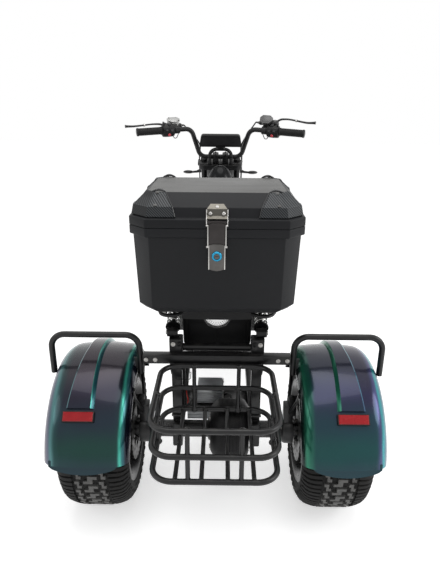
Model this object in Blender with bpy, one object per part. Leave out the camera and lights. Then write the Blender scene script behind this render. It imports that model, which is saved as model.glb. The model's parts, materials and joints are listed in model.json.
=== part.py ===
"""Three-wheeled electric scooter with a top case, modelled piece by piece.

Metres, +Z up, +Y forward. Shapes are written from the rear axle's middle on the ground,
and the vehicle empty shifts them so that the footprint's middle lies on the origin.
"""
import math

import bmesh
import bpy
from mathutils import Matrix, Vector

# Layout
WHEELBASE = 1.42
REAR_TRACK = 0.73
RAKE = math.radians(20)
FORK_OFFSET = 0.04
SEAM = 0.0003
RUNNING_GAP = 0.005
HOLD = 0.002

# Wheels
WHEEL_STEPS = 40
REAR_TYRE_RADIUS = 0.2385
REAR_TYRE_WIDTH = 0.215
FRONT_TYRE_RADIUS = 0.2295
FRONT_TYRE_WIDTH = 0.108
BEAD_RADIUS = 0.1524
RIM_LIP = 0.015
RIM_WALL = 0.005
HUB_RADIUS = 0.034
SPOKE_COUNT = 6
SPOKE_WIDTH = 0.034
DISC_RADIUS = 0.1
DISC_THICKNESS = 0.004
AXLE_RADIUS = 0.008
CALIPER_LENGTH = 0.048
CALIPER_GRIP = 0.038
CALIPER_RISE = 0.018
CALIPER_LEAN = math.radians(25)

# Rear axle and subframe
AXLE_TUBE_RADIUS = 0.028
BEARING_INNER = 0.212
BEARING_OUTER = 0.250
BEARING_RADIUS = 0.045
MOTOR_RADIUS = 0.1
MOTOR_LEFT = -0.02
MOTOR_RIGHT = 0.105
ARM_SPACING = 0.125
ARM_WIDTH = 0.032
ARM_HEIGHT = 0.04
PIVOT_Z = 0.27
PIVOT_BORE = 0.0105
PIVOT_PIN = 0.010
EYE_RADIUS = 0.028
UPRIGHT_TOP = 0.58
UPRIGHT_DEPTH = 0.03
CROSS_BAR_Y = -0.035
CROSS_BAR_DEPTH = 0.03
CROSS_BAR_HEIGHT = 0.03

COIL_RADIUS = 0.0188
RESERVOIR_OUTBOARD = 0.0378
COIL_WIRE = 0.0037

# Fenders, guard hoops and reflectors
FENDER_CLEARANCE = 0.0465
FENDER_INBOARD = 0.12
FENDER_OUTBOARD = 0.128
FENDER_DROP = 0.055
FENDER_CORNER = 0.045
FENDER_WALL = 0.004
FENDER_REAR_ANGLE = math.radians(9.5)
FENDER_SWEEP = math.radians(140)
FENDER_STEPS = 14
BAND_HEIGHT = 0.010
BAND_INBOARD = 0.015
BAND_TOP_OUTBOARD = 0.025
BAND_REAR_OUTBOARD = 0.053
REFLECTOR_STEP = 3
REFLECTOR_WIDTH = 0.09
REFLECTOR_HEIGHT = 0.032
REFLECTOR_DEPTH = 0.012
REFLECTOR_OUTBOARD = 0.02
HOOP_TUBE = 0.0095
HOOP_CLEARANCE = 0.06
HOOP_LOW = 0.465
HOOP_BEND = 0.035

# Basket
BASKET_HALF_WIDTH = 0.1645
BASKET_REAR = -0.39
BASKET_CORNER = 0.055
BASKET_LOW = 0.35
BASKET_TOP = 0.5025
BASKET_RIM = 0.008
BASKET_WIRE = 0.0065
BASKET_BAR_PITCH = 0.068

# Main frame
FRAME_TUBE = 0.019
RAIL_TUBE = 0.014
DECK_X = 0.12
DECK_Z = 0.245
RAIL_X = 0.085
RAIL_Z = 0.66
RAIL_REAR = -0.03
SEAT_RAIL_Z = 0.625
HEAD_RADIUS = 0.03
HEAD_LOW = 0.60
HEAD_HIGH = 0.765
STEM_RADIUS = 0.0125

# Body
FOOTBOARD_HALF_WIDTH = 0.19
FOOTBOARD_PLATE = 0.005
FOOTBOARD_EDGE = 0.012
TOE_RISE = 0.085
TOE_RUN = 0.05
BATTERY_HALF_WIDTH = 0.098
BATTERY_CORNER = 0.012
GROOVE_DEPTH = 0.003
SEAT_PAN_THICKNESS = 0.016
SEAT_HEIGHT = 0.105
SEAT_HALF_WIDTH = 0.14
SEAT_DIP = 0.03
SEAT_NOSE_DROP = 0.021
COWL_HALF_WIDTH = 0.062
COWL_BEHIND_AXLE = 0.375
POST_SETBACK = 0.06
BATTERY_GAP = 0.035
FOOTBOARD_GAP = 0.02
COWL_LENGTH = 0.115
COWL_LOW = 0.86
COWL_TOP = 0.975
PANEL_Y = 0.045
PANEL_DEPTH = 0.05
PANEL_HALF_WIDTH = 0.11
PANEL_LOW = 0.51
LAMP_RADIUS = 0.0465
LAMP_Z = 0.655
LAMP_REAR = -0.02

# Rack and top case
RACK_TUBE = 0.008
RACK_Z = 0.697
RACK_OUTER_X = 0.16
RACK_INNER_X = 0.10
RACK_REAR = -0.13
RACK_FRONT = 0.15
CARRIER_HALF_WIDTH = 0.135
CASE_LOW = 0.722
CASE_SEAM_Z = 0.960
CASE_HALF_WIDTH = 0.2255
CASE_HALF_DEPTH = 0.197
CASE_CORNER = 0.045
CASE_WALL = 0.004
LID_HEIGHT = 0.08
RIM_BAND = 0.023
HINGE_BACK = 0.003
LATCH_WIDTH = 0.052
LATCH_PLATE = 0.004
LEVER_BACK = 0.0112
LEVER_LENGTH = 0.064
LOCK_RADIUS = 0.0125
LOCK_BELOW_SEAM = 0.0665
GUARD_REACH = 0.1205
GUARD_SKIN = 0.003
GUARD_WRAP = 0.075

# Steering
FORK_SPACING = 0.080
FORK_TUBE = 0.0145
SLIDER_RADIUS = 0.0195
SLIDER_TOP = 0.37
YOKE_THICKNESS = 0.026
YOKE_TOP = 0.80
FORK_TOP = 0.812
BAR_RADIUS = 0.011
BAR_AHEAD = 0.017
BAR_ABOVE_YOKE = 0.029
BAR_STRAIGHT = 0.097
BAR_RISE_X = 0.138
BAR_RISE = 0.128
BAR_RISE_BACK = 0.015
BAR_END_X = 0.375
BAR_SWEEP = 0.12
BAR_END_DROP = 0.012
BAR_BEND = 0.035
CLAMP_HALF_WIDTH = 0.040
GRIP_RADIUS = 0.017
GRIP_LENGTH = 0.115
SWITCH_LENGTH = 0.06
SWITCH_RADIUS = 0.021
MASTER_AHEAD = 0.037
MASTER_RADIUS = 0.0135
MASTER_INBOARD = 0.03
MASTER_CLAMP = 0.024
LEVER_TILT_RIGHT = math.radians(38)
LEVER_TILT_LEFT = math.radians(4)
DISPLAY_RISE = 0.055
DISPLAY_HEIGHT = 0.056
DISPLAY_HALF_WIDTH = 0.1
DISPLAY_DEPTH = 0.03
BRACKET_TUBE = 0.0095
BRACKET_X = 0.051
HEADLIGHT_RADIUS = 0.075
HEADLIGHT_DEPTH = 0.105
HEADLIGHT_BELOW_YOKE = 0.11
SIGNAL_X = 0.158
SIGNAL_BELOW_YOKE = 0.065
HOSE_RADIUS = 0.003

REAR_AXLE_Z = REAR_TYRE_RADIUS * math.cos(math.pi / WHEEL_STEPS)
FRONT_AXLE_Z = FRONT_TYRE_RADIUS * math.cos(math.pi / WHEEL_STEPS)
WHEEL_X = REAR_TRACK / 2
FENDER_RADIUS = REAR_TYRE_RADIUS + FENDER_CLEARANCE
FENDER_INNER_X = WHEEL_X - FENDER_INBOARD
FENDER_OUTER_X = WHEEL_X + FENDER_OUTBOARD
BAND_INNER_X = WHEEL_X - BAND_INBOARD
BAND_TOP_X = WHEEL_X + BAND_TOP_OUTBOARD
BAND_REAR_X = WHEEL_X + BAND_REAR_OUTBOARD
HOOP_TOP = REAR_AXLE_Z + FENDER_RADIUS + BAND_HEIGHT + HOOP_CLEARANCE
PIVOT_Y = 0.31 * WHEELBASE
SEAT_REAR = 0.1655 * WHEELBASE
SEAT_FRONT = 0.5352 * WHEELBASE
POST_Y = SEAT_FRONT - POST_SETBACK
POST_TUBE = RAIL_TUBE - 0.001
BATTERY_REAR = PIVOT_Y + BATTERY_GAP
BATTERY_FRONT = POST_Y - BATTERY_GAP
FOOTBOARD_REAR = POST_Y + FOOTBOARD_GAP
DECK_FRONT = 0.7042 * WHEELBASE
COWL_FRONT = WHEELBASE - COWL_BEHIND_AXLE
COWL_REAR = COWL_FRONT - COWL_LENGTH
HEADLIGHT_HEIGHT = YOKE_TOP - HEADLIGHT_BELOW_YOKE
SIGNAL_HEIGHT = YOKE_TOP - SIGNAL_BELOW_YOKE
REAR_END = BASKET_REAR - BASKET_RIM
FRONT_END = WHEELBASE + FRONT_AXLE_Z
MIDDLE_Y = (REAR_END + FRONT_END) / 2
STEER_Y = WHEELBASE - FORK_OFFSET * math.cos(RAKE)
STEER_Z = FRONT_AXLE_Z - FORK_OFFSET * math.sin(RAKE)
HINGE_Y = CASE_HALF_DEPTH + HINGE_BACK
CASE_TOP = CASE_SEAM_Z + LID_HEIGHT
LID_BAND = 0.4 * LID_HEIGHT
LID_SHOULDER = 0.725 * LID_HEIGHT
LID_STEP = 0.006
SHOULDER_INSET = LID_STEP + 0.004
TOP_INSET_X = 0.0375
TOP_INSET_Y = 0.066
CROSS_BAR_Z = BASKET_TOP + CROSS_BAR_HEIGHT / 2

FINISHES = {
    "black_paint": ((0.012, 0.012, 0.013), 0.4, 0.0),
    "satin_black": ((0.02, 0.02, 0.021), 0.5, 0.2),
    "gloss_black": ((0.01, 0.01, 0.011), 0.12, 0.0),
    "chameleon_paint": ((0.05, 0.07, 0.10), 0.2, 0.7),
    "charcoal_plastic": ((0.03, 0.03, 0.032), 0.6, 0.0),
    "carbon": ((0.04, 0.04, 0.042), 0.45, 0.0),
    "tyre_rubber": ((0.02, 0.02, 0.02), 0.85, 0.0),
    "grip_rubber": ((0.015, 0.015, 0.015), 0.75, 0.0),
    "vinyl": ((0.015, 0.015, 0.016), 0.55, 0.0),
    "aluminium": ((0.55, 0.56, 0.57), 0.35, 1.0),
    "steel": ((0.42, 0.41, 0.39), 0.35, 1.0),
    "chrome": ((0.8, 0.8, 0.8), 0.1, 1.0),
    "red_lens": ((0.5, 0.02, 0.02), 0.2, 0.0),
    "clear_lens": ((0.8, 0.8, 0.8), 0.1, 0.0),
    "amber_lens": ((0.75, 0.3, 0.04), 0.2, 0.0),
    "blue_metal": ((0.06, 0.3, 0.45), 0.25, 0.9),
}


def clear_scene():
    for old in list(bpy.data.objects):
        bpy.data.objects.remove(old, do_unlink=True)


def finish(name, kind):
    """A Principled material of one sub-part."""
    colour, roughness, metallic = FINISHES[kind]
    material = bpy.data.materials.new(name + "_finish")
    material.use_nodes = True
    shader = material.node_tree.nodes["Principled BSDF"]
    shader.inputs["Base Color"].default_value = (*colour, 1.0)
    shader.inputs["Roughness"].default_value = roughness
    shader.inputs["Metallic"].default_value = metallic
    return material


def empty(name, location=(0, 0, 0), parent=None, tilt=0.0):
    axis = bpy.data.objects.new(name, None)
    bpy.context.collection.objects.link(axis)
    axis.location = location
    axis.rotation_euler.x = tilt
    axis.parent = parent
    axis.empty_display_size = 0.1
    return axis


def solid(work, name="piece"):
    """An object from a bmesh, with its faces turned outward."""
    bmesh.ops.recalc_face_normals(work, faces=work.faces)
    mesh = bpy.data.meshes.new(name)
    work.to_mesh(mesh)
    work.free()
    piece = bpy.data.objects.new(name, mesh)
    bpy.context.collection.objects.link(piece)
    return piece


def sub_part(name, piece, kind, parent, smooth=True):
    """Names a finished piece, gives it its material and its parent."""
    piece.name = name
    piece.data.name = name
    piece.data.materials.clear()
    piece.data.materials.append(finish(name, kind))
    piece.parent = parent
    if smooth:
        piece.data.shade_smooth()
        piece.data.set_sharp_from_angle(angle=math.radians(35))
    return piece


def combine(pieces, operation="UNION"):
    """Boolean of the first piece with all the others, which are used up."""
    base = pieces[0]
    for other in pieces[1:]:
        step = base.modifiers.new("combine", "BOOLEAN")
        step.operation = operation
        step.solver = "EXACT"
        step.object = other
    graph = bpy.context.evaluated_depsgraph_get()
    mesh = bpy.data.meshes.new_from_object(base.evaluated_get(graph))
    for used in pieces:
        bpy.data.objects.remove(used, do_unlink=True)
    piece = bpy.data.objects.new("piece", mesh)
    bpy.context.collection.objects.link(piece)
    return piece


def fuse(*pieces):
    return combine(list(pieces), "UNION")


def cut(piece, *cutters):
    return combine([piece, *cutters], "DIFFERENCE")


def loft(rings, closed=False):
    """Skin over rings that have the same number of points, with capped ends."""
    work = bmesh.new()
    loops = [[work.verts.new(point) for point in ring] for ring in rings]
    count = len(rings[0])
    spans = list(zip(loops, loops[1:]))
    if closed:
        spans.append((loops[-1], loops[0]))
    for low, high in spans:
        for i in range(count):
            j = (i + 1) % count
            work.faces.new((low[i], low[j], high[j], high[i]))
    if not closed:
        work.faces.new(loops[0])
        work.faces.new(loops[-1])
    return solid(work)


def box(low, high):
    """A block between two opposite corners."""
    corners = [(low[0], low[1]), (high[0], low[1]), (high[0], high[1]), (low[0], high[1])]
    return loft([[(x, y, z) for x, y in corners] for z in (low[2], high[2])])


def slab(outline, low_x, high_x):
    """A side-view outline of (y, z) points, extruded across X."""
    return loft([[(x, y, z) for y, z in outline] for x in (low_x, high_x)])


def plate(outline, low_z, high_z):
    """A plan outline of (x, y) points, extruded upward."""
    return loft([[(x, y, z) for x, y in outline] for z in (low_z, high_z)])


def panel(outline, low_y, high_y):
    """A rear-view outline of (x, z) points, extruded along Y."""
    return loft([[(x, y, z) for x, z in outline] for y in (low_y, high_y)])


def rounded_outline(half_x, half_y, radius, steps=4, centre=(0, 0)):
    """A rectangle with round corners, as plan points."""
    points = []
    for quarter, (sx, sy) in enumerate([(1, 1), (-1, 1), (-1, -1), (1, -1)]):
        for i in range(steps + 1):
            angle = math.pi / 2 * (quarter + i / steps)
            x = centre[0] + sx * (half_x - radius) + radius * math.cos(angle)
            y = centre[1] + sy * (half_y - radius) + radius * math.sin(angle)
            points.append((x, y))
    return points


def revolve(profile, centre=(0, 0, 0), axis="X", steps=WHEEL_STEPS):
    """Turns a closed profile of (along, radius) points round an axis, a facet facing down."""
    rings = []
    for i in range(steps):
        angle = 2 * math.pi * (i + 0.5) / steps
        ring = []
        for along, radius in profile:
            side, up = radius * math.sin(angle), -radius * math.cos(angle)
            place = {"X": (along, side, up), "Y": (side, along, up), "Z": (side, up, along)}[axis]
            ring.append(Vector(place) + Vector(centre))
        rings.append(ring)
    return loft(rings, closed=True)


def lathe(profile, centre=(0, 0, 0), axis="X", steps=16):
    """Turns an open profile of (along, radius) points and caps its two ends."""
    rings = []
    for along, radius in profile:
        ring = []
        for i in range(steps):
            angle = 2 * math.pi * (i + 0.5) / steps
            side, up = radius * math.sin(angle), -radius * math.cos(angle)
            place = {"X": (along, side, up), "Y": (side, along, up), "Z": (side, up, along)}[axis]
            ring.append(Vector(place) + Vector(centre))
        rings.append(ring)
    return loft(rings)


def rounded_path(points, radius, steps=3):
    """A path whose corners are replaced by arcs."""
    points = [Vector(point) for point in points]
    path = [points[0]]
    for before, corner, after in zip(points, points[1:], points[2:]):
        back = (before - corner).normalized()
        ahead = (after - corner).normalized()
        half = back.angle(ahead) / 2
        run = radius / math.tan(half)
        middle = (back + ahead).normalized()
        centre = corner + middle * radius / math.sin(half)
        start = corner + back * run - centre
        end = corner + ahead * run - centre
        turn = math.pi - 2 * half
        for i in range(steps + 1):
            share = i / steps
            weight = math.sin((1 - share) * turn) / math.sin(turn)
            other = math.sin(share * turn) / math.sin(turn)
            path.append(centre + start * weight + end * other)
    path.append(points[-1])
    return path


def tube(path, radius, sides=8, closed=False):
    """A round bar swept along a path, its section carried along without twist."""
    path = [Vector(point) for point in path]
    count = len(path)
    rings = []
    normal = None
    for i, point in enumerate(path):
        before = path[i - 1] if closed or i > 0 else point
        after = path[(i + 1) % count] if closed or i < count - 1 else point
        into = (point - before).normalized() if before != point else (after - point).normalized()
        out = (after - point).normalized() if after != point else into
        tangent = (into + out).normalized()
        if normal is None:
            helper = Vector((0, 0, 1)) if abs(tangent.z) < 0.9 else Vector((1, 0, 0))
            normal = tangent.cross(helper).normalized()
        normal = (normal - tangent * normal.dot(tangent)).normalized()
        other = tangent.cross(normal)
        stretch = 1 / max(0.3, math.cos(into.angle(out) / 2))
        bend = (out - into)
        bend = bend.normalized() if bend.length > 1e-6 else normal
        ring = []
        for k in range(sides):
            angle = 2 * math.pi * k / sides
            offset = (normal * math.cos(angle) + other * math.sin(angle)) * radius
            offset += bend * offset.dot(bend) * (stretch - 1)
            ring.append(point + offset)
        rings.append(ring)
    return loft(rings, closed=closed)


def square_bar(start, end, width, height):
    """A rectangular tube along a straight line that runs in the YZ plane."""
    start, end = Vector(start), Vector(end)
    along = (end - start).normalized()
    across = Vector((1, 0, 0))
    up = across.cross(along)
    rings = []
    for point in (start, end):
        corners = [(-1, -1), (1, -1), (1, 1), (-1, 1)]
        rings.append([point + across * width / 2 * i + up * height / 2 * j for i, j in corners])
    return loft(rings)


def tyre_profile(radius, width, bead_half):
    half = width / 2
    low = (BEAD_RADIUS + SEAM) / math.cos(math.pi / WHEEL_STEPS)
    right = [(bead_half, low), (bead_half, low + 0.018), (half, radius - 0.045),
             (half - 0.004, radius - 0.018), (half - 0.022, radius - 0.004), (half * 0.45, radius)]
    left = [(-x, r) for x, r in reversed(right)]
    return right + left


def rim(half, disc_x, hub_in, hub_out, spoke_x, bore=0.0):
    """A cast wheel: barrel with drop centre, spokes, hub and brake disc, its face at +X."""
    lip = half + 0.006
    seat = BEAD_RADIUS
    drop = seat - 0.016
    outer = [(lip, seat - RIM_WALL), (lip, seat + RIM_LIP), (half + SEAM, seat + RIM_LIP),
             (half + SEAM, seat), (half * 0.5, drop)]
    outer += [(-x, r) for x, r in reversed(outer)]
    inner = [(-half * 0.45, drop - RIM_WALL), (half * 0.45, drop - RIM_WALL)]
    parts = [revolve(outer + inner, steps=24)]
    hub = [(hub_in, 0.022), (disc_x, 0.022), (disc_x + 0.004, HUB_RADIUS), (hub_out - 0.01, HUB_RADIUS),
           (hub_out, HUB_RADIUS - 0.008)]
    parts.append(lathe(hub))
    for i in range(SPOKE_COUNT):
        turn = Matrix.Rotation(2 * math.pi * i / SPOKE_COUNT, 3, "X")
        rings = []
        for reach, wide, thick in ((0.02, 1.0, 0.012), (0.07, 0.75, 0.010), (drop - 0.002, 1.25, 0.008)):
            w = SPOKE_WIDTH / 2 * wide
            corners = [(spoke_x - thick, -w), (spoke_x + thick, -w * 0.7), (spoke_x + thick, w * 0.7),
                       (spoke_x - thick, w)]
            rings.append([turn @ Vector((x, y, reach)) for x, y in corners])
        parts.append(loft(rings))
    half_disc = DISC_THICKNESS / 2
    parts.append(lathe([(disc_x - half_disc, DISC_RADIUS), (disc_x + half_disc, DISC_RADIUS)], steps=24))
    body = fuse(*parts)
    if bore:
        body = cut(body, lathe([(hub_in - 0.01, bore), (hub_out + 0.01, bore)], steps=16))
    return body


def rear_wheel(side, vehicle):
    """Tyre and rim of one rear wheel, on its own axis."""
    name = "right" if side > 0 else "left"
    axis = empty("rear_wheel_%s_axis" % name, (side * WHEEL_X, 0, REAR_AXLE_Z), vehicle)
    bead_half = REAR_TYRE_WIDTH / 2 - 0.0125
    tyre = revolve(tyre_profile(REAR_TYRE_RADIUS, REAR_TYRE_WIDTH, bead_half))
    sub_part("rear_tyre_" + name, tyre, "tyre_rubber", axis)
    hub_in = BEARING_OUTER + SEAM - WHEEL_X
    disc_x = hub_in + 0.014
    body = rim(bead_half, disc_x, hub_in, 0.05, 0.025)
    mirror_x(body, side)
    sub_part("rear_rim_" + name, body, "black_paint", axis)


def mirror_x(piece, side):
    """Turns a piece made for the right side into the left one."""
    if side < 0:
        piece.data.transform(Matrix.Diagonal((-1, 1, 1, 1)))
        piece.data.flip_normals()


def front_disc_x():
    return FRONT_TYRE_WIDTH / 2 - 0.005


def front_wheel(steering):
    axis = empty("front_wheel_axis", (0, FORK_OFFSET, 0), steering)
    axis.rotation_euler.x = -RAKE
    bead_half = FRONT_TYRE_WIDTH / 2 - 0.014
    tyre = revolve(tyre_profile(FRONT_TYRE_RADIUS, FRONT_TYRE_WIDTH, bead_half))
    sub_part("front_tyre", tyre, "tyre_rubber", axis)
    hub_half = FORK_SPACING - SLIDER_RADIUS - SEAM
    body = rim(bead_half, -front_disc_x(), -hub_half, hub_half, 0.0, AXLE_RADIUS + SEAM)
    mirror_x(body, -1)
    sub_part("front_rim", body, "black_paint", axis)


def caliper(disc_x, reach_in, reach_out, angle):
    """A brake caliper that straddles a disc, turned round the axle by an angle."""
    half = CALIPER_LENGTH / 2
    low = DISC_RADIUS - CALIPER_GRIP
    slot_top = DISC_RADIUS + RUNNING_GAP
    half_slot = DISC_THICKNESS / 2 + RUNNING_GAP
    block = box((disc_x - reach_in, -half, low), (disc_x + reach_out, half, DISC_RADIUS + CALIPER_RISE))
    slot = box((disc_x - half_slot, -half - HOLD, low - HOLD), (disc_x + half_slot, half + HOLD, slot_top))
    body = cut(block, slot)
    body.data.transform(Matrix.Rotation(-angle, 4, "X"))
    return body


def rear_axle(vehicle):
    """Axle tube with the motor drum, bearing blocks and brake calipers."""
    centre = (0, 0, REAR_AXLE_Z)
    drum = [(MOTOR_LEFT, MOTOR_RADIUS - 0.03), (MOTOR_LEFT + 0.012, MOTOR_RADIUS - 0.012),
            (MOTOR_LEFT + 0.03, MOTOR_RADIUS), (MOTOR_RIGHT - 0.02, MOTOR_RADIUS),
            (MOTOR_RIGHT, MOTOR_RADIUS - 0.02)]
    parts = [lathe(drum, centre, steps=28)]
    parts.append(lathe([(-BEARING_OUTER, AXLE_TUBE_RADIUS), (BEARING_OUTER, AXLE_TUBE_RADIUS)], centre))
    for side in (-1, 1):
        block = [(side * BEARING_INNER, BEARING_RADIUS - 0.008),
                 (side * (BEARING_INNER + 0.01), BEARING_RADIUS),
                 (side * BEARING_OUTER, BEARING_RADIUS)]
        parts.append(lathe(block, centre))
        arm = box((BEARING_INNER + 0.006, -0.022, REAR_AXLE_Z),
                  (BEARING_OUTER, 0.022, REAR_AXLE_Z + DISC_RADIUS))
        mirror_x(arm, side)
        parts.append(arm)
        disc_x = BEARING_OUTER + SEAM + 0.014
        grip = caliper(disc_x, 0.03, 0.017, 0)
        grip.data.transform(Matrix.Translation((0, 0, REAR_AXLE_Z)))
        mirror_x(grip, side)
        parts.append(grip)
    sub_part("rear_axle", fuse(*parts), "black_paint", vehicle)


def subframe(vehicle):
    """Trailing arms, saddles on the axle tube, uprights, cross bar and controller tray."""
    parts = []
    inner = ARM_SPACING - ARM_WIDTH / 2
    outer = ARM_SPACING + ARM_WIDTH / 2
    for side in (-1, 1):
        x = side * ARM_SPACING
        parts.append(square_bar((x, 0.02, REAR_AXLE_Z), (x, PIVOT_Y, PIVOT_Z), ARM_WIDTH, ARM_HEIGHT))
        saddle = AXLE_TUBE_RADIUS + 0.014
        parts.append(box((x - ARM_WIDTH / 2, -saddle, REAR_AXLE_Z - saddle),
                         (x + ARM_WIDTH / 2, saddle, REAR_AXLE_Z + saddle)))
        top_y = CROSS_BAR_Y + 0.02
        foot = (x, 0, REAR_AXLE_Z + 0.03)
        parts.append(square_bar(foot, (x, top_y, UPRIGHT_TOP), ARM_WIDTH, UPRIGHT_DEPTH))
        near, far = x - ARM_WIDTH / 2, x + ARM_WIDTH / 2
        eye = revolve([(near, PIVOT_BORE), (near, EYE_RADIUS), (far, EYE_RADIUS), (far, PIVOT_BORE)],
                      (0, PIVOT_Y, PIVOT_Z), steps=20)
        parts.append(eye)
    half_bar = hoop_inner_x() - HOOP_TUBE - SEAM
    parts.append(box((-half_bar, CROSS_BAR_Y - CROSS_BAR_DEPTH / 2, CROSS_BAR_Z - CROSS_BAR_HEIGHT / 2),
                     (half_bar, CROSS_BAR_Y + CROSS_BAR_DEPTH / 2, CROSS_BAR_Z + CROSS_BAR_HEIGHT / 2)))
    parts.append(box((-inner - 0.01, 0.125, tray_z() - 0.005), (inner + 0.01, 0.235, tray_z() + 0.005)))
    body = fuse(*parts)
    tunnel = lathe([(-outer - 0.02, AXLE_TUBE_RADIUS + SEAM), (outer + 0.02, AXLE_TUBE_RADIUS + SEAM)],
                   (0, 0, REAR_AXLE_Z))
    bore = lathe([(-outer - 0.02, PIVOT_BORE), (outer + 0.02, PIVOT_BORE)], (0, PIVOT_Y, PIVOT_Z), steps=20)
    sub_part("rear_subframe", cut(body, tunnel, bore), "satin_black", vehicle)


def tray_z():
    return REAR_AXLE_Z + 0.0025


def controllers(vehicle):
    """Finned control boxes above and below the tray."""
    top = tray_z() + 0.005 + SEAM
    low = tray_z() - 0.005 - SEAM
    parts = [box((-0.07, 0.135, top), (0.024, 0.225, top + 0.045))]
    for i in range(6):
        y = 0.137 + i * 0.0165
        parts.append(box((-0.07, y, top + 0.04), (0.024, y + 0.004, top + 0.058)))
    sub_part("controller", fuse(*parts), "aluminium", vehicle, smooth=False)
    parts = [box((-0.105, 0.13, low - 0.05), (0.017, 0.23, low))]
    for i in range(4):
        z = low - 0.046 + i * 0.0125
        parts.append(box((-0.105, 0.126, z), (0.017, 0.131, z + 0.005)))
    sub_part("converter", fuse(*parts), "aluminium", vehicle, smooth=False)


def fender_section(offset):
    """Half outline (x, radius) of the fender's skin, from the inner edge to the outer edge."""
    low = FENDER_RADIUS - FENDER_DROP
    inner = FENDER_INNER_X + offset
    outer = FENDER_OUTER_X - offset
    top = FENDER_RADIUS - offset
    corner = FENDER_CORNER - offset
    points = [(inner, low)]
    steps = 4
    for i in range(steps + 1):
        angle = math.pi / 2 * i / steps
        points.append((inner + corner - corner * math.cos(angle), top - corner + corner * math.sin(angle)))
    for i in range(steps + 1):
        angle = math.pi / 2 * i / steps
        points.append((outer - corner + corner * math.sin(angle), top - corner + corner * math.cos(angle)))
    points.append((outer, low))
    return points


def round_wheel(x, radius, angle):
    """A point at a radius round the rear axle, its angle measured up from the rear."""
    return (x, -radius * math.cos(angle), REAR_AXLE_Z + radius * math.sin(angle))


def fender_angle(step):
    return FENDER_REAR_ANGLE + FENDER_SWEEP * step / FENDER_STEPS


def fender(side, vehicle):
    """A fender skin with its raised band."""
    name = "right" if side > 0 else "left"
    section = fender_section(0) + list(reversed(fender_section(FENDER_WALL)))
    rings = []
    for i in range(FENDER_STEPS + 1):
        rings.append([round_wheel(x, r, fender_angle(i)) for x, r in section])
    skin = loft(rings)
    band_rings = []
    band_start = REFLECTOR_STEP + 1
    for i in range(band_start, FENDER_STEPS + 1):
        angle = fender_angle(i)
        share = max(0.0, (math.pi / 2 - angle) / (math.pi / 2 - fender_angle(band_start)))
        outer_x = BAND_TOP_X + (BAND_REAR_X - BAND_TOP_X) * share
        low = FENDER_RADIUS - FENDER_WALL / 2
        top = FENDER_RADIUS + BAND_HEIGHT
        loop = [(BAND_INNER_X - BAND_HEIGHT, low), (BAND_INNER_X, top), (outer_x, top),
                (outer_x + 0.003, low)]
        band_rings.append([round_wheel(x, r, angle) for x, r in loop])
    body = fuse(skin, loft(band_rings))
    mirror_x(body, side)
    sub_part("fender_" + name, body, "chameleon_paint", vehicle)


def reflector(side, vehicle):
    name = "right" if side > 0 else "left"
    angle = fender_angle(REFLECTOR_STEP)
    outline = rounded_outline(REFLECTOR_WIDTH / 2, REFLECTOR_HEIGHT / 2, 0.004, steps=2)
    body = plate(outline, 0, REFLECTOR_DEPTH)
    seat = Matrix.Translation(round_wheel(WHEEL_X + REFLECTOR_OUTBOARD, FENDER_RADIUS + SEAM, angle))
    body.data.transform(seat @ Matrix.Rotation(math.pi / 2 - angle, 4, "X"))
    mirror_x(body, side)
    sub_part("reflector_" + name, body, "red_lens", vehicle)


def hoop_inner_x():
    return FENDER_INNER_X - SEAM - HOOP_TUBE


def guard_hoop(side, vehicle):
    name = "right" if side > 0 else "left"
    y = CROSS_BAR_Y
    inner = hoop_inner_x()
    outer = FENDER_OUTER_X + SEAM + HOOP_TUBE
    corners = [(inner, y, HOOP_LOW), (inner, y, HOOP_TOP), (outer, y, HOOP_TOP), (outer, y, HOOP_LOW)]
    body = tube(rounded_path(corners, HOOP_BEND), HOOP_TUBE)
    mirror_x(body, side)
    sub_part("guard_hoop_" + name, body, "satin_black", vehicle)


def basket(vehicle):
    """Three round-cornered loops joined by uprights and floor bars."""
    front = CROSS_BAR_Y - CROSS_BAR_DEPTH / 2 - SEAM - BASKET_RIM
    half_depth = (front - BASKET_REAR) / 2
    middle = (front + BASKET_REAR) / 2
    outline = rounded_outline(BASKET_HALF_WIDTH, half_depth, BASKET_CORNER, centre=(0, middle))
    low, top = BASKET_LOW, BASKET_TOP
    parts = []
    for level in (low, (low + top) / 2, top):
        parts.append(tube([(x, y, level) for x, y in outline], BASKET_RIM, sides=8, closed=True))
    for x in (-BASKET_BAR_PITCH, BASKET_BAR_PITCH):
        for y in (front, BASKET_REAR):
            parts.append(tube([(x, y, low), (x, y, top)], BASKET_WIRE, sides=8))
    for x in (-BASKET_HALF_WIDTH, BASKET_HALF_WIDTH):
        parts.append(tube([(x, middle, low), (x, middle, top)], BASKET_WIRE, sides=8))
    for i in range(4):
        x = BASKET_BAR_PITCH * (i - 1.5)
        parts.append(tube([(x, front, low), (x, BASKET_REAR, low)], BASKET_WIRE, sides=8))
    sub_part("basket", fuse(*parts), "satin_black", vehicle)


def steer(x, y, z):
    """A vehicle point in the steering frame."""
    dy, dz = y - STEER_Y, z - STEER_Z
    return Vector((x, dy * math.cos(RAKE) + dz * math.sin(RAKE), dz * math.cos(RAKE) - dy * math.sin(RAKE)))


def world(x, y, z):
    """A steering-frame point in the vehicle's coordinates."""
    return (x, STEER_Y + y * math.cos(RAKE) - z * math.sin(RAKE),
            STEER_Z + y * math.sin(RAKE) + z * math.cos(RAKE))


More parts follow.
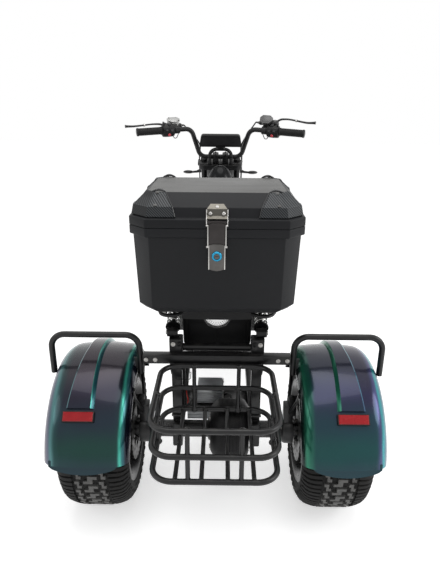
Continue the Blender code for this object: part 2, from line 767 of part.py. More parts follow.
def main_frame(vehicle):
    """Head tube, down tubes to the deck, posts and seat rails, with cross tubes."""
    head_low, head_high = Vector(world(0, 0, HEAD_LOW)), Vector(world(0, 0, HEAD_HIGH))
    parts = [tube([head_low, head_high], HEAD_RADIUS, sides=16)]
    for side in (-1, 1):
        down = [world(side * 0.022, -0.02, HEAD_HIGH - 0.05), (side * 0.06, DECK_FRONT + 0.05, 0.42),
                (side * DECK_X, DECK_FRONT, DECK_Z), (side * DECK_X, PIVOT_Y + 0.03, DECK_Z)]
        parts.append(tube(rounded_path(down, 0.06), FRAME_TUBE))
        x = side * RAIL_X
        rail = [(x, RAIL_REAR, RAIL_Z), (x, SEAT_REAR - 0.085, RAIL_Z), (x, SEAT_REAR - 0.015, SEAT_RAIL_Z),
                (x, SEAT_FRONT - 0.03, SEAT_RAIL_Z)]
        parts.append(tube(rounded_path(rail, 0.06), RAIL_TUBE))
        rear = [(side * RAIL_X, PIVOT_Y, PIVOT_Z), (side * RAIL_X, PIVOT_Y, 0.46),
                (side * RAIL_X, PIVOT_Y - 0.1, SEAT_RAIL_Z)]
        parts.append(tube(rounded_path(rear, 0.06), POST_TUBE))
        post = [(side * DECK_X, POST_Y, DECK_Z), (side * DECK_X, POST_Y, 0.55),
                (side * RAIL_X, POST_Y, SEAT_RAIL_Z)]
        parts.append(tube(rounded_path(post, 0.03), POST_TUBE))
    inner = ARM_SPACING - ARM_WIDTH / 2 - SEAM
    parts.append(tube([(-inner, PIVOT_Y, PIVOT_Z), (inner, PIVOT_Y, PIVOT_Z)], 0.022, sides=12))
    outer = ARM_SPACING + ARM_WIDTH / 2 + 0.004
    parts.append(tube([(-outer, PIVOT_Y, PIVOT_Z), (outer, PIVOT_Y, PIVOT_Z)], PIVOT_PIN, sides=12))
    for y in (BATTERY_REAR + 0.04, BATTERY_FRONT - 0.04, DECK_FRONT - 0.06):
        parts.append(tube([(-DECK_X, y, DECK_Z), (DECK_X, y, DECK_Z)], 0.012, sides=8))
    for y, z in ((POST_Y, SEAT_RAIL_Z), (0.14, RAIL_Z)):
        parts.append(tube([(-RAIL_X, y, z), (RAIL_X, y, z)], 0.011, sides=8))
    gusset = [world(0, -0.02, HEAD_HIGH - 0.02)[1:], (COWL_REAR + 0.01, COWL_LOW - SEAM),
              (COWL_REAR + 0.01, COWL_LOW - 0.012), world(0, -0.02, HEAD_HIGH - 0.12)[1:]]
    parts.append(slab([(y, min(z, COWL_LOW - SEAM)) for y, z in gusset], -0.02, 0.02))
    body = fuse(*parts)
    axis = (head_high - head_low).normalized()
    bore = tube([head_low - axis * 0.02, head_high + axis * 0.02], STEM_RADIUS + 0.001, sides=16)
    sub_part("main_frame", cut(body, bore), "black_paint", vehicle)


def neck_cowl(vehicle):
    """A glossy dome on the frame's neck."""
    rings = []
    middle = (COWL_FRONT + COWL_REAR) / 2
    half = (COWL_FRONT - COWL_REAR) / 2
    levels = 6
    for i in range(levels + 1):
        angle = math.pi / 2 * i / levels * 0.94
        reach = math.cos(angle) ** 0.8
        z = COWL_LOW + (COWL_TOP - COWL_LOW) * math.sin(angle)
        ring = []
        for k in range(16):
            turn = 2 * math.pi * k / 16
            across, along = reach * math.cos(turn), reach * math.sin(turn)
            ring.append((COWL_HALF_WIDTH * across, middle + half * along, z))
        rings.append(ring)
    sub_part("neck_cowl", loft(rings), "gloss_black", vehicle)


def footboard(vehicle):
    """A deck plate with an upturned toe and turned-down side edges."""
    base = DECK_Z + FRAME_TUBE + SEAM
    t = FOOTBOARD_PLATE
    front = DECK_FRONT - 0.065
    half = FOOTBOARD_HALF_WIDTH
    outline = [(FOOTBOARD_REAR, base), (front, base), (front + TOE_RUN, base + TOE_RISE),
               (front + TOE_RUN - t, base + TOE_RISE), (front - t * 0.6, base + t),
               (FOOTBOARD_REAR, base + t)]
    parts = [slab(outline, -half, half)]
    for side in (-1, 1):
        edge = box((half - t, FOOTBOARD_REAR, base - FOOTBOARD_EDGE), (half, front, base + t))
        mirror_x(edge, side)
        parts.append(edge)
    sub_part("footboard", fuse(*parts), "black_paint", vehicle, smooth=False)


def battery_box(vehicle):
    """A closed housing between deck and seat rails, with pressed side ribs."""
    low = DECK_Z + 0.012 + SEAM
    top = SEAT_RAIL_Z - RAIL_TUBE - 0.006
    c = BATTERY_CORNER
    rear, front = BATTERY_REAR, BATTERY_FRONT
    outline = [(rear + c, low), (front - c, low), (front, low + c), (front, top - c),
               (front - c, top), (rear + c, top), (rear, top - c), (rear, low + c)]
    body = slab(outline, -BATTERY_HALF_WIDTH, BATTERY_HALF_WIDTH)
    grooves = []
    for side in (-1, 1):
        x = side * BATTERY_HALF_WIDTH
        for i in range(3):
            z = low + (top - low) * (0.22 + 0.28 * i)
            corner = (x + GROOVE_DEPTH, front - 0.03, z + 0.04)
            grooves.append(box((x - GROOVE_DEPTH, rear + 0.03, z), corner))
    sub_part("battery_box", cut(body, *grooves), "black_paint", vehicle, smooth=False)


def seat_outline(grow):
    """Plan of the saddle, wide at the rear and narrow at the nose."""
    length = SEAT_FRONT - SEAT_REAR - 0.016
    points = []
    stations = ((0.0, 0.75), (0.06, 0.93), (0.25, 1.0), (0.5, 0.86), (0.75, 0.55), (0.93, 0.38), (1.0, 0.26))
    for share, half in stations:
        points.append((SEAT_HALF_WIDTH * half * grow, SEAT_REAR + 0.008 + length * share))
    return points + [(-x, y) for x, y in reversed(points)]


def seat(vehicle):
    """Seat pan on the rails and a plain cushion on the pan."""
    base = SEAT_RAIL_Z + RAIL_TUBE + SEAM
    top = base + SEAT_PAN_THICKNESS
    sub_part("seat_pan", plate(seat_outline(0.9), base, top), "black_paint", vehicle)
    rings = []
    for share, grow in ((0.0, 0.94), (0.35, 1.0), (0.75, 0.97), (1.0, 0.8)):
        middle = (SEAT_REAR + SEAT_FRONT) / 2
        ring = []
        for x, y in seat_outline(grow):
            along = (y - SEAT_REAR) / (SEAT_FRONT - SEAT_REAR)
            dip = SEAT_DIP * math.sin(math.pi * along) + SEAT_NOSE_DROP * along
            z = top + SEAM + (SEAT_HEIGHT - dip) * share
            ring.append((x, middle + (y - middle) * (0.985 if share == 1.0 else 1.0), z))
        rings.append(ring)
    sub_part("seat_cushion", loft(rings), "vinyl", vehicle)


def tail(vehicle):
    """Tail panel under the rails with a round lamp on its back."""
    under = RAIL_Z - RAIL_TUBE - SEAM
    half = PANEL_HALF_WIDTH
    narrow = RAIL_X - RAIL_TUBE - 0.004
    outline = [(half - 0.02, PANEL_LOW), (half, PANEL_LOW + 0.02), (half, under), (narrow, under),
               (narrow, RACK_Z - RACK_TUBE - 0.004)]
    outline += [(-x, z) for x, z in reversed(outline)]
    sub_part("tail_panel", panel(outline, PANEL_Y, PANEL_Y + PANEL_DEPTH), "black_paint", vehicle)
    seat_y = PANEL_Y - SEAM
    profile = [(seat_y, LAMP_RADIUS * 0.65), (seat_y - 0.02, LAMP_RADIUS * 0.77),
               (LAMP_REAR + 0.018, LAMP_RADIUS), (LAMP_REAR + 0.006, LAMP_RADIUS),
               (LAMP_REAR + 0.001, LAMP_RADIUS - 0.005), (LAMP_REAR, LAMP_RADIUS - 0.02)]
    sub_part("tail_lamp", lathe(profile, (0, 0, LAMP_Z), "Y"), "clear_lens", vehicle)


def shock(side, vehicle):
    """Damper with coil spring, eyes and a piggyback reservoir."""
    name = "right" if side > 0 else "left"
    x = ARM_SPACING + 0.011
    low = Vector((x, CROSS_BAR_Y + 0.02, UPRIGHT_TOP + 0.0145 + SEAM))
    high = Vector((x, 0.19, RAIL_Z + 0.005))
    axis = (high - low).normalized()
    length = (high - low).length
    across = Vector((1, 0, 0))
    parts = [tube([low + axis * 0.01, low + axis * (length * 0.72)], 0.010, sides=10)]
    parts.append(tube([low + axis * (length * 0.45), high - axis * 0.01], 0.013, sides=12))
    for point in (low, high):
        parts.append(tube([point - across * 0.016, point + across * 0.016], 0.0145, sides=12))
    for start, end, radius in ((0.10, 0.14, 0.024), (0.80, 0.86, 0.024)):
        parts.append(tube([low + axis * length * start, low + axis * length * end], radius, sides=14))
    coils = []
    turns, count = 5, 45
    up = axis.cross(across)
    for i in range(count + 1):
        angle = 2 * math.pi * turns * i / count
        run = length * (0.12 + 0.70 * i / count)
        coils.append(low + axis * run + (across * math.cos(angle) + up * math.sin(angle)) * COIL_RADIUS)
    parts.append(tube(coils, COIL_WIRE, sides=6))
    out = across * RESERVOIR_OUTBOARD
    bottle_low, bottle_high = low + axis * length * 0.45 + out, low + axis * length * 0.88 + out
    parts.append(tube([bottle_low, bottle_high], 0.0135, sides=12))
    parts.append(tube([low + axis * length * 0.84, low + axis * length * 0.84 + out], 0.010, sides=8))
    body = fuse(*parts)
    mirror_x(body, side)
    sub_part("shock_" + name, body, "steel", vehicle)


def rack(vehicle):
    """Two tube loops, the plate that carries the case, and feet on the rails."""
    parts = []
    half_y = (RACK_FRONT - RACK_REAR) / 2
    half_x = (RACK_OUTER_X - RACK_INNER_X) / 2
    for side in (-1, 1):
        centre = (side * (RACK_OUTER_X + RACK_INNER_X) / 2, (RACK_FRONT + RACK_REAR) / 2)
        outline = rounded_outline(half_x, half_y, half_x - 0.002, centre=centre)
        parts.append(tube([(x, y, RACK_Z) for x, y in outline], RACK_TUBE, sides=8, closed=True))
        for y in (0.0, RACK_FRONT - 0.03):
            parts.append(box((side * RAIL_X - 0.014, y - 0.012, RAIL_Z + RAIL_TUBE + SEAM),
                             (side * RAIL_X + 0.014, y + 0.012, RACK_Z + 0.009)))
    parts.append(box((-CARRIER_HALF_WIDTH, RACK_REAR + 0.05, RACK_Z + 0.0065),
                     (CARRIER_HALF_WIDTH, RACK_FRONT - 0.01, CASE_LOW - SEAM)))
    sub_part("case_rack", fuse(*parts), "black_paint", vehicle)


def case_ring(half_x, half_y, corner, z):
    """A rectangle with cut corners at one height."""
    points = []
    for sx, sy in ((1, 1), (-1, 1), (-1, -1), (1, -1)):
        pair = [(sx * half_x, sy * (half_y - corner)), (sx * (half_x - corner), sy * half_y)]
        points += pair if sx == sy else reversed(pair)
    return [(x, y, z) for x, y in points]


def case_base_form(inset=0.0, floor=0.0, top=0.0):
    w, d = CASE_HALF_WIDTH - inset, CASE_HALF_DEPTH - inset
    band_low = CASE_SEAM_Z - RIM_BAND
    rings = [case_ring(w - 0.038, d - 0.042, CASE_CORNER - 0.01, CASE_LOW + floor),
             case_ring(w - 0.0145, d - 0.017, CASE_CORNER - 0.005, CASE_LOW + 0.037 + floor),
             case_ring(w - 0.008, d - 0.007, CASE_CORNER, band_low - 0.002)]
    if inset == 0.0:
        rings.append(case_ring(w, d, CASE_CORNER, band_low))
        rings.append(case_ring(w, d, CASE_CORNER, CASE_SEAM_Z))
    else:
        rings.append(case_ring(w - 0.008, d - 0.007, CASE_CORNER, CASE_SEAM_Z + top))
    return loft(rings)


def case_base(vehicle):
    outer = case_base_form()
    inner = case_base_form(CASE_WALL, CASE_WALL, 0.02)
    sub_part("case_base", cut(outer, inner), "charcoal_plastic", vehicle, smooth=False)


def lid_form(grow=0.0, low=0.0, wall=0.0):
    """The lid's outside, grown by an offset, or its inside when a wall is given."""
    w, d = CASE_HALF_WIDTH + grow - wall, CASE_HALF_DEPTH + grow - wall
    seam = CASE_SEAM_Z + SEAM
    if wall == 0.0:
        rings = [case_ring(w, d, CASE_CORNER, seam + low),
                 case_ring(w, d, CASE_CORNER, seam + LID_BAND),
                 case_ring(w - LID_STEP, d - LID_STEP, CASE_CORNER - 0.002, seam + LID_BAND + 0.003 + grow)]
    else:
        rings = [case_ring(w - LID_STEP, d - LID_STEP, CASE_CORNER - 0.002, seam + low)]
    shoulder = seam + LID_SHOULDER + grow * 0.6 - wall * 0.4
    rings.append(case_ring(w - SHOULDER_INSET, d - SHOULDER_INSET, CASE_CORNER - 0.003, shoulder))
    rings.append(case_ring(w - TOP_INSET_X, d - TOP_INSET_Y, CASE_CORNER - 0.012, CASE_TOP + grow - wall))
    return loft(rings)


def lid_slope_z(behind):
    """Height of the lid's rear slope at a distance in from the case's rear face."""
    rise = (LID_HEIGHT - LID_SHOULDER) / (TOP_INSET_Y - SHOULDER_INSET)
    return CASE_SEAM_Z + LID_SHOULDER + (behind - SHOULDER_INSET) * rise


def lid(vehicle):
    """The lid with its corner guards and latch, hinged along its front edge."""
    hinge = empty("lid_hinge", (0, HINGE_Y, CASE_SEAM_Z), vehicle)
    back = Matrix.Translation((0, -HINGE_Y, -CASE_SEAM_Z))
    shell = cut(lid_form(), lid_form(low=-0.02, wall=CASE_WALL))
    shell.data.transform(back)
    sub_part("case_lid", shell, "charcoal_plastic", hinge, smooth=False)
    for side, name in ((-1, "left"), (1, "right")):
        skin = cut(lid_form(grow=GUARD_SKIN), lid_form(grow=SEAM, low=-0.02))
        w, d = CASE_HALF_WIDTH, CASE_HALF_DEPTH
        low, high = CASE_SEAM_Z + LID_BAND + GUARD_SKIN + 0.001, CASE_TOP - 0.004
        side_high = CASE_SEAM_Z + LID_SHOULDER - 0.008
        outline = [(w - GUARD_REACH, low), (w - GUARD_REACH + 0.035, high), (w - TOP_INSET_X + 0.007, high),
                   (w + 0.02, side_high), (w + 0.02, low)]
        zone = panel(outline, -d - 0.05, -d + GUARD_WRAP)
        mirror_x(zone, side)
        guard = combine([skin, zone], "INTERSECT")
        guard.data.transform(back)
        sub_part("lid_guard_" + name, guard, "carbon", hinge, smooth=False)
    latch = latch_form()
    latch.data.transform(back)
    sub_part("case_latch", latch, "steel", hinge)
    face = -CASE_HALF_DEPTH - LEVER_BACK - SEAM
    ring = lathe([(face, LOCK_RADIUS), (face - 0.0045, LOCK_RADIUS), (face - 0.0065, LOCK_RADIUS - 0.0035)],
                 (0, 0, CASE_SEAM_Z - LOCK_BELOW_SEAM), "Y")
    ring.data.transform(back)
    sub_part("latch_lock", ring, "blue_metal", hinge)


def latch_form():
    """Plate on the lid's slope, strap over the seam and the lever below it."""
    d = CASE_HALF_DEPTH
    half = LATCH_WIDTH / 2
    seam = CASE_SEAM_Z
    band_top = seam + LID_BAND + SEAM
    up = LATCH_PLATE
    foot = seam + LID_BAND * 0.4
    inner = [(-d - SEAM, foot), (-d - SEAM, band_top + 0.0017), (-d + LID_STEP - 0.0005, band_top + 0.0039),
             (-d + SHOULDER_INSET - 0.0005, lid_slope_z(SHOULDER_INSET) + 0.0006 + SEAM),
             (-d + 0.022, lid_slope_z(0.022) + 0.0016 + SEAM)]
    outer = [(-d + 0.021, lid_slope_z(0.021) + 0.002 + up),
             (-d + LID_STEP, lid_slope_z(LID_STEP) + 0.0014 + up),
             (-d + 0.001, band_top + 0.0035 + up), (-d - 0.006, band_top + 0.0027), (-d - 0.006, foot)]
    top = slab(inner + outer, -half, half)
    strap_low = seam - 0.045
    strap = box((-half + 0.002, -d - 0.009, strap_low), (half - 0.002, -d - 0.005, seam + LID_BAND * 0.55))
    high, low = strap_low + 0.005, strap_low + 0.005 - LEVER_LENGTH
    lever = panel([(-half + 0.004, high), (-half + 0.006, low + 0.014), (-half + 0.016, low),
                   (half - 0.016, low), (half - 0.006, low + 0.014), (half - 0.004, high)],
                  -d - LEVER_BACK, -d - 0.0065)
    return fuse(top, strap, lever)


def fork(steering):
    """Yokes, stem, fork tubes with sliders and the wheel's axle."""
    low_yoke = HEAD_LOW - 0.0005
    outline = rounded_outline(FORK_SPACING + 0.026, 0.038, 0.026, steps=3, centre=(0, 0.02))
    parts = [plate(outline, YOKE_TOP - YOKE_THICKNESS, YOKE_TOP)]
    parts.append(plate(outline, low_yoke - YOKE_THICKNESS, low_yoke))
    parts.append(tube([(0, 0, low_yoke - 0.01), (0, 0, YOKE_TOP - 0.005)], STEM_RADIUS, sides=16))
    for side in (-1, 1):
        x = side * FORK_SPACING
        heights = [(x, FORK_OFFSET, z) for z in (-0.03, SLIDER_TOP - 0.02, SLIDER_TOP, FORK_TOP)]
        parts.append(tube([heights[1], heights[3]], FORK_TUBE, sides=14))
        parts.append(tube([heights[0], heights[2]], SLIDER_RADIUS, sides=14))
    grip = caliper(front_disc_x(), 0.018, FORK_SPACING - front_disc_x(), CALIPER_LEAN)
    grip.data.transform(Matrix.Translation((0, FORK_OFFSET, 0)))
    parts.append(grip)
    reach = FORK_SPACING + SLIDER_RADIUS + 0.004
    parts.append(tube([(-reach, FORK_OFFSET, 0), (reach, FORK_OFFSET, 0)], AXLE_RADIUS, sides=12))
    sub_part("fork", fuse(*parts), "black_paint", steering)


def bar_centre():
    return Vector((0, BAR_AHEAD, YOKE_TOP + BAR_ABOVE_YOKE))


def bar_path(side):
    """Half of the handlebar's centre line in the steering frame."""
    _, middle_y, middle_z = world(*bar_centre())
    points = [(0, 0, 0), (BAR_STRAIGHT, 0, 0), (BAR_RISE_X, -BAR_RISE_BACK, BAR_RISE),
              (BAR_END_X, -BAR_SWEEP, BAR_RISE - BAR_END_DROP)]
    return [steer(side * x, middle_y + y, middle_z + z) for x, y, z in points]


def handlebar(steering):
    left = bar_path(-1)[1:]
    right = bar_path(1)[1:]
    path = rounded_path(list(reversed(left)) + right, BAR_BEND, steps=4)
    centre = bar_centre()
    around = BAR_RADIUS + 0.007
    clamp = box((-CLAMP_HALF_WIDTH, centre.y - around, YOKE_TOP + SEAM),
                (CLAMP_HALF_WIDTH, centre.y + around, centre.z + around - 0.0015))
    sub_part("handlebar", fuse(tube(path, BAR_RADIUS, sides=12), clamp), "black_paint", steering)


def along_bar(side, share_from_end):
    """Frame of the bar's outer run: its point and outward direction."""
    path = bar_path(side)
    outward = (path[3] - path[2]).normalized()
    return path[3] - outward * share_from_end, outward


def sleeve(side, start, end, radius, sides=16):
    """A hollow sleeve round the bar's outer run, between two distances from its end."""
    near, outward = along_bar(side, start)
    far, _ = along_bar(side, end)
    outer = tube([near, far], radius, sides=sides)
    bore_radius = (BAR_RADIUS + SEAM) / math.cos(math.pi / sides)
    bore = tube([near + outward * 0.01, far - outward * 0.01], bore_radius, sides=sides)
    return cut(outer, bore)


def master_frame(side):
    """Where the brake master clamps the bar, with its outward, forward and upward directions."""
    place, outward = along_bar(side, GRIP_LENGTH + SWITCH_LENGTH + 2 * SEAM + MASTER_CLAMP / 2)
    ahead = (Vector((0, 1, 0)) - outward * outward.y).normalized()
    up = outward.cross(ahead) * side
    tilt = LEVER_TILT_RIGHT if side > 0 else LEVER_TILT_LEFT
    forward = ahead * math.cos(tilt) + up * math.sin(tilt)
    upward = up * math.cos(tilt) - ahead * math.sin(tilt)
    return place, outward, forward, upward


def controls(side, steering):
    """Grip, switch housing and brake master with its lever on one side."""
    name = "right" if side > 0 else "left"
    sub_part("grip_" + name, sleeve(side, -0.003, GRIP_LENGTH, GRIP_RADIUS), "grip_rubber", steering)
    start = GRIP_LENGTH + SEAM
    housing = sleeve(side, start, start + SWITCH_LENGTH, SWITCH_RADIUS, sides=12)
    sub_part("switch_" + name, housing, "charcoal_plastic", steering)
    start += SWITCH_LENGTH + SEAM
    clamp = sleeve(side, start, start + MASTER_CLAMP, 0.018, sides=12)
    place, outward, forward, upward = master_frame(side)
    master = place + forward * MASTER_AHEAD
    body = tube([master - outward * MASTER_INBOARD, master + outward * 0.045], MASTER_RADIUS, sides=10)
    cup = tube([master + upward * 0.006, master + upward * 0.032], 0.021, sides=14)
    route = [master + outward * 0.041, master + forward * 0.02 + outward * 0.062,
             master + forward * 0.026 + outward * 0.11, master + forward * 0.018 + outward * 0.225]
    lever = tube(rounded_path(route, 0.02, steps=3), 0.0062, sides=8)
    neck = tube([place + forward * 0.006, master], 0.012, sides=8)
    bar = tube([place - outward * 0.05, place + outward * 0.05], BAR_RADIUS + 2 * SEAM, sides=12)
    neck = cut(neck, bar)
    sub_part("brake_" + name, fuse(clamp, neck, body, cup, lever), "steel", steering)


def display(steering):
    """Arched tube bracket on the upper yoke and the display on the arch."""
    bar = bar_centre()
    leg_y = bar.y - BAR_RADIUS - SEAM - BRACKET_TUBE
    arch_z = bar.z + DISPLAY_RISE - 0.007
    foot_z = YOKE_TOP + SEAM
    corners = [(-BRACKET_X, leg_y, foot_z), (-BRACKET_X, leg_y, arch_z), (BRACKET_X, leg_y, arch_z),
               (BRACKET_X, leg_y, foot_z)]
    arch = tube(rounded_path(corners, 0.022), BRACKET_TUBE)
    top = arch_z + BRACKET_TUBE
    neck = box((-0.022, leg_y - 0.008, arch_z), (0.022, leg_y + 0.008, top + 0.006))
    sub_part("display_bracket", fuse(arch, neck), "black_paint", steering)
    low = top + 0.006 + SEAM
    w = DISPLAY_HALF_WIDTH
    outline = [(-w, 0), (w, 0), (w - 0.004, 0.014), (w - 0.014, DISPLAY_HEIGHT),
               (-w + 0.014, DISPLAY_HEIGHT), (-w + 0.004, 0.014)]
    body = panel(outline, leg_y - DISPLAY_DEPTH / 2, leg_y + DISPLAY_DEPTH / 2)
    body.data.transform(Matrix.Translation((0, 0, low)))
    sub_part("display", body, "gloss_black", steering, smooth=False)


def lights(steering):
    """Headlight in front of the fork and one pair of turn signals on a cross stem."""
    y = FORK_OFFSET + FORK_TUBE + SEAM
    z = HEADLIGHT_HEIGHT
    shares = ((0.0, 0.4), (0.11, 0.4), (0.29, 0.7), (0.67, 1.0), (0.9, 1.0), (1.0, 0.87))
    profile = [(y + HEADLIGHT_DEPTH * along, HEADLIGHT_RADIUS * out) for along, out in shares]
    lamp = lathe(profile, (0, 0, z), "Y")
    bracket = box((-FORK_SPACING - 0.012, y, z - 0.012), (FORK_SPACING + 0.012, y + 0.006, z + 0.012))
    sub_part("headlight", fuse(lamp, bracket), "gloss_black", steering)
    for side, name in ((-1, "left"), (1, "right")):
        start = FORK_SPACING + FORK_TUBE + SEAM
        place = (SIGNAL_X, FORK_OFFSET, SIGNAL_HEIGHT)
        stem = tube([(start, FORK_OFFSET, SIGNAL_HEIGHT), place], 0.006, sides=8)
        pod = lathe([(-0.03, 0.008), (-0.022, 0.013), (0.018, 0.013), (0.026, 0.008)], axis="Y", steps=12)
        pod.data.transform(Matrix.Diagonal((2.0, 1, 0.9, 1)))
        pod.data.transform(Matrix.Translation(place))
        body = fuse(stem, pod)
        mirror_x(body, side)
        sub_part("signal_" + name, body, "amber_lens", steering)


def front_fender(steering):
    """A narrow fender between the fork legs, held to them by two stays."""
    inner = FRONT_TYRE_RADIUS + 0.014
    half = FORK_SPACING - SLIDER_RADIUS - 0.004
    low, thick = inner - 0.012, 0.003
    right = [(half - 0.012, inner + 0.008), (half, inner), (half, low), (half - thick, low),
             (half - thick, inner - 0.001), (half - 0.013, inner + 0.005)]
    section = [(-x, r) for x, r in reversed(right[:3])] + right + [(-x, r) for x, r in reversed(right[3:])]
    rings = []
    for i in range(13):
        angle = math.radians(12 + 145 * i / 12) + RAKE
        rings.append([(x, FORK_OFFSET + r * math.cos(angle), r * math.sin(angle)) for x, r in section])
    skin = loft(rings)
    edge = FORK_SPACING - SLIDER_RADIUS - SEAM
    stay = box((-edge, FORK_OFFSET - 0.012, inner - 0.006), (edge, FORK_OFFSET + 0.012, inner + 0.006))
    sub_part("front_fender", fuse(skin, stay), "black_paint", steering)


def smooth_route(points, samples):
    """Even samples of a smooth curve through the route's own points."""
    points = [Vector(point) for point in points]
    ends = [points[0] * 2 - points[1]] + points + [points[-1] * 2 - points[-2]]
    route = []
    for a, b, c, d in zip(ends, ends[1:], ends[2:], ends[3:]):
        for i in range(samples):
            t = i / samples
            route.append(0.5 * (2 * b + (c - a) * t + (2 * a - 5 * b + 4 * c - d) * t * t
                                + (3 * b - a - 3 * c + d) * t * t * t))
    route.append(points[-1])
    return route


def hose(name, points, steering):
    """A brake hose as a round curve with filled caps."""
    curve = bpy.data.curves.new(name, "CURVE")
    curve.dimensions = "3D"
    curve.bevel_depth = HOSE_RADIUS
    curve.bevel_resolution = 2
    curve.use_fill_caps = True
    route = smooth_route(points, 7)
    spline = curve.splines.new("POLY")
    spline.points.add(len(route) - 1)
    for slot, point in zip(spline.points, route):
        slot.co = (*point, 1.0)
    piece = bpy.data.objects.new(name, curve)
    bpy.context.collection.objects.link(piece)
    curve.materials.append(finish(name, "grip_rubber"))
    piece.parent = steering


def hoses(steering):
    """Brake hoses: the right one down to the caliper, the left one to the lower yoke."""
    front_y = FORK_OFFSET + 0.034
    low_yoke = HEAD_LOW - 0.0005
    for side, name in ((-1, "left"), (1, "right")):
        place, outward, forward, upward = master_frame(side)
        start = place + forward * MASTER_AHEAD - outward * (MASTER_INBOARD + SEAM)
        x = side * 0.104
        route = [start, start - outward * 0.018, start - outward * 0.035 - upward * 0.02,
                 Vector((x, front_y + 0.02, YOKE_TOP + 0.06)), Vector((x, front_y, YOKE_TOP)),
                 Vector((x, front_y, (YOKE_TOP + low_yoke) / 2))]
        if side > 0:
            lean = Matrix.Rotation(-CALIPER_LEAN, 3, "X")
            top = lean @ Vector((FORK_SPACING - 0.012, 0, DISC_RADIUS + CALIPER_RISE + SEAM))
            end = top + Vector((0, FORK_OFFSET, 0))
            route += [Vector((x, front_y, low_yoke)), Vector((x, front_y, SLIDER_TOP + 0.02)),
                      Vector((x - 0.004, front_y, 0.26)), end + lean @ Vector((0, 0, 0.05)),
                      end + lean @ Vector((0, 0, 0.02)), end]
        else:
            end = Vector((side * 0.100, FORK_OFFSET, low_yoke + SEAM))
            route += [end + Vector((0, 0, 0.035)), end + Vector((0, 0, 0.015)), end]
        hose("brake_hose_" + name, route, steering)


def build():
    clear_scene()
    vehicle = empty("vehicle", (0, -MIDDLE_Y, 0))
    main_frame(vehicle)
    footboard(vehicle)
    battery_box(vehicle)
    seat(vehicle)
    neck_cowl(vehicle)
    rear_axle(vehicle)
    subframe(vehicle)
    controllers(vehicle)
    tail(vehicle)
    rack(vehicle)
    case_base(vehicle)
    lid(vehicle)
    basket(vehicle)
    for side in (-1, 1):
        fender(side, vehicle)
        reflector(side, vehicle)
        guard_hoop(side, vehicle)
        shock(side, vehicle)
        rear_wheel(side, vehicle)
    steering = empty("steering_axis", (0, STEER_Y, STEER_Z), vehicle, tilt=RAKE)
    fork(steering)
    front_wheel(steering)
    handlebar(steering)
    for side in (-1, 1):
        controls(side, steering)
    display(steering)
    lights(steering)
    front_fender(steering)
    hoses(steering)


build()
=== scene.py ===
import bpy
import bmesh
import json
import math
import random
from mathutils import Matrix, Vector
from mathutils.bvhtree import BVHTree


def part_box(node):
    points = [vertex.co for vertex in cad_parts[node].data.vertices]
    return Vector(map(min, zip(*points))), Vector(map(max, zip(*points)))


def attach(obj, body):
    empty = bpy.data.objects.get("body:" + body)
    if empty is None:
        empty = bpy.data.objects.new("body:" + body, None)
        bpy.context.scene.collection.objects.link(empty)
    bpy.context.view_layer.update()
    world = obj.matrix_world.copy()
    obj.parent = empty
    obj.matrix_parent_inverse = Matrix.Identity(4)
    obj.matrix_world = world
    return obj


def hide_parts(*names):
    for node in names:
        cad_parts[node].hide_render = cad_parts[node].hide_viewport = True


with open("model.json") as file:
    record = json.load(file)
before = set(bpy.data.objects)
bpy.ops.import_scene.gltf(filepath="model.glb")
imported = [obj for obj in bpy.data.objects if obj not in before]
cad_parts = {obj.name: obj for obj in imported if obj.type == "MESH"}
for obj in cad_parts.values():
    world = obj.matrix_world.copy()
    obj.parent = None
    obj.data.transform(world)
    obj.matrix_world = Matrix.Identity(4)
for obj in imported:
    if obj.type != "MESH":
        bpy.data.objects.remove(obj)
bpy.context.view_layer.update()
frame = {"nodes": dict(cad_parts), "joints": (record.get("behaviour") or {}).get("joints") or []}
nodeObjects = frame["nodes"]
jointAt = {joint["name"]: Vector(joint["pos_m"]) for joint in frame["joints"]}
random.seed(7)

# Frames that the pieces are measured in. Most y values count forward from the rear axle.
rake = math.radians(20)
rearAxle = jointAt["rear_wheel_right_spin"]
frontAxle = jointAt["front_wheel_spin"]
trikeFrame = Matrix.Translation((0, rearAxle.y, 0))
steerFrame = Matrix.Translation(jointAt["steer"]) @ Matrix.Rotation(rake, 4, "X")
frontWheelFrame = Matrix.Translation(frontAxle)
print("frame loaded:", len(nodeObjects), "nodes")


# Mesh tools
def newPiece(name, mesh, body, finish, place=trikeFrame, replaced=(), sharp=35):
    bmesh.ops.remove_doubles(mesh, verts=mesh.verts, dist=0.00001)
    bmesh.ops.recalc_face_normals(mesh, faces=mesh.faces)
    data = bpy.data.meshes.new(name)
    mesh.to_mesh(data)
    mesh.free()
    data.transform(place)
    data.shade_smooth()
    data.set_sharp_from_angle(angle=math.radians(sharp))
    data.materials.append(finish)
    piece = bpy.data.objects.new(name, data)
    bpy.context.scene.collection.objects.link(piece)
    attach(piece, body)
    if replaced:
        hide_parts(*replaced)
    return piece


def skin(mesh, rings, loop=True, closed=False, caps=True):
    # faces between rings of equal length; loop joins each ring's ends, closed joins last to first
    made = [[mesh.verts.new(point) for point in ring] for ring in rings]
    count = len(made[0])
    pairs = list(zip(made, made[1:])) + ([(made[-1], made[0])] if closed else [])
    for low, high in pairs:
        for i in range(count if loop else count - 1):
            j = (i + 1) % count
            mesh.faces.new((low[i], low[j], high[j], high[i]))
    if caps and loop and not closed:
        mesh.faces.new(made[0][::-1])
        mesh.faces.new(made[-1])
    return made


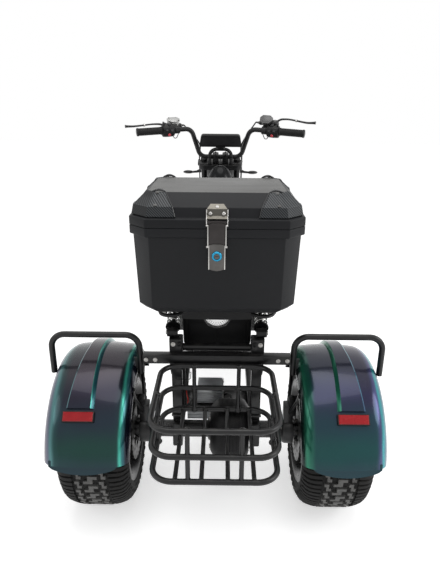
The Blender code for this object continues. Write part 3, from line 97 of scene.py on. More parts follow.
def roundPath(points, radius, steps=6):
    # corners of a bent tube turned into arcs
    points = [Vector(p) for p in points]
    path = [points[0]]
    for before, corner, after in zip(points, points[1:], points[2:]):
        back, ahead = (before - corner).normalized(), (after - corner).normalized()
        half = back.angle(ahead) / 2
        run = min(radius / math.tan(half), (before - corner).length * 0.49, (after - corner).length * 0.49)
        real = run * math.tan(half)
        centre = corner + (back + ahead).normalized() * real / math.sin(half)
        start, end, turn = corner + back * run - centre, corner + ahead * run - centre, math.pi - 2 * half
        for i in range(steps + 1):
            a = math.sin((1 - i / steps) * turn) / math.sin(turn)
            b = math.sin(i / steps * turn) / math.sin(turn)
            path.append(centre + start * a + end * b)
    path.append(points[-1])
    return path


def softPath(points, samples=6):
    # a smooth line through a few points, for cables
    points = [Vector(p) for p in points]
    ends = [points[0] * 2 - points[1]] + points + [points[-1] * 2 - points[-2]]
    line = []
    for a, b, c, d in zip(ends, ends[1:], ends[2:], ends[3:]):
        for i in range(samples):
            t = i / samples
            line.append(0.5 * (2 * b + (c - a) * t + (2 * a - 5 * b + 4 * c - d) * t * t
                               + (3 * b - a - 3 * c + d) * t ** 3))
    return line + [points[-1]]


def sweep(mesh, path, radius, sides=16, closed=False, flat=1.0):
    # round bar along a path; radius may be a list, flat squeezes it across
    path = [Vector(p) for p in path]
    count, rings, normal = len(path), [], None
    radii = radius if isinstance(radius, (list, tuple)) else [radius] * count
    for i, point in enumerate(path):
        before = path[i - 1] if closed or i else point
        after = path[(i + 1) % count] if closed or i < count - 1 else point
        into = (point - before) if before != point else (after - point)
        out = (after - point) if after != point else into
        tangent = (into.normalized() + out.normalized()).normalized()
        if normal is None:
            normal = tangent.cross(Vector((0, 0, 1)) if abs(tangent.z) < 0.9 else Vector((1, 0, 0)))
        normal = (normal - tangent * normal.dot(tangent)).normalized()
        other = tangent.cross(normal)
        ring = []
        for k in range(sides):
            angle = 2 * math.pi * (k + 0.5) / sides
            ring.append(point + (normal * math.cos(angle) + other * math.sin(angle) * flat) * radii[i])
        rings.append(ring)
    skin(mesh, rings, closed=closed)


def spin(mesh, profile, centre=(0, 0, 0), axis="X", steps=32, closed=False, caps=True):
    # profile of (along, radius) turned round an axis; closed is for a ring-shaped section
    centre, rings = Vector(centre), []
    for i in range(steps):
        angle = 2 * math.pi * (i + 0.5) / steps
        s, c = math.sin(angle), -math.cos(angle)
        ring = []
        for along, r in profile:
            ring.append(centre + Vector({"X": (along, r * s, r * c), "Y": (r * s, along, r * c),
                                         "Z": (r * s, r * c, along)}[axis]))
        rings.append(ring)
    if closed:
        skin(mesh, rings, closed=True)
        return
    rings = [list(column) for column in zip(*rings)]
    skin(mesh, rings, caps=caps)


def block(mesh, low, high, bevel=0.0, turn=None, segments=2):
    # box between two corners with rounded edges, turned by a matrix if one is given
    low, high = Vector(low), Vector(high)
    size, middle = high - low, (low + high) / 2
    fresh = bmesh.new()
    bmesh.ops.create_cube(fresh, size=1.0)
    for v in fresh.verts:
        v.co = Vector(a * b for a, b in zip(v.co, size))
    if bevel:
        bmesh.ops.bevel(fresh, geom=list(fresh.edges), offset=bevel, segments=segments, profile=0.5,
                        affect="EDGES")
    for v in fresh.verts:
        v.co = middle + v.co
        if turn is not None:
            v.co = turn @ v.co
    addMesh(mesh, fresh)


def addMesh(mesh, other, turn=None):
    data = bpy.data.meshes.new("part")
    other.to_mesh(data)
    other.free()
    if turn is not None:
        data.transform(turn)
    mesh.from_mesh(data)
    bpy.data.meshes.remove(data)


def slabOf(mesh, outline, low, high, axis="X", bevel=0.0, turn=None):
    # an outline pushed along an axis: (y, z) along X, (x, z) along Y, (x, y) along Z
    def at(a, b, along):
        return {"X": (along, a, b), "Y": (a, along, b), "Z": (a, b, along)}[axis]
    fresh = bmesh.new()
    skin(fresh, [[at(a, b, along) for a, b in outline] for along in (low, high)])
    if bevel:
        bmesh.ops.recalc_face_normals(fresh, faces=fresh.faces)
        bmesh.ops.bevel(fresh, geom=list(fresh.edges), offset=bevel, segments=2, profile=0.5, affect="EDGES",
                        clamp_overlap=True)
    addMesh(mesh, fresh, turn)


def roundRect(halfX, halfY, corner, steps=6, centre=(0, 0)):
    points = []
    for quarter, (sx, sy) in enumerate([(1, 1), (-1, 1), (-1, -1), (1, -1)]):
        for i in range(steps + 1):
            angle = math.pi / 2 * (quarter + i / steps)
            points.append((centre[0] + sx * (halfX - corner) + corner * math.cos(angle),
                           centre[1] + sy * (halfY - corner) + corner * math.sin(angle)))
    return points


def facing(place, normal):
    # matrix that lays local +Z along a normal at a place
    return Matrix.Translation(Vector(place)) @ Vector(normal).to_track_quat("Z", "Y").to_matrix().to_4x4()


def boltHead(mesh, place, normal, radius=0.006, height=0.004, kind="hex"):
    fresh = bmesh.new()
    sides = 6 if kind == "hex" else 20
    washer = [(0, radius * 1.45), (0.0012, radius * 1.45), (0.0012, radius * 1.05)]
    spin(fresh, washer, axis="Z", steps=20)
    head = [(0.001, radius), (height * 0.8, radius), (height, radius * 0.82)]
    if kind != "hex":
        head += [(height, radius * 0.5), (height * 0.4, radius * 0.45)]
    spin(fresh, head, axis="Z", steps=sides)
    addMesh(mesh, fresh, facing(place, normal))


def mirrored(mesh, side):
    if side < 0:
        for v in mesh.verts:
            v.co.x = -v.co.x
    return mesh


# Finishes. Each one is a dictionary of what a user would change.
def nodeTools(material):
    material.use_nodes = True
    tree = material.node_tree
    shader = tree.nodes["Principled BSDF"]

    def add(kind, **values):
        node = tree.nodes.new(kind)
        for key, value in values.items():
            if key in node.inputs:
                node.inputs[key].default_value = value
            else:
                setattr(node, key, value)
        return node

    def link(source, target):
        tree.links.new(source, target)
    return shader, add, link


def noiseAt(add, link, coords, scale, detail=4.0, rough=0.55, stretch=None):
    noise = add("ShaderNodeTexNoise", Scale=scale, Detail=detail, Roughness=rough)
    if stretch:
        spread = add("ShaderNodeMapping")
        spread.inputs["Scale"].default_value = stretch
        link(coords, spread.inputs["Vector"])
        coords = spread.outputs["Vector"]
    link(coords, noise.inputs["Vector"])
    return noise.outputs["Fac"]


def rangeOf(add, link, source, low, high, toLow=0.0, toHigh=1.0):
    remap = add("ShaderNodeMapRange")
    for key, value in (("From Min", low), ("From Max", high), ("To Min", toLow), ("To Max", toHigh)):
        remap.inputs[key].default_value = value
    link(source, remap.inputs["Value"])
    return remap.outputs["Result"]


def maths(add, link, operation, a, b=None):
    node = add("ShaderNodeMath", operation=operation)
    for slot, value in zip(node.inputs, (a, b)):
        if value is None:
            continue
        if isinstance(value, (int, float)):
            slot.default_value = value
        else:
            link(value, slot)
    return node.outputs["Value"]


def blendColour(add, link, factor, a, b):
    node = add("ShaderNodeMix", data_type="RGBA")
    link(factor, node.inputs["Factor"])
    for slot, value in ((node.inputs[6], a), (node.inputs[7], b)):
        if isinstance(value, tuple):
            slot.default_value = (*value, 1.0)
        else:
            link(value, slot)
    return node.outputs[2]


def surface(name, look):
    # two-tone colour, dust on upward faces, roughness range and a grain bump; where asked, a painted sheen on
    # faces that look up and a painted glint that glows
    material = bpy.data.materials.new(name)
    shader, add, link = nodeTools(material)
    coords = add("ShaderNodeTexCoord").outputs["Object"]
    broad = noiseAt(add, link, coords, look.get("patch", 9.0), 5.0)
    fine = noiseAt(add, link, coords, look.get("grain", 400.0), 3.0, 0.6, look.get("stretch"))
    tone = rangeOf(add, link, broad, 0.35, 0.65)
    colour = blendColour(add, link, tone, look["colour"], look.get("second",
                                                            tuple(c * 1.35 for c in look["colour"])))
    if look.get("speckle"):
        dots = rangeOf(add, link, fine, 0.58, 0.70, 0.0, look["speckle"])
        colour = blendColour(add, link, dots, colour, look.get("speckleColour", (0.2, 0.2, 0.2)))
    if look.get("dust"):
        up = add("ShaderNodeSeparateXYZ")
        link(add("ShaderNodeNewGeometry").outputs["Normal"], up.inputs["Vector"])
        lift = rangeOf(add, link, up.outputs["Z"], 0.2, 1.0, 0.0, look["dust"])
        spots = rangeOf(add, link, noiseAt(add, link, coords, 34.0, 6.0, 0.7), 0.42, 0.68)
        colour = blendColour(add, link, maths(add, link, "MULTIPLY", lift, spots), colour,
                             look.get("dustColour", (0.22, 0.21, 0.19)))
    if look.get("topSheen"):    # painted sheen: a lighter, streaked tone where the piece itself faces up
        own = add("ShaderNodeSeparateXYZ")
        link(add("ShaderNodeTexCoord").outputs["Normal"], own.inputs["Vector"])
        a, b = look.get("sheenFrom", (0.955, 0.985))
        sheenStreaks = rangeOf(add, link, noiseAt(add, link, coords, 30.0, 6.0, 0.65, (0.12, 1.0, 1.0)), 0.25,
                          0.75)
        top = blendColour(add, link, sheenStreaks, look["topSheen"], tuple(c * 1.5 for c in look["topSheen"]))
        colour = blendColour(add, link, rangeOf(add, link, own.outputs["Z"], a, b), colour, top)
    link(colour, shader.inputs["Base Color"])
    low, high = look["rough"]
    link(rangeOf(add, link, broad, 0.3, 0.7, low, high), shader.inputs["Roughness"])
    # painted glint: where asked, the surface colour also glows
    if look.get("glintGlow"):
        link(colour, shader.inputs["Emission Color"])
        shader.inputs["Emission Strength"].default_value = look["glintGlow"]
    shader.inputs["Metallic"].default_value = look.get("metal", 0.0)
    shader.inputs["Coat Weight"].default_value = look.get("coat", 0.0)
    shader.inputs["Coat Roughness"].default_value = look.get("coatRough", 0.08)
    shader.inputs["Specular IOR Level"].default_value = look.get("specular", 0.5)
    bump = add("ShaderNodeBump", Strength=look.get("bump", 0.15))
    bump.inputs["Distance"].default_value = look.get("depth", 0.0004)
    link(fine, bump.inputs["Height"])
    link(bump.outputs["Normal"], shader.inputs["Normal"])
    return material


framePaint = surface("framePaint", {"colour": (0.0055, 0.0055, 0.006), "rough": (0.24, 0.40), "grain": 260.0,
                                    "bump": 0.10, "dust": 0.10, "specular": 0.26})
satinPaint = surface("satinPaint", {"colour": (0.007, 0.007, 0.0075), "rough": (0.26, 0.38), "grain": 700.0,
                                    "bump": 0.12, "dust": 0.10, "specular": 0.34})
glossCowl = surface("glossCowl", {"colour": (0.006, 0.006, 0.007), "rough": (0.06, 0.12), "grain": 60.0,
                                  "bump": 0.01, "dust": 0.04, "coat": 0.15, "specular": 0.3})
blackPlastic = surface("blackPlastic", {"colour": (0.007, 0.007, 0.0075), "rough": (0.40, 0.56),
                                        "grain": 1200.0,
                                        "bump": 0.2, "dust": 0.08, "depth": 0.0002, "specular": 0.22})
gripRubber = surface("gripRubber", {"colour": (0.007, 0.007, 0.0072), "rough": (0.55, 0.75), "grain": 900.0,
                                    "bump": 0.25, "dust": 0.06, "specular": 0.22})
hoseRubber = surface("hoseRubber", {"colour": (0.006, 0.006, 0.006), "rough": (0.4, 0.55), "grain": 500.0,
                                    "bump": 0.1, "specular": 0.2})
castAlloy = surface("castAlloy", {"colour": (0.46, 0.47, 0.48), "second": (0.36, 0.37, 0.38),
                                  "rough": (0.3, 0.5),
                                  "metal": 0.9, "grain": 320.0, "bump": 0.15, "speckle": 0.3,
                                  "speckleColour": (0.2, 0.2, 0.2)})
brightSteel = surface("brightSteel", {"colour": (0.50, 0.49, 0.47), "second": (0.36, 0.35, 0.34),
                                      "metal": 1.0,
                                      "rough": (0.22, 0.42), "grain": 420.0, "bump": 0.08})
darkSteel = surface("darkSteel", {"colour": (0.10, 0.10, 0.10), "second": (0.06, 0.058, 0.055), "metal": 0.9,
                                  "rough": (0.35, 0.5), "grain": 420.0, "bump": 0.1})
rimPaint = surface("rimPaint", {"colour": (0.006, 0.006, 0.0065), "rough": (0.2, 0.34), "grain": 200.0,
                                "bump": 0.06, "dust": 0.06, "specular": 0.3})
redLens = surface("redLens", {"colour": (0.26, 0.006, 0.010), "second": (0.34, 0.012, 0.016),
                              "rough": (0.2, 0.3),
                              "grain": 90.0, "bump": 0.05, "specular": 0.25, "patch": 16.0})
amberLens = surface("amberLens", {"colour": (0.55, 0.20, 0.02), "rough": (0.1, 0.2), "grain": 90.0,
                                  "bump": 0.05,
                                  "coat": 0.8})
blueMetal = surface("blueMetal", {"colour": (0.03, 0.24, 0.42), "second": (0.06, 0.40, 0.55), "metal": 1.0,
                                  "rough": (0.16, 0.28), "grain": 500.0, "bump": 0.06})
tyreRubber = surface("tyreRubber", {"colour": (0.009, 0.009, 0.009), "second": (0.016, 0.0158, 0.0155),
                                    "rough": (0.66, 0.86), "grain": 500.0, "bump": 0.35, "dust": 0.10,
                                    "speckle": 0.05,
                                    "specular": 0.22})
casePlastic = surface("casePlastic", {"colour": (0.0092, 0.0098, 0.0112), "second": (0.0120, 0.0125, 0.0140),
                                      "rough": (0.44, 0.54), "grain": 1500.0, "bump": 0.35, "depth": 0.00025,
                                      "specular": 0.17})
print("finishes made")


# Colour-shifting fender paint: the hue follows the way each part of the panel faces. Its paler and brighter
# stops are painted reflections and highlights, and the left and right fenders get their own stops for the
# light that falls on each.
# "rise" runs from upright to flat, "across" from left-facing to right-facing; the last number of a stop
# there is its strength.
shiftPaintAndReflections = {
    "Left": {"rise": [(0.02, (0.030, 0.032, 0.056)), (0.16, (0.008, 0.024, 0.036)), (0.38,
                                                            (0.007, 0.042, 0.034)),
                      (0.62, (0.010, 0.020, 0.034)), (0.80, (0.012, 0.010, 0.022)), (0.97,
                                                            (0.040, 0.033, 0.042))],
             "across": [(0.03, (0.030, 0.020, 0.045), 1.0), (0.16, (0.075, 0.085, 0.135), 0.9),
                        (0.27, (0.070, 0.190, 0.195), 0.9), (0.40, (0.014, 0.060, 0.060), 0.5),
                        (0.50, (0.010, 0.040, 0.045), 0.0), (0.66, (0.012, 0.060, 0.055), 0.2),
                        (0.76, (0.060, 0.420, 0.330), 0.95), (0.84, (0.020, 0.110, 0.130), 0.9),
                        (0.92, (0.006, 0.008, 0.020), 1.0)]},
    "Right": {"rise": [(0.02, (0.028, 0.030, 0.056)), (0.16, (0.008, 0.030, 0.042)), (0.38,
                                                            (0.007, 0.060, 0.058)),
                       (0.62, (0.010, 0.034, 0.052)), (0.80, (0.020, 0.014, 0.048)), (0.97,
                                                            (0.036, 0.031, 0.050))],
              "across": [(0.04, (0.008, 0.020, 0.020), 1.0), (0.15, (0.018, 0.160, 0.095), 0.95),
                         (0.28, (0.014, 0.110, 0.075), 0.8), (0.44, (0.010, 0.050, 0.055), 0.2),
                         (0.60, (0.016, 0.050, 0.090), 0.1), (0.74, (0.060, 0.060, 0.170), 0.8),
                         (0.82, (0.030, 0.300, 0.330), 0.95), (0.90, (0.016, 0.130, 0.190), 0.95),
                         (0.97, (0.012, 0.020, 0.060), 1.0)]},
    "metal": 0.60, "rough": 0.21, "coat": 0.22, "flake": 2600.0}


def fillRamp(ramp, stops):
    ramp.color_ramp.interpolation = "EASE"
    while len(ramp.color_ramp.elements) < len(stops):
        ramp.color_ramp.elements.new(0.5)
    for element, (at, colour, *strength) in zip(ramp.color_ramp.elements, stops):
        element.position = at
        element.color = (*colour, strength[0] if strength else 1.0)


def chameleonReflectionFinish(name):
    look = shiftPaintAndReflections
    material = bpy.data.materials.new("chameleonPaintAndReflections" + name)
    shader, add, link = nodeTools(material)
    coords = add("ShaderNodeTexCoord").outputs["Object"]
    facingWay = add("ShaderNodeSeparateXYZ")
    link(add("ShaderNodeNewGeometry").outputs["Normal"], facingWay.inputs["Vector"])
    waver = rangeOf(add, link, noiseAt(add, link, coords, 5.0, 2.0), 0.3, 0.7, -0.04, 0.04)
    # painted reflections: the ramps put pale and bright stops, standing in for reflections and highlights,
    # into the base colour along with the hue shift
    rise = add("ShaderNodeValToRGB")
    fillRamp(rise, look[name]["rise"])
    link(maths(add, link, "ADD", facingWay.outputs["Z"], waver), rise.inputs["Fac"])
    across = add("ShaderNodeValToRGB")
    fillRamp(across, look[name]["across"])
    sideways = rangeOf(add, link, facingWay.outputs["X"], -1.0, 1.0)
    link(maths(add, link, "ADD", sideways, waver), across.inputs["Fac"])
    link(blendColour(add, link, across.outputs["Alpha"], rise.outputs["Color"], across.outputs["Color"]),
         shader.inputs["Base Color"])
    shader.inputs["Metallic"].default_value = look["metal"]
    flake = noiseAt(add, link, coords, look["flake"], 1.0)
    link(rangeOf(add, link, flake, 0.3, 0.7, look["rough"] - 0.05, look["rough"] + 0.07),
         shader.inputs["Roughness"])
    shader.inputs["Specular IOR Level"].default_value = 0.25
    shader.inputs["Coat Weight"].default_value = look["coat"]
    shader.inputs["Coat Roughness"].default_value = 0.035
    bump = add("ShaderNodeBump", Strength=0.04)
    bump.inputs["Distance"].default_value = 0.0003
    link(noiseAt(add, link, coords, 55.0, 2.0), bump.inputs["Height"])
    link(bump.outputs["Normal"], shader.inputs["Coat Normal"])
    return material


chameleonPaintAndReflections = {name: chameleonReflectionFinish(name) for name in ("Left", "Right")}

# Fender: a rolled skin round the wheel, a raised band and a return lip under its rear edge
fenderShape = {"rearAngle": 12.0, "sweep": 137.5, "steps": 76, "outerRoll": 0.058, "innerRoll": 0.046,
               "crown": 0.005,
               "drop": 0.055, "wall": 0.004, "bandHeight": 0.010, "bandInner": 0.358, "bandTop": 0.400,
               "bandRear": 0.420, "bandRearInner": 0.352, "bandStart": 45.0, "lipReach": 5.5,
               "lipSink": 0.011}
fenderLow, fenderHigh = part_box("fender_right")
fenderRadius = fenderHigh.z - rearAxle.z - fenderShape["bandHeight"]


def roundWheel(x, radius, degrees):
    a = math.radians(degrees)
    return Vector((x, -radius * math.cos(a), rearAxle.z + radius * math.sin(a)))


def fenderSection(offset, drop):
    s = fenderShape
    inner, outer, top = fenderLow.x + offset, fenderHigh.x - offset, fenderRadius - offset
    rollIn, rollOut = s["innerRoll"] - offset, s["outerRoll"] - offset
    points = [(inner, top - max(drop, rollIn)), (inner, top - rollIn - 0.002)]
    for i in range(1, 9):
        a = math.pi / 2 * i / 8
        points.append((inner + rollIn - rollIn * math.cos(a),
                       top - s["crown"] - rollIn + rollIn * math.sin(a)))
    flat = outer - rollOut - inner - rollIn
    for i in range(1, 8):
        t = i / 8
        points.append((inner + rollIn + flat * t, top - s["crown"] + s["crown"] * math.sin(math.pi * t)))
    for i in range(9):
        a = math.pi / 2 * i / 8
        points.append((outer - rollOut + rollOut * math.sin(a),
                       top - s["crown"] - rollOut + rollOut * math.cos(a)))
    return points + [(outer, top - max(drop, rollOut + 0.003))]


def fender(side):
    s, name = fenderShape, "Right" if side > 0 else "Left"
    mesh, rings = bmesh.new(), []
    for i in range(s["steps"] + 1):
        t = i / s["steps"]
        degrees = s["rearAngle"] + s["sweep"] * t
        ease = min(1.0, t * s["steps"] / 7, (1 - t) * s["steps"] / 7)    # side skirts round off at both ends
        drop = s["drop"] * (0.35 + 0.65 * math.sqrt(1 - (1 - ease) ** 2))
        section = fenderSection(0, drop) + fenderSection(s["wall"], drop - 0.001)[::-1]
        rings.append([roundWheel(x, r, degrees) for x, r in section])
    skin(mesh, rings)
    band = []
    for i in range(57):
        degrees = s["bandStart"] + (s["rearAngle"] + s["sweep"] - s["bandStart"]) * i / 56
        share = max(0.0, (90 - degrees) / (90 - s["bandStart"]))
        edge = s["bandTop"] + (s["bandRear"] - s["bandTop"]) * share
        inner = s["bandInner"] + (s["bandRearInner"] - s["bandInner"]) * share
        low, top = fenderRadius - 0.003, fenderRadius + s["bandHeight"]
        loop = [(inner - 0.011, low), (inner - 0.0015, top - 0.0015), (inner + 0.001, top), (edge - 0.003,
                                                            top),
                (edge, top - 0.002), (edge + 0.003, low)]
        band.append([roundWheel(x, r, degrees) for x, r in loop])
    skin(mesh, band)
    lip = []
    for i in range(25):    # crescent under the rear edge
        t = i / 24
        x = fenderLow.x + 0.03 + (fenderHigh.x - fenderLow.x - 0.055) * t
        reach = s["lipReach"] * math.sin(math.pi * t) ** 0.6 + 0.3
        r = fenderRadius - s["lipSink"]
        lip.append([roundWheel(x, r, s["rearAngle"] + 3), roundWheel(x, r, s["rearAngle"] - reach),
                    roundWheel(x, r - 0.004, s["rearAngle"] - reach), roundWheel(x, r - 0.004,
                                                            s["rearAngle"] + 3)])
    skin(mesh, lip)
    mirrored(mesh, side)
    piece = newPiece("fenderPanel" + name, mesh, "chassis", chameleonPaintAndReflections[name],
                     replaced=["fender_" + name.lower()], sharp=28)

    # stays under the fender, from the hoop's inner leg and the axle's end to the skin
    mesh = bmesh.new()
    for degrees in (60, 118):
        path = roundPath([roundWheel(fenderLow.x + 0.004, fenderRadius - 0.045, degrees),
                          roundWheel(fenderLow.x + 0.006, fenderRadius - 0.11, degrees + 4),
                          roundWheel(fenderLow.x - 0.012, 0.05, 90)], 0.02)
        sweep(mesh, path, 0.006, 10)
    for degrees in (58, 62, 116, 120):
        boltHead(mesh, roundWheel(fenderLow.x - 0.0005, fenderRadius - 0.045, degrees), (-1, 0, 0), 0.0045)
    mirrored(mesh, side)
    newPiece("fenderStays" + name, mesh, "chassis", framePaint)
    return piece


def reflector(side):
    name = "Right" if side > 0 else "Left"
    s = {"width": 0.090, "height": 0.032, "x": 0.385, "angle": 40.4, "frame": 0.003}
    seat = roundWheel(s["x"], fenderRadius + 0.0003, s["angle"])
    a = math.radians(s["angle"])
    turn = Matrix.Translation(seat) @ Matrix.Rotation(math.pi / 2 - a, 4, "X")
    mesh = bmesh.new()
    slabOf(mesh, roundRect(s["width"] / 2, s["height"] / 2, 0.003, 3), -0.001, 0.0095, "Z", 0.0012)
    for v in mesh.verts:
        v.co = turn @ v.co
    mirrored(mesh, side)
    newPiece("reflectorFrame" + name, mesh, "chassis", blackPlastic)
    mesh, rows, columns = bmesh.new(), 14, 40    # lens with rows of small prisms
    halfX, halfY = s["width"] / 2 - s["frame"], s["height"] / 2 - s["frame"]
    grid = []
    for j in range(rows + 1):
        row = []
        for i in range(columns + 1):
            x, y = -halfX + 2 * halfX * i / columns, -halfY + 2 * halfY * j / rows
            edge = i in (0, columns) or j in (0, rows)
            split = abs(i - columns / 2) < 1
            z = 0.0095 if edge else 0.0114 + (0.0004 if (i + j) % 2 else 0.0) - (0.0006 if split else 0)
            row.append((x, y, z))
        grid.append([turn @ Vector(p) for p in row])
    skin(mesh, grid, loop=False)
    mirrored(mesh, side)
    newPiece("reflectorLens" + name, mesh, "chassis", redLens,
             replaced=["reflector_" + name.lower()])


# Guard hoops over the fenders
hoop = {"radius": 0.0095, "bend": 0.042, "y": -0.035}


def guardHoop(side):
    name = "Right" if side > 0 else "Left"
    low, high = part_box("guard_hoop_right")
    r, y = hoop["radius"], hoop["y"]
    inner, outer, top = low.x + r, high.x - r, high.z - r
    mesh = bmesh.new()
    path = roundPath([(inner, y, low.z), (inner, y, top), (outer, y, top), (outer, y, low.z)], hoop["bend"],
                     10)
    sweep(mesh, path, r, 20)
    slabOf(mesh, [(inner - 0.003, 0.465), (inner + 0.003, 0.455), (inner + 0.018, 0.520), (inner - 0.003,
                                                            0.520)],
           y - 0.006, y - 0.003, "Y")
    boltHead(mesh, (outer, y + r - 0.001, low.z + 0.020), (0, 1, 0), 0.0045)
    mirrored(mesh, side)
    newPiece("hoopTube" + name, mesh, "chassis", satinPaint,
             replaced=["guard_hoop_" + name.lower()])


# Wire basket: three loops, uprights and floor bars, with a weld bead at each joint
basketShape = {"rim": 0.008, "wire": 0.0062, "corner": 0.055, "pitch": 0.068, "weld": 0.0026}


def basket():
    s = basketShape
    low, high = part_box("basket")
    rear, front = low.y + s["rim"] - rearAxle.y, high.y - s["rim"] - rearAxle.y
    halfX, middle, halfY = high.x - s["rim"], (rear + front) / 2, (front - rear) / 2
    levels = [low.z + s["rim"], (low.z + high.z) / 2, high.z - s["rim"]]
    mesh = bmesh.new()
    outline = roundRect(halfX, halfY, s["corner"], 10, (0, middle))
    for level in levels:
        sweep(mesh, [(x, y, level) for x, y in outline], s["rim"], 16, closed=True)
    joints = []
    for x in (-s["pitch"], s["pitch"]):
        for y, push in ((front, -0.003), (rear, 0.003)):
            sweep(mesh, [(x, y + push, levels[0] - 0.004), (x, y + push, levels[2] + 0.003)], s["wire"], 14)
            joints += [(x, y + push, level) for level in levels]
    for x in (-halfX, halfX):
        inward = x - math.copysign(0.003, x)
        sweep(mesh, [(inward, middle, levels[0] - 0.004), (inward, middle, levels[2] + 0.003)], s["wire"], 14)
        joints += [(inward, middle, level) for level in levels]
    for i in range(4):
        x = s["pitch"] * (i - 1.5)
        path = roundPath([(x, front + 0.003, levels[0] - 0.002), (x, rear - 0.003, levels[0] - 0.002)], 0.01)
        sweep(mesh, path, s["wire"], 14)
        joints += [(x, front - 0.002, levels[0]), (x, rear + 0.002, levels[0])]
    for joint in joints:    # weld beads
        bead = bmesh.new()
        bmesh.ops.create_uvsphere(bead, u_segments=12, v_segments=8, radius=s["rim"] + s["weld"])
        for v in bead.verts:
            v.co = Vector(joint) + Vector((v.co.x, v.co.y, v.co.z * 0.82))
        addMesh(mesh, bead)
    newPiece("basketWire", mesh, "chassis", satinPaint, replaced=["basket"], sharp=60)


for side in (-1, 1):
    fender(side)
    reflector(side)
    guardHoop(side)
basket()
print("fenders, reflectors, hoops and basket made")


# Tyres: a smooth carcass with tread blocks; the blocks reach the CAD tyre's own radius
tyreShape = {"rear": {"radius": 0.2382, "width": 0.215, "lug": 0.0075, "pitches": 40, "shoulderSipes": 80},
             "front": {"radius": 0.2292, "width": 0.108, "lug": 0.005, "pitches": 46, "shoulderSipes": 92},
             "bead": 0.155}


def wornTreadFinish():
    # rubber that is paler and smoother where the blocks have met the road
    material = bpy.data.materials.new("treadRubber")
    shader, add, link = nodeTools(material)
    coords = add("ShaderNodeTexCoord").outputs["Object"]
    scuff = noiseAt(add, link, coords, 60.0, 6.0, 0.7)
    fine = noiseAt(add, link, coords, 700.0, 3.0)
    colour = blendColour(add, link, rangeOf(add, link, scuff, 0.35, 0.7), (0.050, 0.050, 0.049), (0.150,
                                                            0.148, 0.142))
    link(colour, shader.inputs["Base Color"])
    link(rangeOf(add, link, scuff, 0.3, 0.7, 0.5, 0.72), shader.inputs["Roughness"])
    bump = add("ShaderNodeBump", Strength=0.35)
    bump.inputs["Distance"].default_value = 0.0004
    link(fine, bump.inputs["Height"])
    link(bump.outputs["Normal"], shader.inputs["Normal"])
    return material


treadRubber = wornTreadFinish()


def carcassRadius(x, half, radius):
    # crown of the tyre across its width
    t = min(1.0, abs(x) / half)
    return radius - 0.024 * max(0.0, (t - 0.35) / 0.65) ** 2 - 0.016 * max(0.0, (t - 0.8) / 0.2) ** 2


def treadBlock(mesh, outline, radius, half, base, top):
    # outline of (x, along) points on the tread, along measured round the tyre; top face a little smaller
    middleX = sum(p[0] for p in outline) / len(outline)
    middleS = sum(p[1] for p in outline) / len(outline)
    low, high = [], []
    for x, s in outline:
        angle = s / radius
        r = carcassRadius(x, half, radius)
        low.append(mesh.verts.new((x, (r - base) * math.sin(angle), -(r - base) * math.cos(angle))))
        tx, ts = middleX + (x - middleX) * 0.94, middleS + (s - middleS) * 0.93
        angle, r = ts / radius, carcassRadius(tx, half, radius) + top
        high.append(mesh.verts.new((tx, r * math.sin(angle), -r * math.cos(angle))))
    count = len(outline)
    for i in range(count):
        j = (i + 1) % count
        mesh.faces.new((low[i], low[j], high[j], high[i]))
    mesh.faces.new(high)


def zLug(x, s, wide, tall, flip):
    # one S-like block of the centre rows
    w, t = wide / 2, tall / 2
    shape = [(-w, -t), (w * 0.35, -t), (w * 0.35, t * 0.25), (w, t * 0.25), (w, t), (-w * 0.35, t),
             (-w * 0.35, -t * 0.25), (-w, -t * 0.25)]
    return [(x + flip * a, s + b) for a, b in shape]


def tyre(name, shape, place, body, node, grooves):
    radius, half, lug = shape["radius"], shape["width"] / 2, shape["lug"]
    mesh, bead = bmesh.new(), tyreShape["bead"]
    rimHalf = half - 0.014
    floor = radius - lug
    profile = []
    for i in range(19):    # across the crown
        x = half * 0.955 * (1 - 2 * i / 18)
        profile.append((x, carcassRadius(x, half, floor)))
    sideOut = [(half * 0.985, floor - 0.037), (half, floor - 0.0455), (half, bead + 0.028), (half - 0.003,
                                                            bead + 0.025),
               (half - 0.003, bead + 0.020), (half - 0.006, bead + 0.012), (rimHalf, bead + 0.003),
               (rimHalf - 0.004, bead)]
    profile = [(x, r) for x, r in sideOut[::-1]] + profile + [(-x, r) for x, r in sideOut]
    spin(mesh, profile, axis="X", steps=128, closed=True)
    carcass = newPiece(name + "Carcass", mesh, body, tyreRubber, place=place, replaced=[node],
                       sharp=40)

    mesh = bmesh.new()
    round_ = 2 * math.pi * radius
    pitch = round_ / shape["pitches"]
    for i in range(shape["pitches"]):    # centre rows, staggered
        s = i * pitch
        for row, (x, flip, wide) in enumerate(grooves["centre"]):
            treadBlock(mesh, zLug(x, s + pitch * 0.5 * (row % 2), wide, pitch * 0.80, flip), radius, half,
                       lug, -0.0003)
    newPiece(name + "CentreBlocks", mesh, body, treadRubber, place=place, sharp=30)
    mesh = bmesh.new()
    sipe = round_ / shape["shoulderSipes"]
    for i in range(shape["shoulderSipes"]):    # shoulders: close lateral bars over the edge
        s = i * sipe
        for side in (-1, 1):
            start, end = grooves["shoulder"] * half, half * (1.0 if i % 2 else 0.975)
            steps = [start + (end - start) * k / 5 for k in range(6)]
            lean = 0.10 * sipe
            outline = [(side * x, s - sipe * 0.34 + lean * k) for k, x in enumerate(steps)]
            outline += [(side * x, s + sipe * 0.34 + lean * k) for k, x in reversed(list(enumerate(steps)))]
            treadStrip(mesh, outline, radius, half, lug)
    newPiece(name + "ShoulderBars", mesh, body, tyreRubber, place=place, sharp=30)
    return carcass


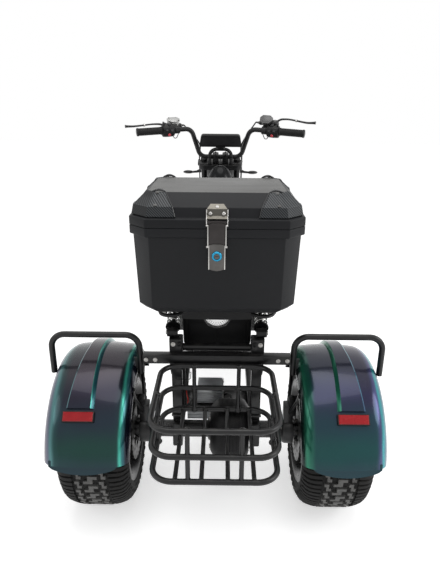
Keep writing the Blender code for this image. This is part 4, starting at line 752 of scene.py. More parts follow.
def treadStrip(mesh, outline, radius, half, lug):
    # a bar laid over the curved shoulder, split along its length
    count = len(outline) // 2
    near, far = outline[:count], outline[count:][::-1]

    def at(x, s, lift):
        r = carcassRadius(x, half, radius) + lift
        return (x, r * math.sin(s / radius), -r * math.cos(s / radius))
    rows = []
    for (xa, sa), (xb, sb) in zip(near, far):
        rows.append([at(xa, sa, -lug), at(xa, sa + 0.0006, -0.0008), at(xb, sb - 0.0006, -0.0008),
                     at(xb, sb, -lug)])
    skin(mesh, rows)


rearGrooves = {"centre": [(-0.036, 1, 0.021), (0.0, -1, 0.043), (0.036, 1, 0.021)], "shoulder": 0.50}
frontGrooves = {"centre": [(-0.0125, 1, 0.021), (0.0125, -1, 0.021)], "shoulder": 0.50}

# Cast wheel: barrel with lips, ten spokes in five pairs, hub with cap, valve and drilled disc
wheelShape = {"seat": 0.1524, "lip": 0.0145, "spokes": 5, "disc": 0.100, "holes": 24}


def castWheel(name, half, discX, hubIn, hubOut, spokeX, body, node, place, side):
    s = wheelShape
    seat, drop = s["seat"], s["seat"] - 0.018
    mesh = bmesh.new()
    outer = [(half + 0.0065, seat - 0.003), (half + 0.0065, seat + s["lip"] - 0.003), (half + 0.005,
                                                            seat + s["lip"]),
             (half + 0.002, seat + s["lip"]), (half + 0.001, seat + 0.002), (half - 0.014, seat),
             (half * 0.62, drop)]
    inner = [(half + 0.003, seat - 0.008), (half * 0.7, drop - 0.006)]
    ring = outer + [(-x, r) for x, r in outer[::-1]] + [(-x, r) for x, r in inner] + [(x, r) for x,
                                                            r in inner[::-1]]
    spin(mesh, ring, steps=96, closed=True)
    hub = [(hubIn, 0.012), (hubIn, 0.024), (discX + 0.004, 0.026), (discX + 0.010, 0.046), (spokeX - 0.01,
                                                            0.040),
           (spokeX + 0.012, 0.040), (hubOut - 0.006, 0.033), (hubOut, 0.026), (hubOut, 0.004)]
    spin(mesh, hub, steps=40)
    for i in range(s["spokes"]):
        for lean in (-1, 1):    # paired spokes that part toward the rim
            turn = Matrix.Rotation(2 * math.pi * i / s["spokes"], 4, "X")
            rings = []
            for reach, away, wide, thick in ((0.030, 0.011, 0.011, 0.013), (0.060, 0.014, 0.0085, 0.011),
                                             (0.100, 0.020, 0.008, 0.0095), (drop - 0.002, 0.030, 0.014,
                                                            0.009)):
                y, rim = lean * away, []
                for a, b in ((-1, -0.6), (-0.6, -1), (0.6, -1), (1, -0.6), (1, 0.6), (0.6, 1), (-0.6, 1),
                             (-1, 0.6)):
                    dish = spokeX + (0.006 if reach > 0.1 else 0.0)
                    rim.append(turn @ Vector((dish + thick * a, y + wide * b * 0.8, reach)))
                rings.append(rim)
            skin(mesh, rings)
    sweep(mesh, [(half * 0.4, 0, drop + 0.002), (half * 0.4, 0, drop - 0.03)], 0.0035, 10)
    mirrored(mesh, side)
    newPiece(name + "Wheel", mesh, body, rimPaint, place=place, replaced=[node])

    mesh = bmesh.new()    # brake disc with holes, its carrier and hub bolts
    holes, rOut, rIn = s["holes"], s["disc"], 0.058
    for k in range(holes):
        a0, a1 = 2 * math.pi * k / holes, 2 * math.pi * (k + 1) / holes
        mid, step = (a0 + a1) / 2, (a1 - a0)
        r = rIn + 0.012 + 0.020 * ((k * 7) % 3) / 2
        hole = [(r + 0.0042 * math.cos(t), mid + 0.0042 * math.sin(t) / r) for t in
                [2 * math.pi * j / 12 for j in range(12)]]
        edge = []
        for j in range(12):
            t = 2 * math.pi * j / 12
            cx, cy = math.cos(t), math.sin(t)
            scale = 1 / max(abs(cx), abs(cy))
            edge.append(((rIn + rOut) / 2 + cx * scale * (rOut - rIn) / 2, mid + cy * scale * step / 2))
        faces = []
        for face in (-0.002, 0.002):
            faces.append([[mesh.verts.new((discX + face, rr * math.sin(aa), rr * math.cos(aa))) for rr,
                           aa in loop]
                          for loop in (hole, edge)])
        for j in range(12):
            n = (j + 1) % 12
            for f in faces:
                mesh.faces.new((f[0][j], f[0][n], f[1][n], f[1][j]))
            mesh.faces.new((faces[0][0][j], faces[0][0][n], faces[1][0][n], faces[1][0][j]))
            mesh.faces.new((faces[0][1][j], faces[0][1][n], faces[1][1][n], faces[1][1][j]))
    for k in range(5):
        a = 2 * math.pi * k / 5
        boltHead(mesh, (discX - 0.002, 0.035 * math.sin(a), 0.035 * math.cos(a)), (-1, 0, 0), 0.0045)
        boltHead(mesh, (hubOut - 0.002, 0.020 * math.sin(a), 0.020 * math.cos(a)), (1, 0, 0), 0.0042)
        arm = [(0.030, -0.006), (0.060, -0.010), (0.060, 0.010), (0.030, 0.006)]
        turn = Matrix.Rotation(a, 4, "X")
        slabOf(mesh, [(y, z) for z, y in arm], discX - 0.0015, discX + 0.0015, "X", turn=turn)
    mirrored(mesh, side)
    newPiece(name + "Disc", mesh, body, darkSteel, place=place)


rearHubIn = 0.2503 - rearAxle.x
for side, word in ((-1, "left"), (1, "right")):
    place = Matrix.Translation(jointAt["rear_wheel_%s_spin" % word])
    tyre("rear" + word.title(), tyreShape["rear"], place, "rear_wheel_" + word, "rear_tyre_" + word,
         rearGrooves)
    castWheel("rear" + word.title(), 0.095, rearHubIn + 0.014, rearHubIn, 0.05, 0.022, "rear_wheel_" + word,
              "rear_rim_" + word, place, side)
tyre("front", tyreShape["front"], frontWheelFrame, "front_wheel", "front_tyre", frontGrooves)
castWheel("front", 0.040, -0.049, -0.0602, 0.0602, 0.0, "front_wheel", "front_rim", frontWheelFrame, -1)
print("wheels made")
# Top case: tub, lid, corner guards and the draw latch. Heights are from the ground, y from the case's middle.
caseShape = {"halfWidth": 0.2255, "halfDepth": 0.197, "corner": 0.045, "low": 0.722, "seam": 0.960,
             "wall": 0.004, "softEdge": 0.0018}


def softenEdges(mesh, offset, least=12, segments=3):
    bmesh.ops.recalc_face_normals(mesh, faces=mesh.faces)
    edges = [e for e in mesh.edges if len(e.link_faces) == 2 and e.calc_face_angle(0) > math.radians(least)]
    bmesh.ops.bevel(mesh, geom=edges, offset=offset, segments=segments, profile=0.5, affect="EDGES",
                    clamp_overlap=True)


def caseRing(insetX, insetY, corner, z):
    # plan of the case with its four cut corners
    w, d = caseShape["halfWidth"] - insetX, caseShape["halfDepth"] - insetY
    c = caseShape["corner"] + corner
    plan = [(w, -d + c), (w, d - c), (w - c, d), (-w + c, d), (-w, d - c), (-w, -d + c), (-w + c, -d),
            (w - c, -d)]
    return [(x, y, z) for x, y in plan]


def caseTub():
    mesh = bmesh.new()
    low, seam = caseShape["low"], caseShape["seam"]
    skin(mesh, [caseRing(*level) for level in (
        (0.031, 0.035, -0.008, low), (0.0150, 0.0172, -0.005, low + 0.019), (0.008, 0.007, 0, seam - 0.025),
        (0, 0, 0, seam - 0.0225), (0, 0, 0, seam - 0.0004), (0.0045, 0.0045, -0.001, seam - 0.0004),
        (0.012, 0.011, -0.002, seam - 0.032), (0.0190, 0.0212, -0.006, low + 0.023),
        (0.035, 0.039, -0.010, low + 0.004))])
    softenEdges(mesh, caseShape["softEdge"])
    for i in range(9):
        x = -0.16 + 0.04 * i
        block(mesh, (x - 0.002, -0.13, low + 0.0035), (x + 0.002, 0.13, low + 0.0065), bevel=0.001)
    newPiece("caseTub", mesh, "chassis", casePlastic, replaced=("case_base",), sharp=50)

    mesh = bmesh.new()
    for side in (-1, 1):
        x = side * 0.11
        spin(mesh, [(x - 0.011, 0.0026), (x + 0.011, 0.0026)], (0, 0.2, seam), "X", 16)
        block(mesh, (x - 0.011, 0.1971, seam - 0.021), (x + 0.011, 0.1986, seam - 0.0005), bevel=0.0005)
        for dx in (-0.006, 0.006):
            boltHead(mesh, (x + dx, 0.1986, seam - 0.013), (0, 1, 0), 0.0022, 0.0016, "rivet")
    newPiece("caseHingeLeaves", mesh, "chassis", darkSteel)


def caseLid():
    mesh = bmesh.new()
    seam = caseShape["seam"] + 0.0004
    skin(mesh, [caseRing(*level) for level in (
        (0.0495, 0.070, -0.021, seam + 0.0755), (0.0190, 0.0170, -0.004, seam + 0.0480),
        (0.0140, 0.0120, -0.003, seam + 0.024), (0.0045, 0.0045, -0.001, seam), (0, 0, 0, seam),
        (0, 0, 0, seam + 0.0220), (0.0095, 0.0075, -0.002, seam + 0.0255), (0.0145, 0.0125, -0.003,
                                                            seam + 0.0505),
        (0.0450, 0.066, -0.020, seam + 0.0794))])
    softenEdges(mesh, caseShape["softEdge"])
    newPiece("caseLid", mesh, "case_lid", lidPlastic, replaced=("case_lid",), sharp=50)

    mesh = bmesh.new()
    sweep(mesh, [(x, y, z + 0.0003) for x, y, z in caseRing(0.0036, 0.0036, -0.001, seam)], 0.0013, 6,
          closed=True)
    newPiece("lidSeal", mesh, "case_lid", gripRubber)

    mesh = bmesh.new()
    for side in (-1, 1):
        for edge in (-1, 1):
            x = side * 0.11 + edge * 0.0165
            spin(mesh, [(x - 0.0053, 0.0026), (x + 0.0053, 0.0026)], (0, 0.2, seam - 0.0004), "X", 16)
        x = side * 0.11
        block(mesh, (x - 0.0218, 0.1971, seam + 0.003), (x + 0.0218, 0.1986, seam + 0.020), bevel=0.0005)
        for dx in (-0.014, 0.014):
            boltHead(mesh, (x + dx, 0.1986, seam + 0.012), (0, 1, 0), 0.0022, 0.0016, "rivet")
    newPiece("lidHingeLeaves", mesh, "case_lid", darkSteel)


def twillFinish(name, pitch):
    # slanted weave lines, crossed where the film turns onto the corner facet; painted shade dims the weave
    # where the film faces left
    material = bpy.data.materials.new(name)
    shader, add, link = nodeTools(material)
    split = add("ShaderNodeSeparateXYZ")
    link(add("ShaderNodeTexCoord").outputs["Object"], split.inputs["Vector"])
    turn = 2 * math.pi / pitch

    def wave(slant):
        along = maths(add, link, "ADD", split.outputs["X"], maths(add, link, "MULTIPLY", split.outputs["Z"],
                                                            slant))
        return maths(add, link, "SINE", maths(add, link, "MULTIPLY", along, turn))
    tilt = add("ShaderNodeSeparateXYZ")
    link(add("ShaderNodeNewGeometry").outputs["Normal"], tilt.inputs["Vector"])
    sideways = rangeOf(add, link, maths(add, link, "ABSOLUTE", tilt.outputs["X"]), 0.35, 0.55)
    second = maths(add, link, "MULTIPLY", wave(-1.0), sideways)
    weave = rangeOf(add, link, maths(add, link, "ADD", wave(1.0), second), -0.2, 1.0)
    # painted shade: the weave's pale lines fade to a tenth where the film faces left
    shade = rangeOf(add, link, tilt.outputs["X"], -0.42, -0.22, 0.10, 1.0)
    link(blendColour(add, link, maths(add, link, "MULTIPLY", weave, shade), (0.006, 0.0068, 0.0078), (0.075,
                                                            0.082, 0.088)),
         shader.inputs["Base Color"])
    link(rangeOf(add, link, weave, 0.0, 1.0, 0.42, 0.30), shader.inputs["Roughness"])
    shader.inputs["Specular IOR Level"].default_value = 0.2
    bump = add("ShaderNodeBump", Strength=0.35)
    bump.inputs["Distance"].default_value = 0.0004
    link(weave, bump.inputs["Height"])
    link(bump.outputs["Normal"], shader.inputs["Normal"])
    return material


guardShape = {"reach": 0.1205, "slant": 0.027, "wrap": 0.072, "skin": 0.003, "pitch": 0.0064}
lidLevels = ((0.0262, 0.0096, 0.0076, -0.002), (0.0400, 0.0124, 0.0104, -0.0026), (0.0505, 0.0145, 0.0125,
                                                            -0.003),
             (0.0600, 0.0245, 0.0301, -0.0086), (0.0725, 0.0377, 0.0532, -0.0159), (0.0788, 0.0444, 0.0649,
                                                            -0.0196))


def guardPlan(height, grow):
    # points round the corner at one height above the seam: slope, facet, side
    for (low, xa, ya, ca), (high, xb, yb, cb) in zip(lidLevels, lidLevels[1:]):
        if height <= high:
            break
    t = (height - low) / (high - low)
    w = caseShape["halfWidth"] - (xa + (xb - xa) * t) + grow
    d = caseShape["halfDepth"] - (ya + (yb - ya) * t) + grow
    c = caseShape["corner"] + ca + (cb - ca) * t
    lean = 0.22 * min(1.0, max(0.0, (height - 0.026) / 0.0245)) + 0.78 * max(0.0, (height - 0.0505) / 0.0283)
    start = caseShape["halfWidth"] - guardShape["reach"] + guardShape["slant"] * lean
    end = -d + c + max(0.004, guardShape["wrap"] - c - 0.9 * max(0, height - 0.048))
    z = caseShape["seam"] + height + grow * 0.8
    points = [(start + (w - c - start) * k / 6, -d, z) for k in range(6)]
    points += [(w - c + c * k / 4, -d + c * k / 4, z) for k in range(5)]
    return points + [(w, -d + c + (end + d - c) * k / 3, z) for k in range(1, 4)]


def cornerGuard(side, back, replaced):
    name = ("left" if side < 0 else "right") + ("Rear" if back > 0 else "Front")

    def placed(point):
        return (side * point[0], back * point[1], point[2])
    mesh = bmesh.new()
    heights = ((0.0262, 0.0), (0.0400, 0.0), (0.0500, 0.0), (0.0510, -0.0011), (0.0560, -0.0011),
               (0.0640, -0.0011), (0.0725, -0.0011), (0.0760, 0.0), (0.0788, 0.0))
    outside = [guardPlan(h, guardShape["skin"] + extra) for h, extra in heights]
    inside = [guardPlan(h, 0.0006) for h, _ in heights]
    outer = [[mesh.verts.new(placed(p)) for p in row] for row in outside]
    inner = [[mesh.verts.new(placed(p)) for p in row] for row in inside]
    rows, columns = len(outer), len(outer[0])
    for i in range(rows - 1):
        for k in range(columns - 1):
            mesh.faces.new((outer[i][k], outer[i][k + 1], outer[i + 1][k + 1], outer[i + 1][k]))
            mesh.faces.new((inner[i][k], inner[i + 1][k], inner[i + 1][k + 1], inner[i][k + 1]))
        for k in (0, columns - 1):
            mesh.faces.new((outer[i][k], outer[i + 1][k], inner[i + 1][k], inner[i][k]))
    for i in (0, rows - 1):
        for k in range(columns - 1):
            mesh.faces.new((outer[i][k], inner[i][k], inner[i][k + 1], outer[i][k + 1]))
    newPiece(name + "GuardFilm", mesh, "case_lid", guardTwill, replaced=replaced, sharp=25)

    mesh = bmesh.new()
    edge = [placed(guardPlan(h, guardShape["skin"])[0]) for h in (0.0262, 0.034, 0.043, 0.0505, 0.058,
                                                            0.068, 0.0788)]
    sweep(mesh, edge, 0.0014, 8)
    crest = guardPlan(0.0788, guardShape["skin"] + 0.0004)
    arch = []
    for k, point in enumerate(crest[:8]):
        swell = math.sin(math.pi * k / 7)
        arch.append(placed((point[0], point[1] + 0.004 * swell, point[2] + 0.0045 * swell)))
    sweep(mesh, arch, [0.0014, 0.0022, 0.003, 0.0034, 0.0034, 0.003, 0.0024, 0.0018], 8)
    newPiece(name + "GuardBorder", mesh, "case_lid", guardBorder)

    mesh = bmesh.new()
    for share, height in ((0.26, 0.0765), (0.30, 0.0530)):
        row = guardPlan(height, guardShape["skin"])
        point = Vector(row[6]) + (Vector(row[0]) - Vector(row[6])) * share
        boltHead(mesh, placed(point), (0, -0.55 * back, 0.83), 0.0028, 0.002, "round")
    newPiece(name + "GuardScrews", mesh, "case_lid", darkSteel)


def latchPlate():
    # folded plate on the lid's slope with two side wires down to the strap
    mesh = bmesh.new()
    d, seam = caseShape["halfDepth"], caseShape["seam"]
    profile = [(-d - 0.0020, seam + 0.0245), (-d + 0.0055, seam + 0.0300), (-d + 0.0095, seam + 0.0465),
               (-d + 0.0235, seam + 0.0570)]
    widths = [0.0258, 0.0258, 0.0258, 0.0165]
    rings = []
    for (y, z), half in zip(profile, widths):
        rings.append([(-half, y, z), (half, y, z), (half, y - 0.0012, z + 0.0022), (-half, y - 0.0012,
                                                            z + 0.0022)])
    skin(mesh, rings)
    softenEdges(mesh, 0.0004, least=25, segments=2)
    newPiece("latchPlate", mesh, "case_lid", latchBeige, replaced=("case_latch",), sharp=20)

    mesh = bmesh.new()
    for x, y, z, normal in ((0, -d + 0.0145, seam + 0.0528, (0, -0.6, 0.8)),
                            (-0.0165, -d + 0.0046, seam + 0.0382, (0, -0.96, 0.25)),
                            (0.0165, -d + 0.0046, seam + 0.0382, (0, -0.96, 0.25))):
        fresh = bmesh.new()
        spin(fresh, [(0, 0.0042), (0.0012, 0.0042), (0.0022, 0.0030), (0.0022, 0.0018), (0.0009, 0.0014)],
             axis="Z", steps=24)
        addMesh(mesh, fresh, facing((x, y, z), normal))
    for side in (-1, 1):
        x = side * 0.0262
        sweep(mesh, softPath([(x, -d + 0.0080, seam + 0.047), (x, -d + 0.0020, seam + 0.033),
                              (x, -d - 0.0055, seam + 0.022), (x * 0.985, -d - 0.0085, seam + 0.011)], 4),
              0.0012, 8)
        spin(mesh, [(side * 0.0225, 0.0022), (side * 0.0272, 0.0022)], (0, -d - 0.0085, seam + 0.0105), "X",
             14)
        spin(mesh, [(side * 0.0205, 0.0026), (side * 0.0262, 0.0026)], (0, -d - 0.0075, seam - 0.044), "X",
             14)
        spin(mesh, [(side * 0.0185, 0.0016), (side * 0.0216, 0.0016)], (0, -d - 0.0085, seam - 0.070), "X",
             12)
    newPiece("latchRivets", mesh, "case_lid", brightSteel)


def latchStrap():
    d, seam = caseShape["halfDepth"], caseShape["seam"]
    mesh = bmesh.new()
    outline = [(-0.0200, seam - 0.047), (0.0200, seam - 0.047), (0.0200, seam + 0.013), (0.012,
                                                            seam + 0.0165),
               (-0.012, seam + 0.0165), (-0.0200, seam + 0.013)]
    slabOf(mesh, outline, -d - 0.0088, -d - 0.0058, "Y", bevel=0.0005)
    block(mesh, (-0.0235, -d - 0.0052, seam + 0.012), (0.0235, -d - 0.0012, seam + 0.0215), bevel=0.001)
    newPiece("latchStrap", mesh, "case_lid", latchBrown)
    mesh = bmesh.new()
    for side in (-1, 1):
        block(mesh, (side * 0.0225 - 0.0014, -d - 0.0096, seam - 0.042), (side * 0.0225 + 0.0014,
                                                            -d - 0.0044, seam + 0.0125),
              bevel=0.0005)
        block(mesh, (side * 0.0200 - 0.0013, -d - 0.0116, seam - 0.1015), (side * 0.0200 + 0.0013,
                                                            -d - 0.0062, seam - 0.039),
              bevel=0.0005)
    newPiece("latchFlanges", mesh, "case_lid", brightSteel)
    mesh = bmesh.new()
    face = [(-0.0186, seam - 0.1015), (-0.009, seam - 0.1045), (0, seam - 0.1062), (0.009, seam - 0.1045),
            (0.0186, seam - 0.1015), (0.0186, seam - 0.0385), (0.010, seam - 0.036), (-0.010, seam - 0.036),
            (-0.0186, seam - 0.0385)]
    slabOf(mesh, face, -d - 0.0108, -d - 0.0082, "Y", bevel=0.0004)
    newPiece("latchLever", mesh, "case_lid", latchGrey)


def latchLock():
    d, seam = caseShape["halfDepth"], caseShape["seam"]
    middle = (0, -d - 0.0112, seam - 0.0665)
    mesh = bmesh.new()
    spin(mesh, [(0.0002, 0.0132), (-0.0022, 0.0132), (-0.0042, 0.0118), (-0.0050, 0.0098), (-0.0044, 0.0078),
                (-0.0022, 0.0070)], middle, "Y", 40)
    newPiece("lockRing", mesh, "case_lid", blueMetal, replaced=("latch_lock",), sharp=50)
    mesh = bmesh.new()
    spin(mesh, [(-0.0015, 0.0069), (-0.0034, 0.0069), (-0.0038, 0.0062)], middle, "Y", 28)
    newPiece("lockBarrel", mesh, "case_lid", latchGrey, sharp=50)
    mesh = bmesh.new()
    block(mesh, (-0.0040, middle[1] - 0.0042, middle[2] - 0.0007), (0.0040, middle[1] - 0.0037,
                                                            middle[2] + 0.0007))
    newPiece("lockKeyhole", mesh, "case_lid", blackPlastic)


# painted sheen: the lid's top faces get a lighter, streaked tone
lidPlastic = surface("lidPlastic", {"colour": (0.0085, 0.0090, 0.0104), "second": (0.0112, 0.0116, 0.0130),
                                    "rough": (0.42, 0.54), "grain": 1500.0, "bump": 0.35, "depth": 0.00025,
                                    "specular": 0.15, "topSheen": (0.085, 0.085, 0.083), "sheenFrom": (0.962,
                                                            0.985),
                                    "patch": 5.0})
guardTwill = twillFinish("guardTwill", guardShape["pitch"])
guardBorder = surface("guardBorder", {"colour": (0.010, 0.010, 0.011), "rough": (0.16, 0.26), "grain": 300.0,
                                      "bump": 0.05, "specular": 0.5})
# painted highlight: the plate gets a lighter tone where it faces up
latchBeige = surface("latchBeige", {"colour": (0.085, 0.080, 0.070), "second": (0.068, 0.064, 0.056),
                                    "metal": 0.8,
                                    "rough": (0.32, 0.46), "grain": 600.0, "bump": 0.08, "patch": 40.0,
                                    "topSheen": (0.105, 0.098, 0.084), "sheenFrom": (0.45, 0.60)})
latchBrown = surface("latchBrown", {"colour": (0.026, 0.022, 0.0215), "second": (0.036, 0.031, 0.030),
                                    "metal": 0.5,
                                    "rough": (0.38, 0.50), "grain": 700.0, "bump": 0.08, "patch": 40.0})
latchGrey = surface("latchGrey", {"colour": (0.085, 0.082, 0.078), "second": (0.115, 0.11, 0.106),
                                  "metal": 0.9,
                                  "rough": (0.34, 0.46), "grain": 700.0, "bump": 0.08, "patch": 40.0})
caseTub()
caseLid()
for guardSide, guardNode in ((-1, "lid_guard_left"), (1, "lid_guard_right")):
    cornerGuard(guardSide, 1, (guardNode,))
    cornerGuard(guardSide, -1, ())
latchPlate()
latchStrap()
latchLock()
print("case, guards and latch made")
# Under and behind the case: carrier, lamp, panel, shocks, subframe, axle with motor, controllers
def caseCarrier():
    mesh = bmesh.new()
    for side in (-1, 1):
        loop = roundRect(0.030, 0.140, 0.0285, 7, (side * 0.13, 0.01))
        sweep(mesh, [(x, y, 0.698) for x, y in loop], 0.0052, 14, closed=True)
        for y in (0.0, 0.12):
            block(mesh, (side * 0.085 - 0.013, y - 0.012, 0.6748), (side * 0.085 + 0.013, y + 0.012, 0.704),
                  bevel=0.003)
    newPiece("carrierLoops", mesh, "chassis", framePaint, replaced=("case_rack",))

    mesh = bmesh.new()
    slabOf(mesh, roundRect(0.134, 0.109, 0.03, 5, (0, 0.03)), 0.7040, 0.7110, "Z", bevel=0.0018)
    slabOf(mesh, roundRect(0.118, 0.094, 0.03, 5, (0, 0.03)), 0.7105, 0.7215, "Z", bevel=0.0018)
    for i in range(5):
        x = -0.08 + 0.04 * i
        block(mesh, (x - 0.002, -0.077, 0.6995), (x + 0.002, 0.135, 0.7045), bevel=0.0008)
    # hanging hood that shades the upper half of the lamp
    arc = [(0.1045 * math.sin(math.radians(a)), 0.6560 - 0.0035 * math.cos(math.radians(a)))
           for a in range(-84, 85, 12)]
    hood = [(-0.1045, 0.7035), (-0.1045, 0.668)] + arc + [(0.1045, 0.668), (0.1045, 0.7035)]
    slabOf(mesh, hood, -0.0520, -0.0485, "Y", bevel=0.0008)
    newPiece("carrierPlate", mesh, "chassis", blackPlastic)
    mesh = bmesh.new()
    for x in (-0.1, -0.04, 0.04, 0.1):
        boltHead(mesh, (x, -0.079, 0.7075), (0, -1, 0), 0.0034, 0.0026, "round")
        boltHead(mesh, (x, 0.045, 0.7038), (0, 0, -1), 0.005, 0.004)
    newPiece("carrierBolts", mesh, "chassis", darkSteel)


lampShape = {"z": 0.655, "radius": 0.0460, "rear": -0.0196, "front": 0.0445}


def tailLight():
    z, r = lampShape["z"], lampShape["radius"]
    rear, front = lampShape["rear"], lampShape["front"]
    mesh = bmesh.new()
    spin(mesh, [(front, r * 0.64), (front - 0.018, r * 0.76), (rear + 0.018, r), (rear + 0.005, r),
                (rear + 0.0035, r - 0.0015), (rear + 0.0035, r - 0.0055), (rear + 0.012, r - 0.0065),
                (rear + 0.0125, 0.004)], (0, 0, z), "Y", 56)
    newPiece("lampShell", mesh, "chassis", glossCowl, replaced=("tail_lamp",), sharp=40)
    # lamp reflector, white with a painted glint that glows
    mesh = bmesh.new()
    spin(mesh, [(rear + 0.0120, r - 0.0070), (rear + 0.0085, r - 0.0070), (rear + 0.0095, r - 0.018),
                (rear + 0.0100, 0.001)], (0, 0, z), "Y", 56)
    newPiece("lampReflector", mesh, "chassis", lampWhiteGlint, sharp=40)
    mesh = bmesh.new()
    for ring, count in ((r - 0.0105, 34), (r - 0.0155, 28)):
        for i in range(count):
            angle = 2 * math.pi * (i + 0.5) / count
            fresh = bmesh.new()
            spin(fresh, [(0, 0.0011), (0.0009, 0.0011), (0.0013, 0.0004)], axis="Z", steps=8)
            place = (ring * math.cos(angle), rear + 0.0086, z + ring * math.sin(angle))
            addMesh(mesh, fresh, facing(place, (0, -1, 0)))
    newPiece("lampDots", mesh, "chassis", darkSteel)
    mesh = bmesh.new()
    profile = [(rear + 0.0048, r - 0.0052), (rear + 0.0022, r - 0.0056), (rear + 0.0006, r - 0.012),
               (rear, r - 0.022), (rear - 0.0002, 0.001)]
    spin(mesh, profile + [(a + 0.0014, b) for a, b in reversed(profile)], (0, 0, z), "Y", 56)
    newPiece("lampLens", mesh, "chassis", lampGlass, sharp=60)


def lampGlassFinish():
    material = bpy.data.materials.new("lampGlass")
    shader, add, link = nodeTools(material)
    coords = add("ShaderNodeTexCoord").outputs["Object"]
    haze = noiseAt(add, link, coords, 60.0, 4.0)
    link(rangeOf(add, link, haze, 0.3, 0.7, 0.02, 0.10), shader.inputs["Roughness"])
    shader.inputs["Base Color"].default_value = (0.95, 0.95, 0.95, 1)
    shader.inputs["Transmission Weight"].default_value = 1.0
    shader.inputs["IOR"].default_value = 1.25
    return material


def tailPanel():
    mesh = bmesh.new()
    outline = [(0.088, 0.511), (0.107, 0.530), (0.109, 0.600), (0.109, 0.6455), (0.067, 0.6455), (0.067,
                                                            0.6845)]
    outline = outline + [(-x, z) for x, z in reversed(outline)]
    slabOf(mesh, outline, 0.0465, 0.0945, "Y", bevel=0.003)
    for side in (-1, 1):
        block(mesh, (side * 0.098 - 0.003, 0.0452, 0.532), (side * 0.098 + 0.003, 0.049, 0.640), bevel=0.0012)
        block(mesh, (side * 0.045 - 0.0415, 0.0458, 0.528), (side * 0.045 + 0.0415, 0.049, 0.598),
              bevel=0.0014)
    newPiece("tailPanelShell", mesh, "chassis", panelBlack, replaced=("tail_panel",))
    mesh = bmesh.new()
    for x in (-0.042, -0.012, 0.012, 0.05):
        boltHead(mesh, (x, 0.0462, 0.5195), (0, -1, 0.2), 0.0042, 0.0035, "round")
    newPiece("tailPanelScrews", mesh, "chassis", brightSteel)


shockShape = {"low": (0.136, -0.015, 0.5948), "high": (0.136, 0.19, 0.665), "out": 0.0372, "turns": 8.5}


def shockAbsorber(side):
    name = "right" if side > 0 else "left"
    low, high = Vector(shockShape["low"]), Vector(shockShape["high"])
    axis = (high - low).normalized()
    length = (high - low).length
    across = Vector((1, 0, 0))
    up = axis.cross(across)

    def along(share, out=0.0):
        return low + axis * (length * share) + across * out
    mesh = bmesh.new()
    sweep(mesh, [along(0.06), along(0.60)], 0.0062, 16)
    sweep(mesh, [along(0.46), along(0.95)], 0.0125, 20)
    for start, end, radius in ((0.095, 0.118, 0.0228), (0.118, 0.130, 0.019), (0.83, 0.855, 0.0228), (0.80,
                                                            0.83, 0.019),
                               (0.62, 0.64, 0.0135)):
        sweep(mesh, [along(start), along(end)], radius, 24)
    for share in (0.0, 1.0):
        sweep(mesh, [along(share, -0.0155), along(share, 0.0155)], 0.0142, 22)
    sweep(mesh, [along(0.84), along(0.84, shockShape["out"])], 0.0095, 14)
    newPiece(name + "ShockBody", mirrored(mesh, side), "chassis", framePaint,
             replaced=("shock_" + name,))

    mesh = bmesh.new()
    coil, count = [], 200
    for i in range(count + 1):
        angle = 2 * math.pi * shockShape["turns"] * i / count
        centre = along(0.135 + 0.66 * i / count)
        coil.append(centre + (across * math.cos(angle) + up * math.sin(angle)) * 0.0182)
    sweep(mesh, coil, 0.0030, 8)
    newPiece(name + "ShockSpring", mirrored(mesh, side), "chassis", springSteel, sharp=60)

    mesh = bmesh.new()
    out = shockShape["out"]
    bottle = [(0.47, 0.0122), (0.475, 0.0132), (0.86, 0.0132), (0.875, 0.0118)]
    sweep(mesh, [along(s, out) for s, _ in bottle], [r for _, r in bottle], 26)
    newPiece(name + "ShockBottle", mirrored(mesh, side), "chassis", bottleSteel, sharp=50)
    mesh = bmesh.new()
    sweep(mesh, [along(0.425, out), along(0.432, out), along(0.478, out)], [0.0128, 0.0142, 0.0142], 24)
    sweep(mesh, [along(0.868, out), along(0.90, out)], [0.0136, 0.0128], 24)
    newPiece(name + "ShockCaps", mirrored(mesh, side), "chassis", blackPlastic)
    mesh = bmesh.new()
    boltHead(mesh, along(0.4265, out), -axis, 0.0062, 0.0045)
    boltHead(mesh, along(0.0, 0.0156), across, 0.0062, 0.0045)
    boltHead(mesh, along(1.0, 0.0156), across, 0.0062, 0.0045)
    newPiece(name + "ShockBolts", mirrored(mesh, side), "chassis", brightSteel)
    if side < 0:
        mesh = bmesh.new()
        rings = []
        for share in (0.55, 0.80):
            ring = []
            for radius, order in ((0.01365, range(9)), (0.0133, reversed(range(9)))):
                for k in order:
                    angle = math.radians(-50 + 95 * k / 8)
                    outward = across * math.cos(angle) + up * math.sin(angle)
                    ring.append(along(share, out) + outward * radius)
            rings.append(ring)
        skin(mesh, rings)
        newPiece("bottleLabel", mirrored(mesh, side), "chassis", labelGreen, sharp=20)


def squareTube(mesh, start, end, width, height, corner=0.004, lift=0.0):
    # straight square bar in the YZ plane with rounded edges
    start, end = Vector(start), Vector(end)
    along = (end - start).normalized()
    up = Vector((1, 0, 0)).cross(along).normalized()
    rings = []
    for point in (start, end):
        rings.append([point + Vector((x, 0, 0)) + up * (y + lift) for x, y in roundRect(width / 2,
                                                            height / 2, corner, 3)])
    skin(mesh, rings)


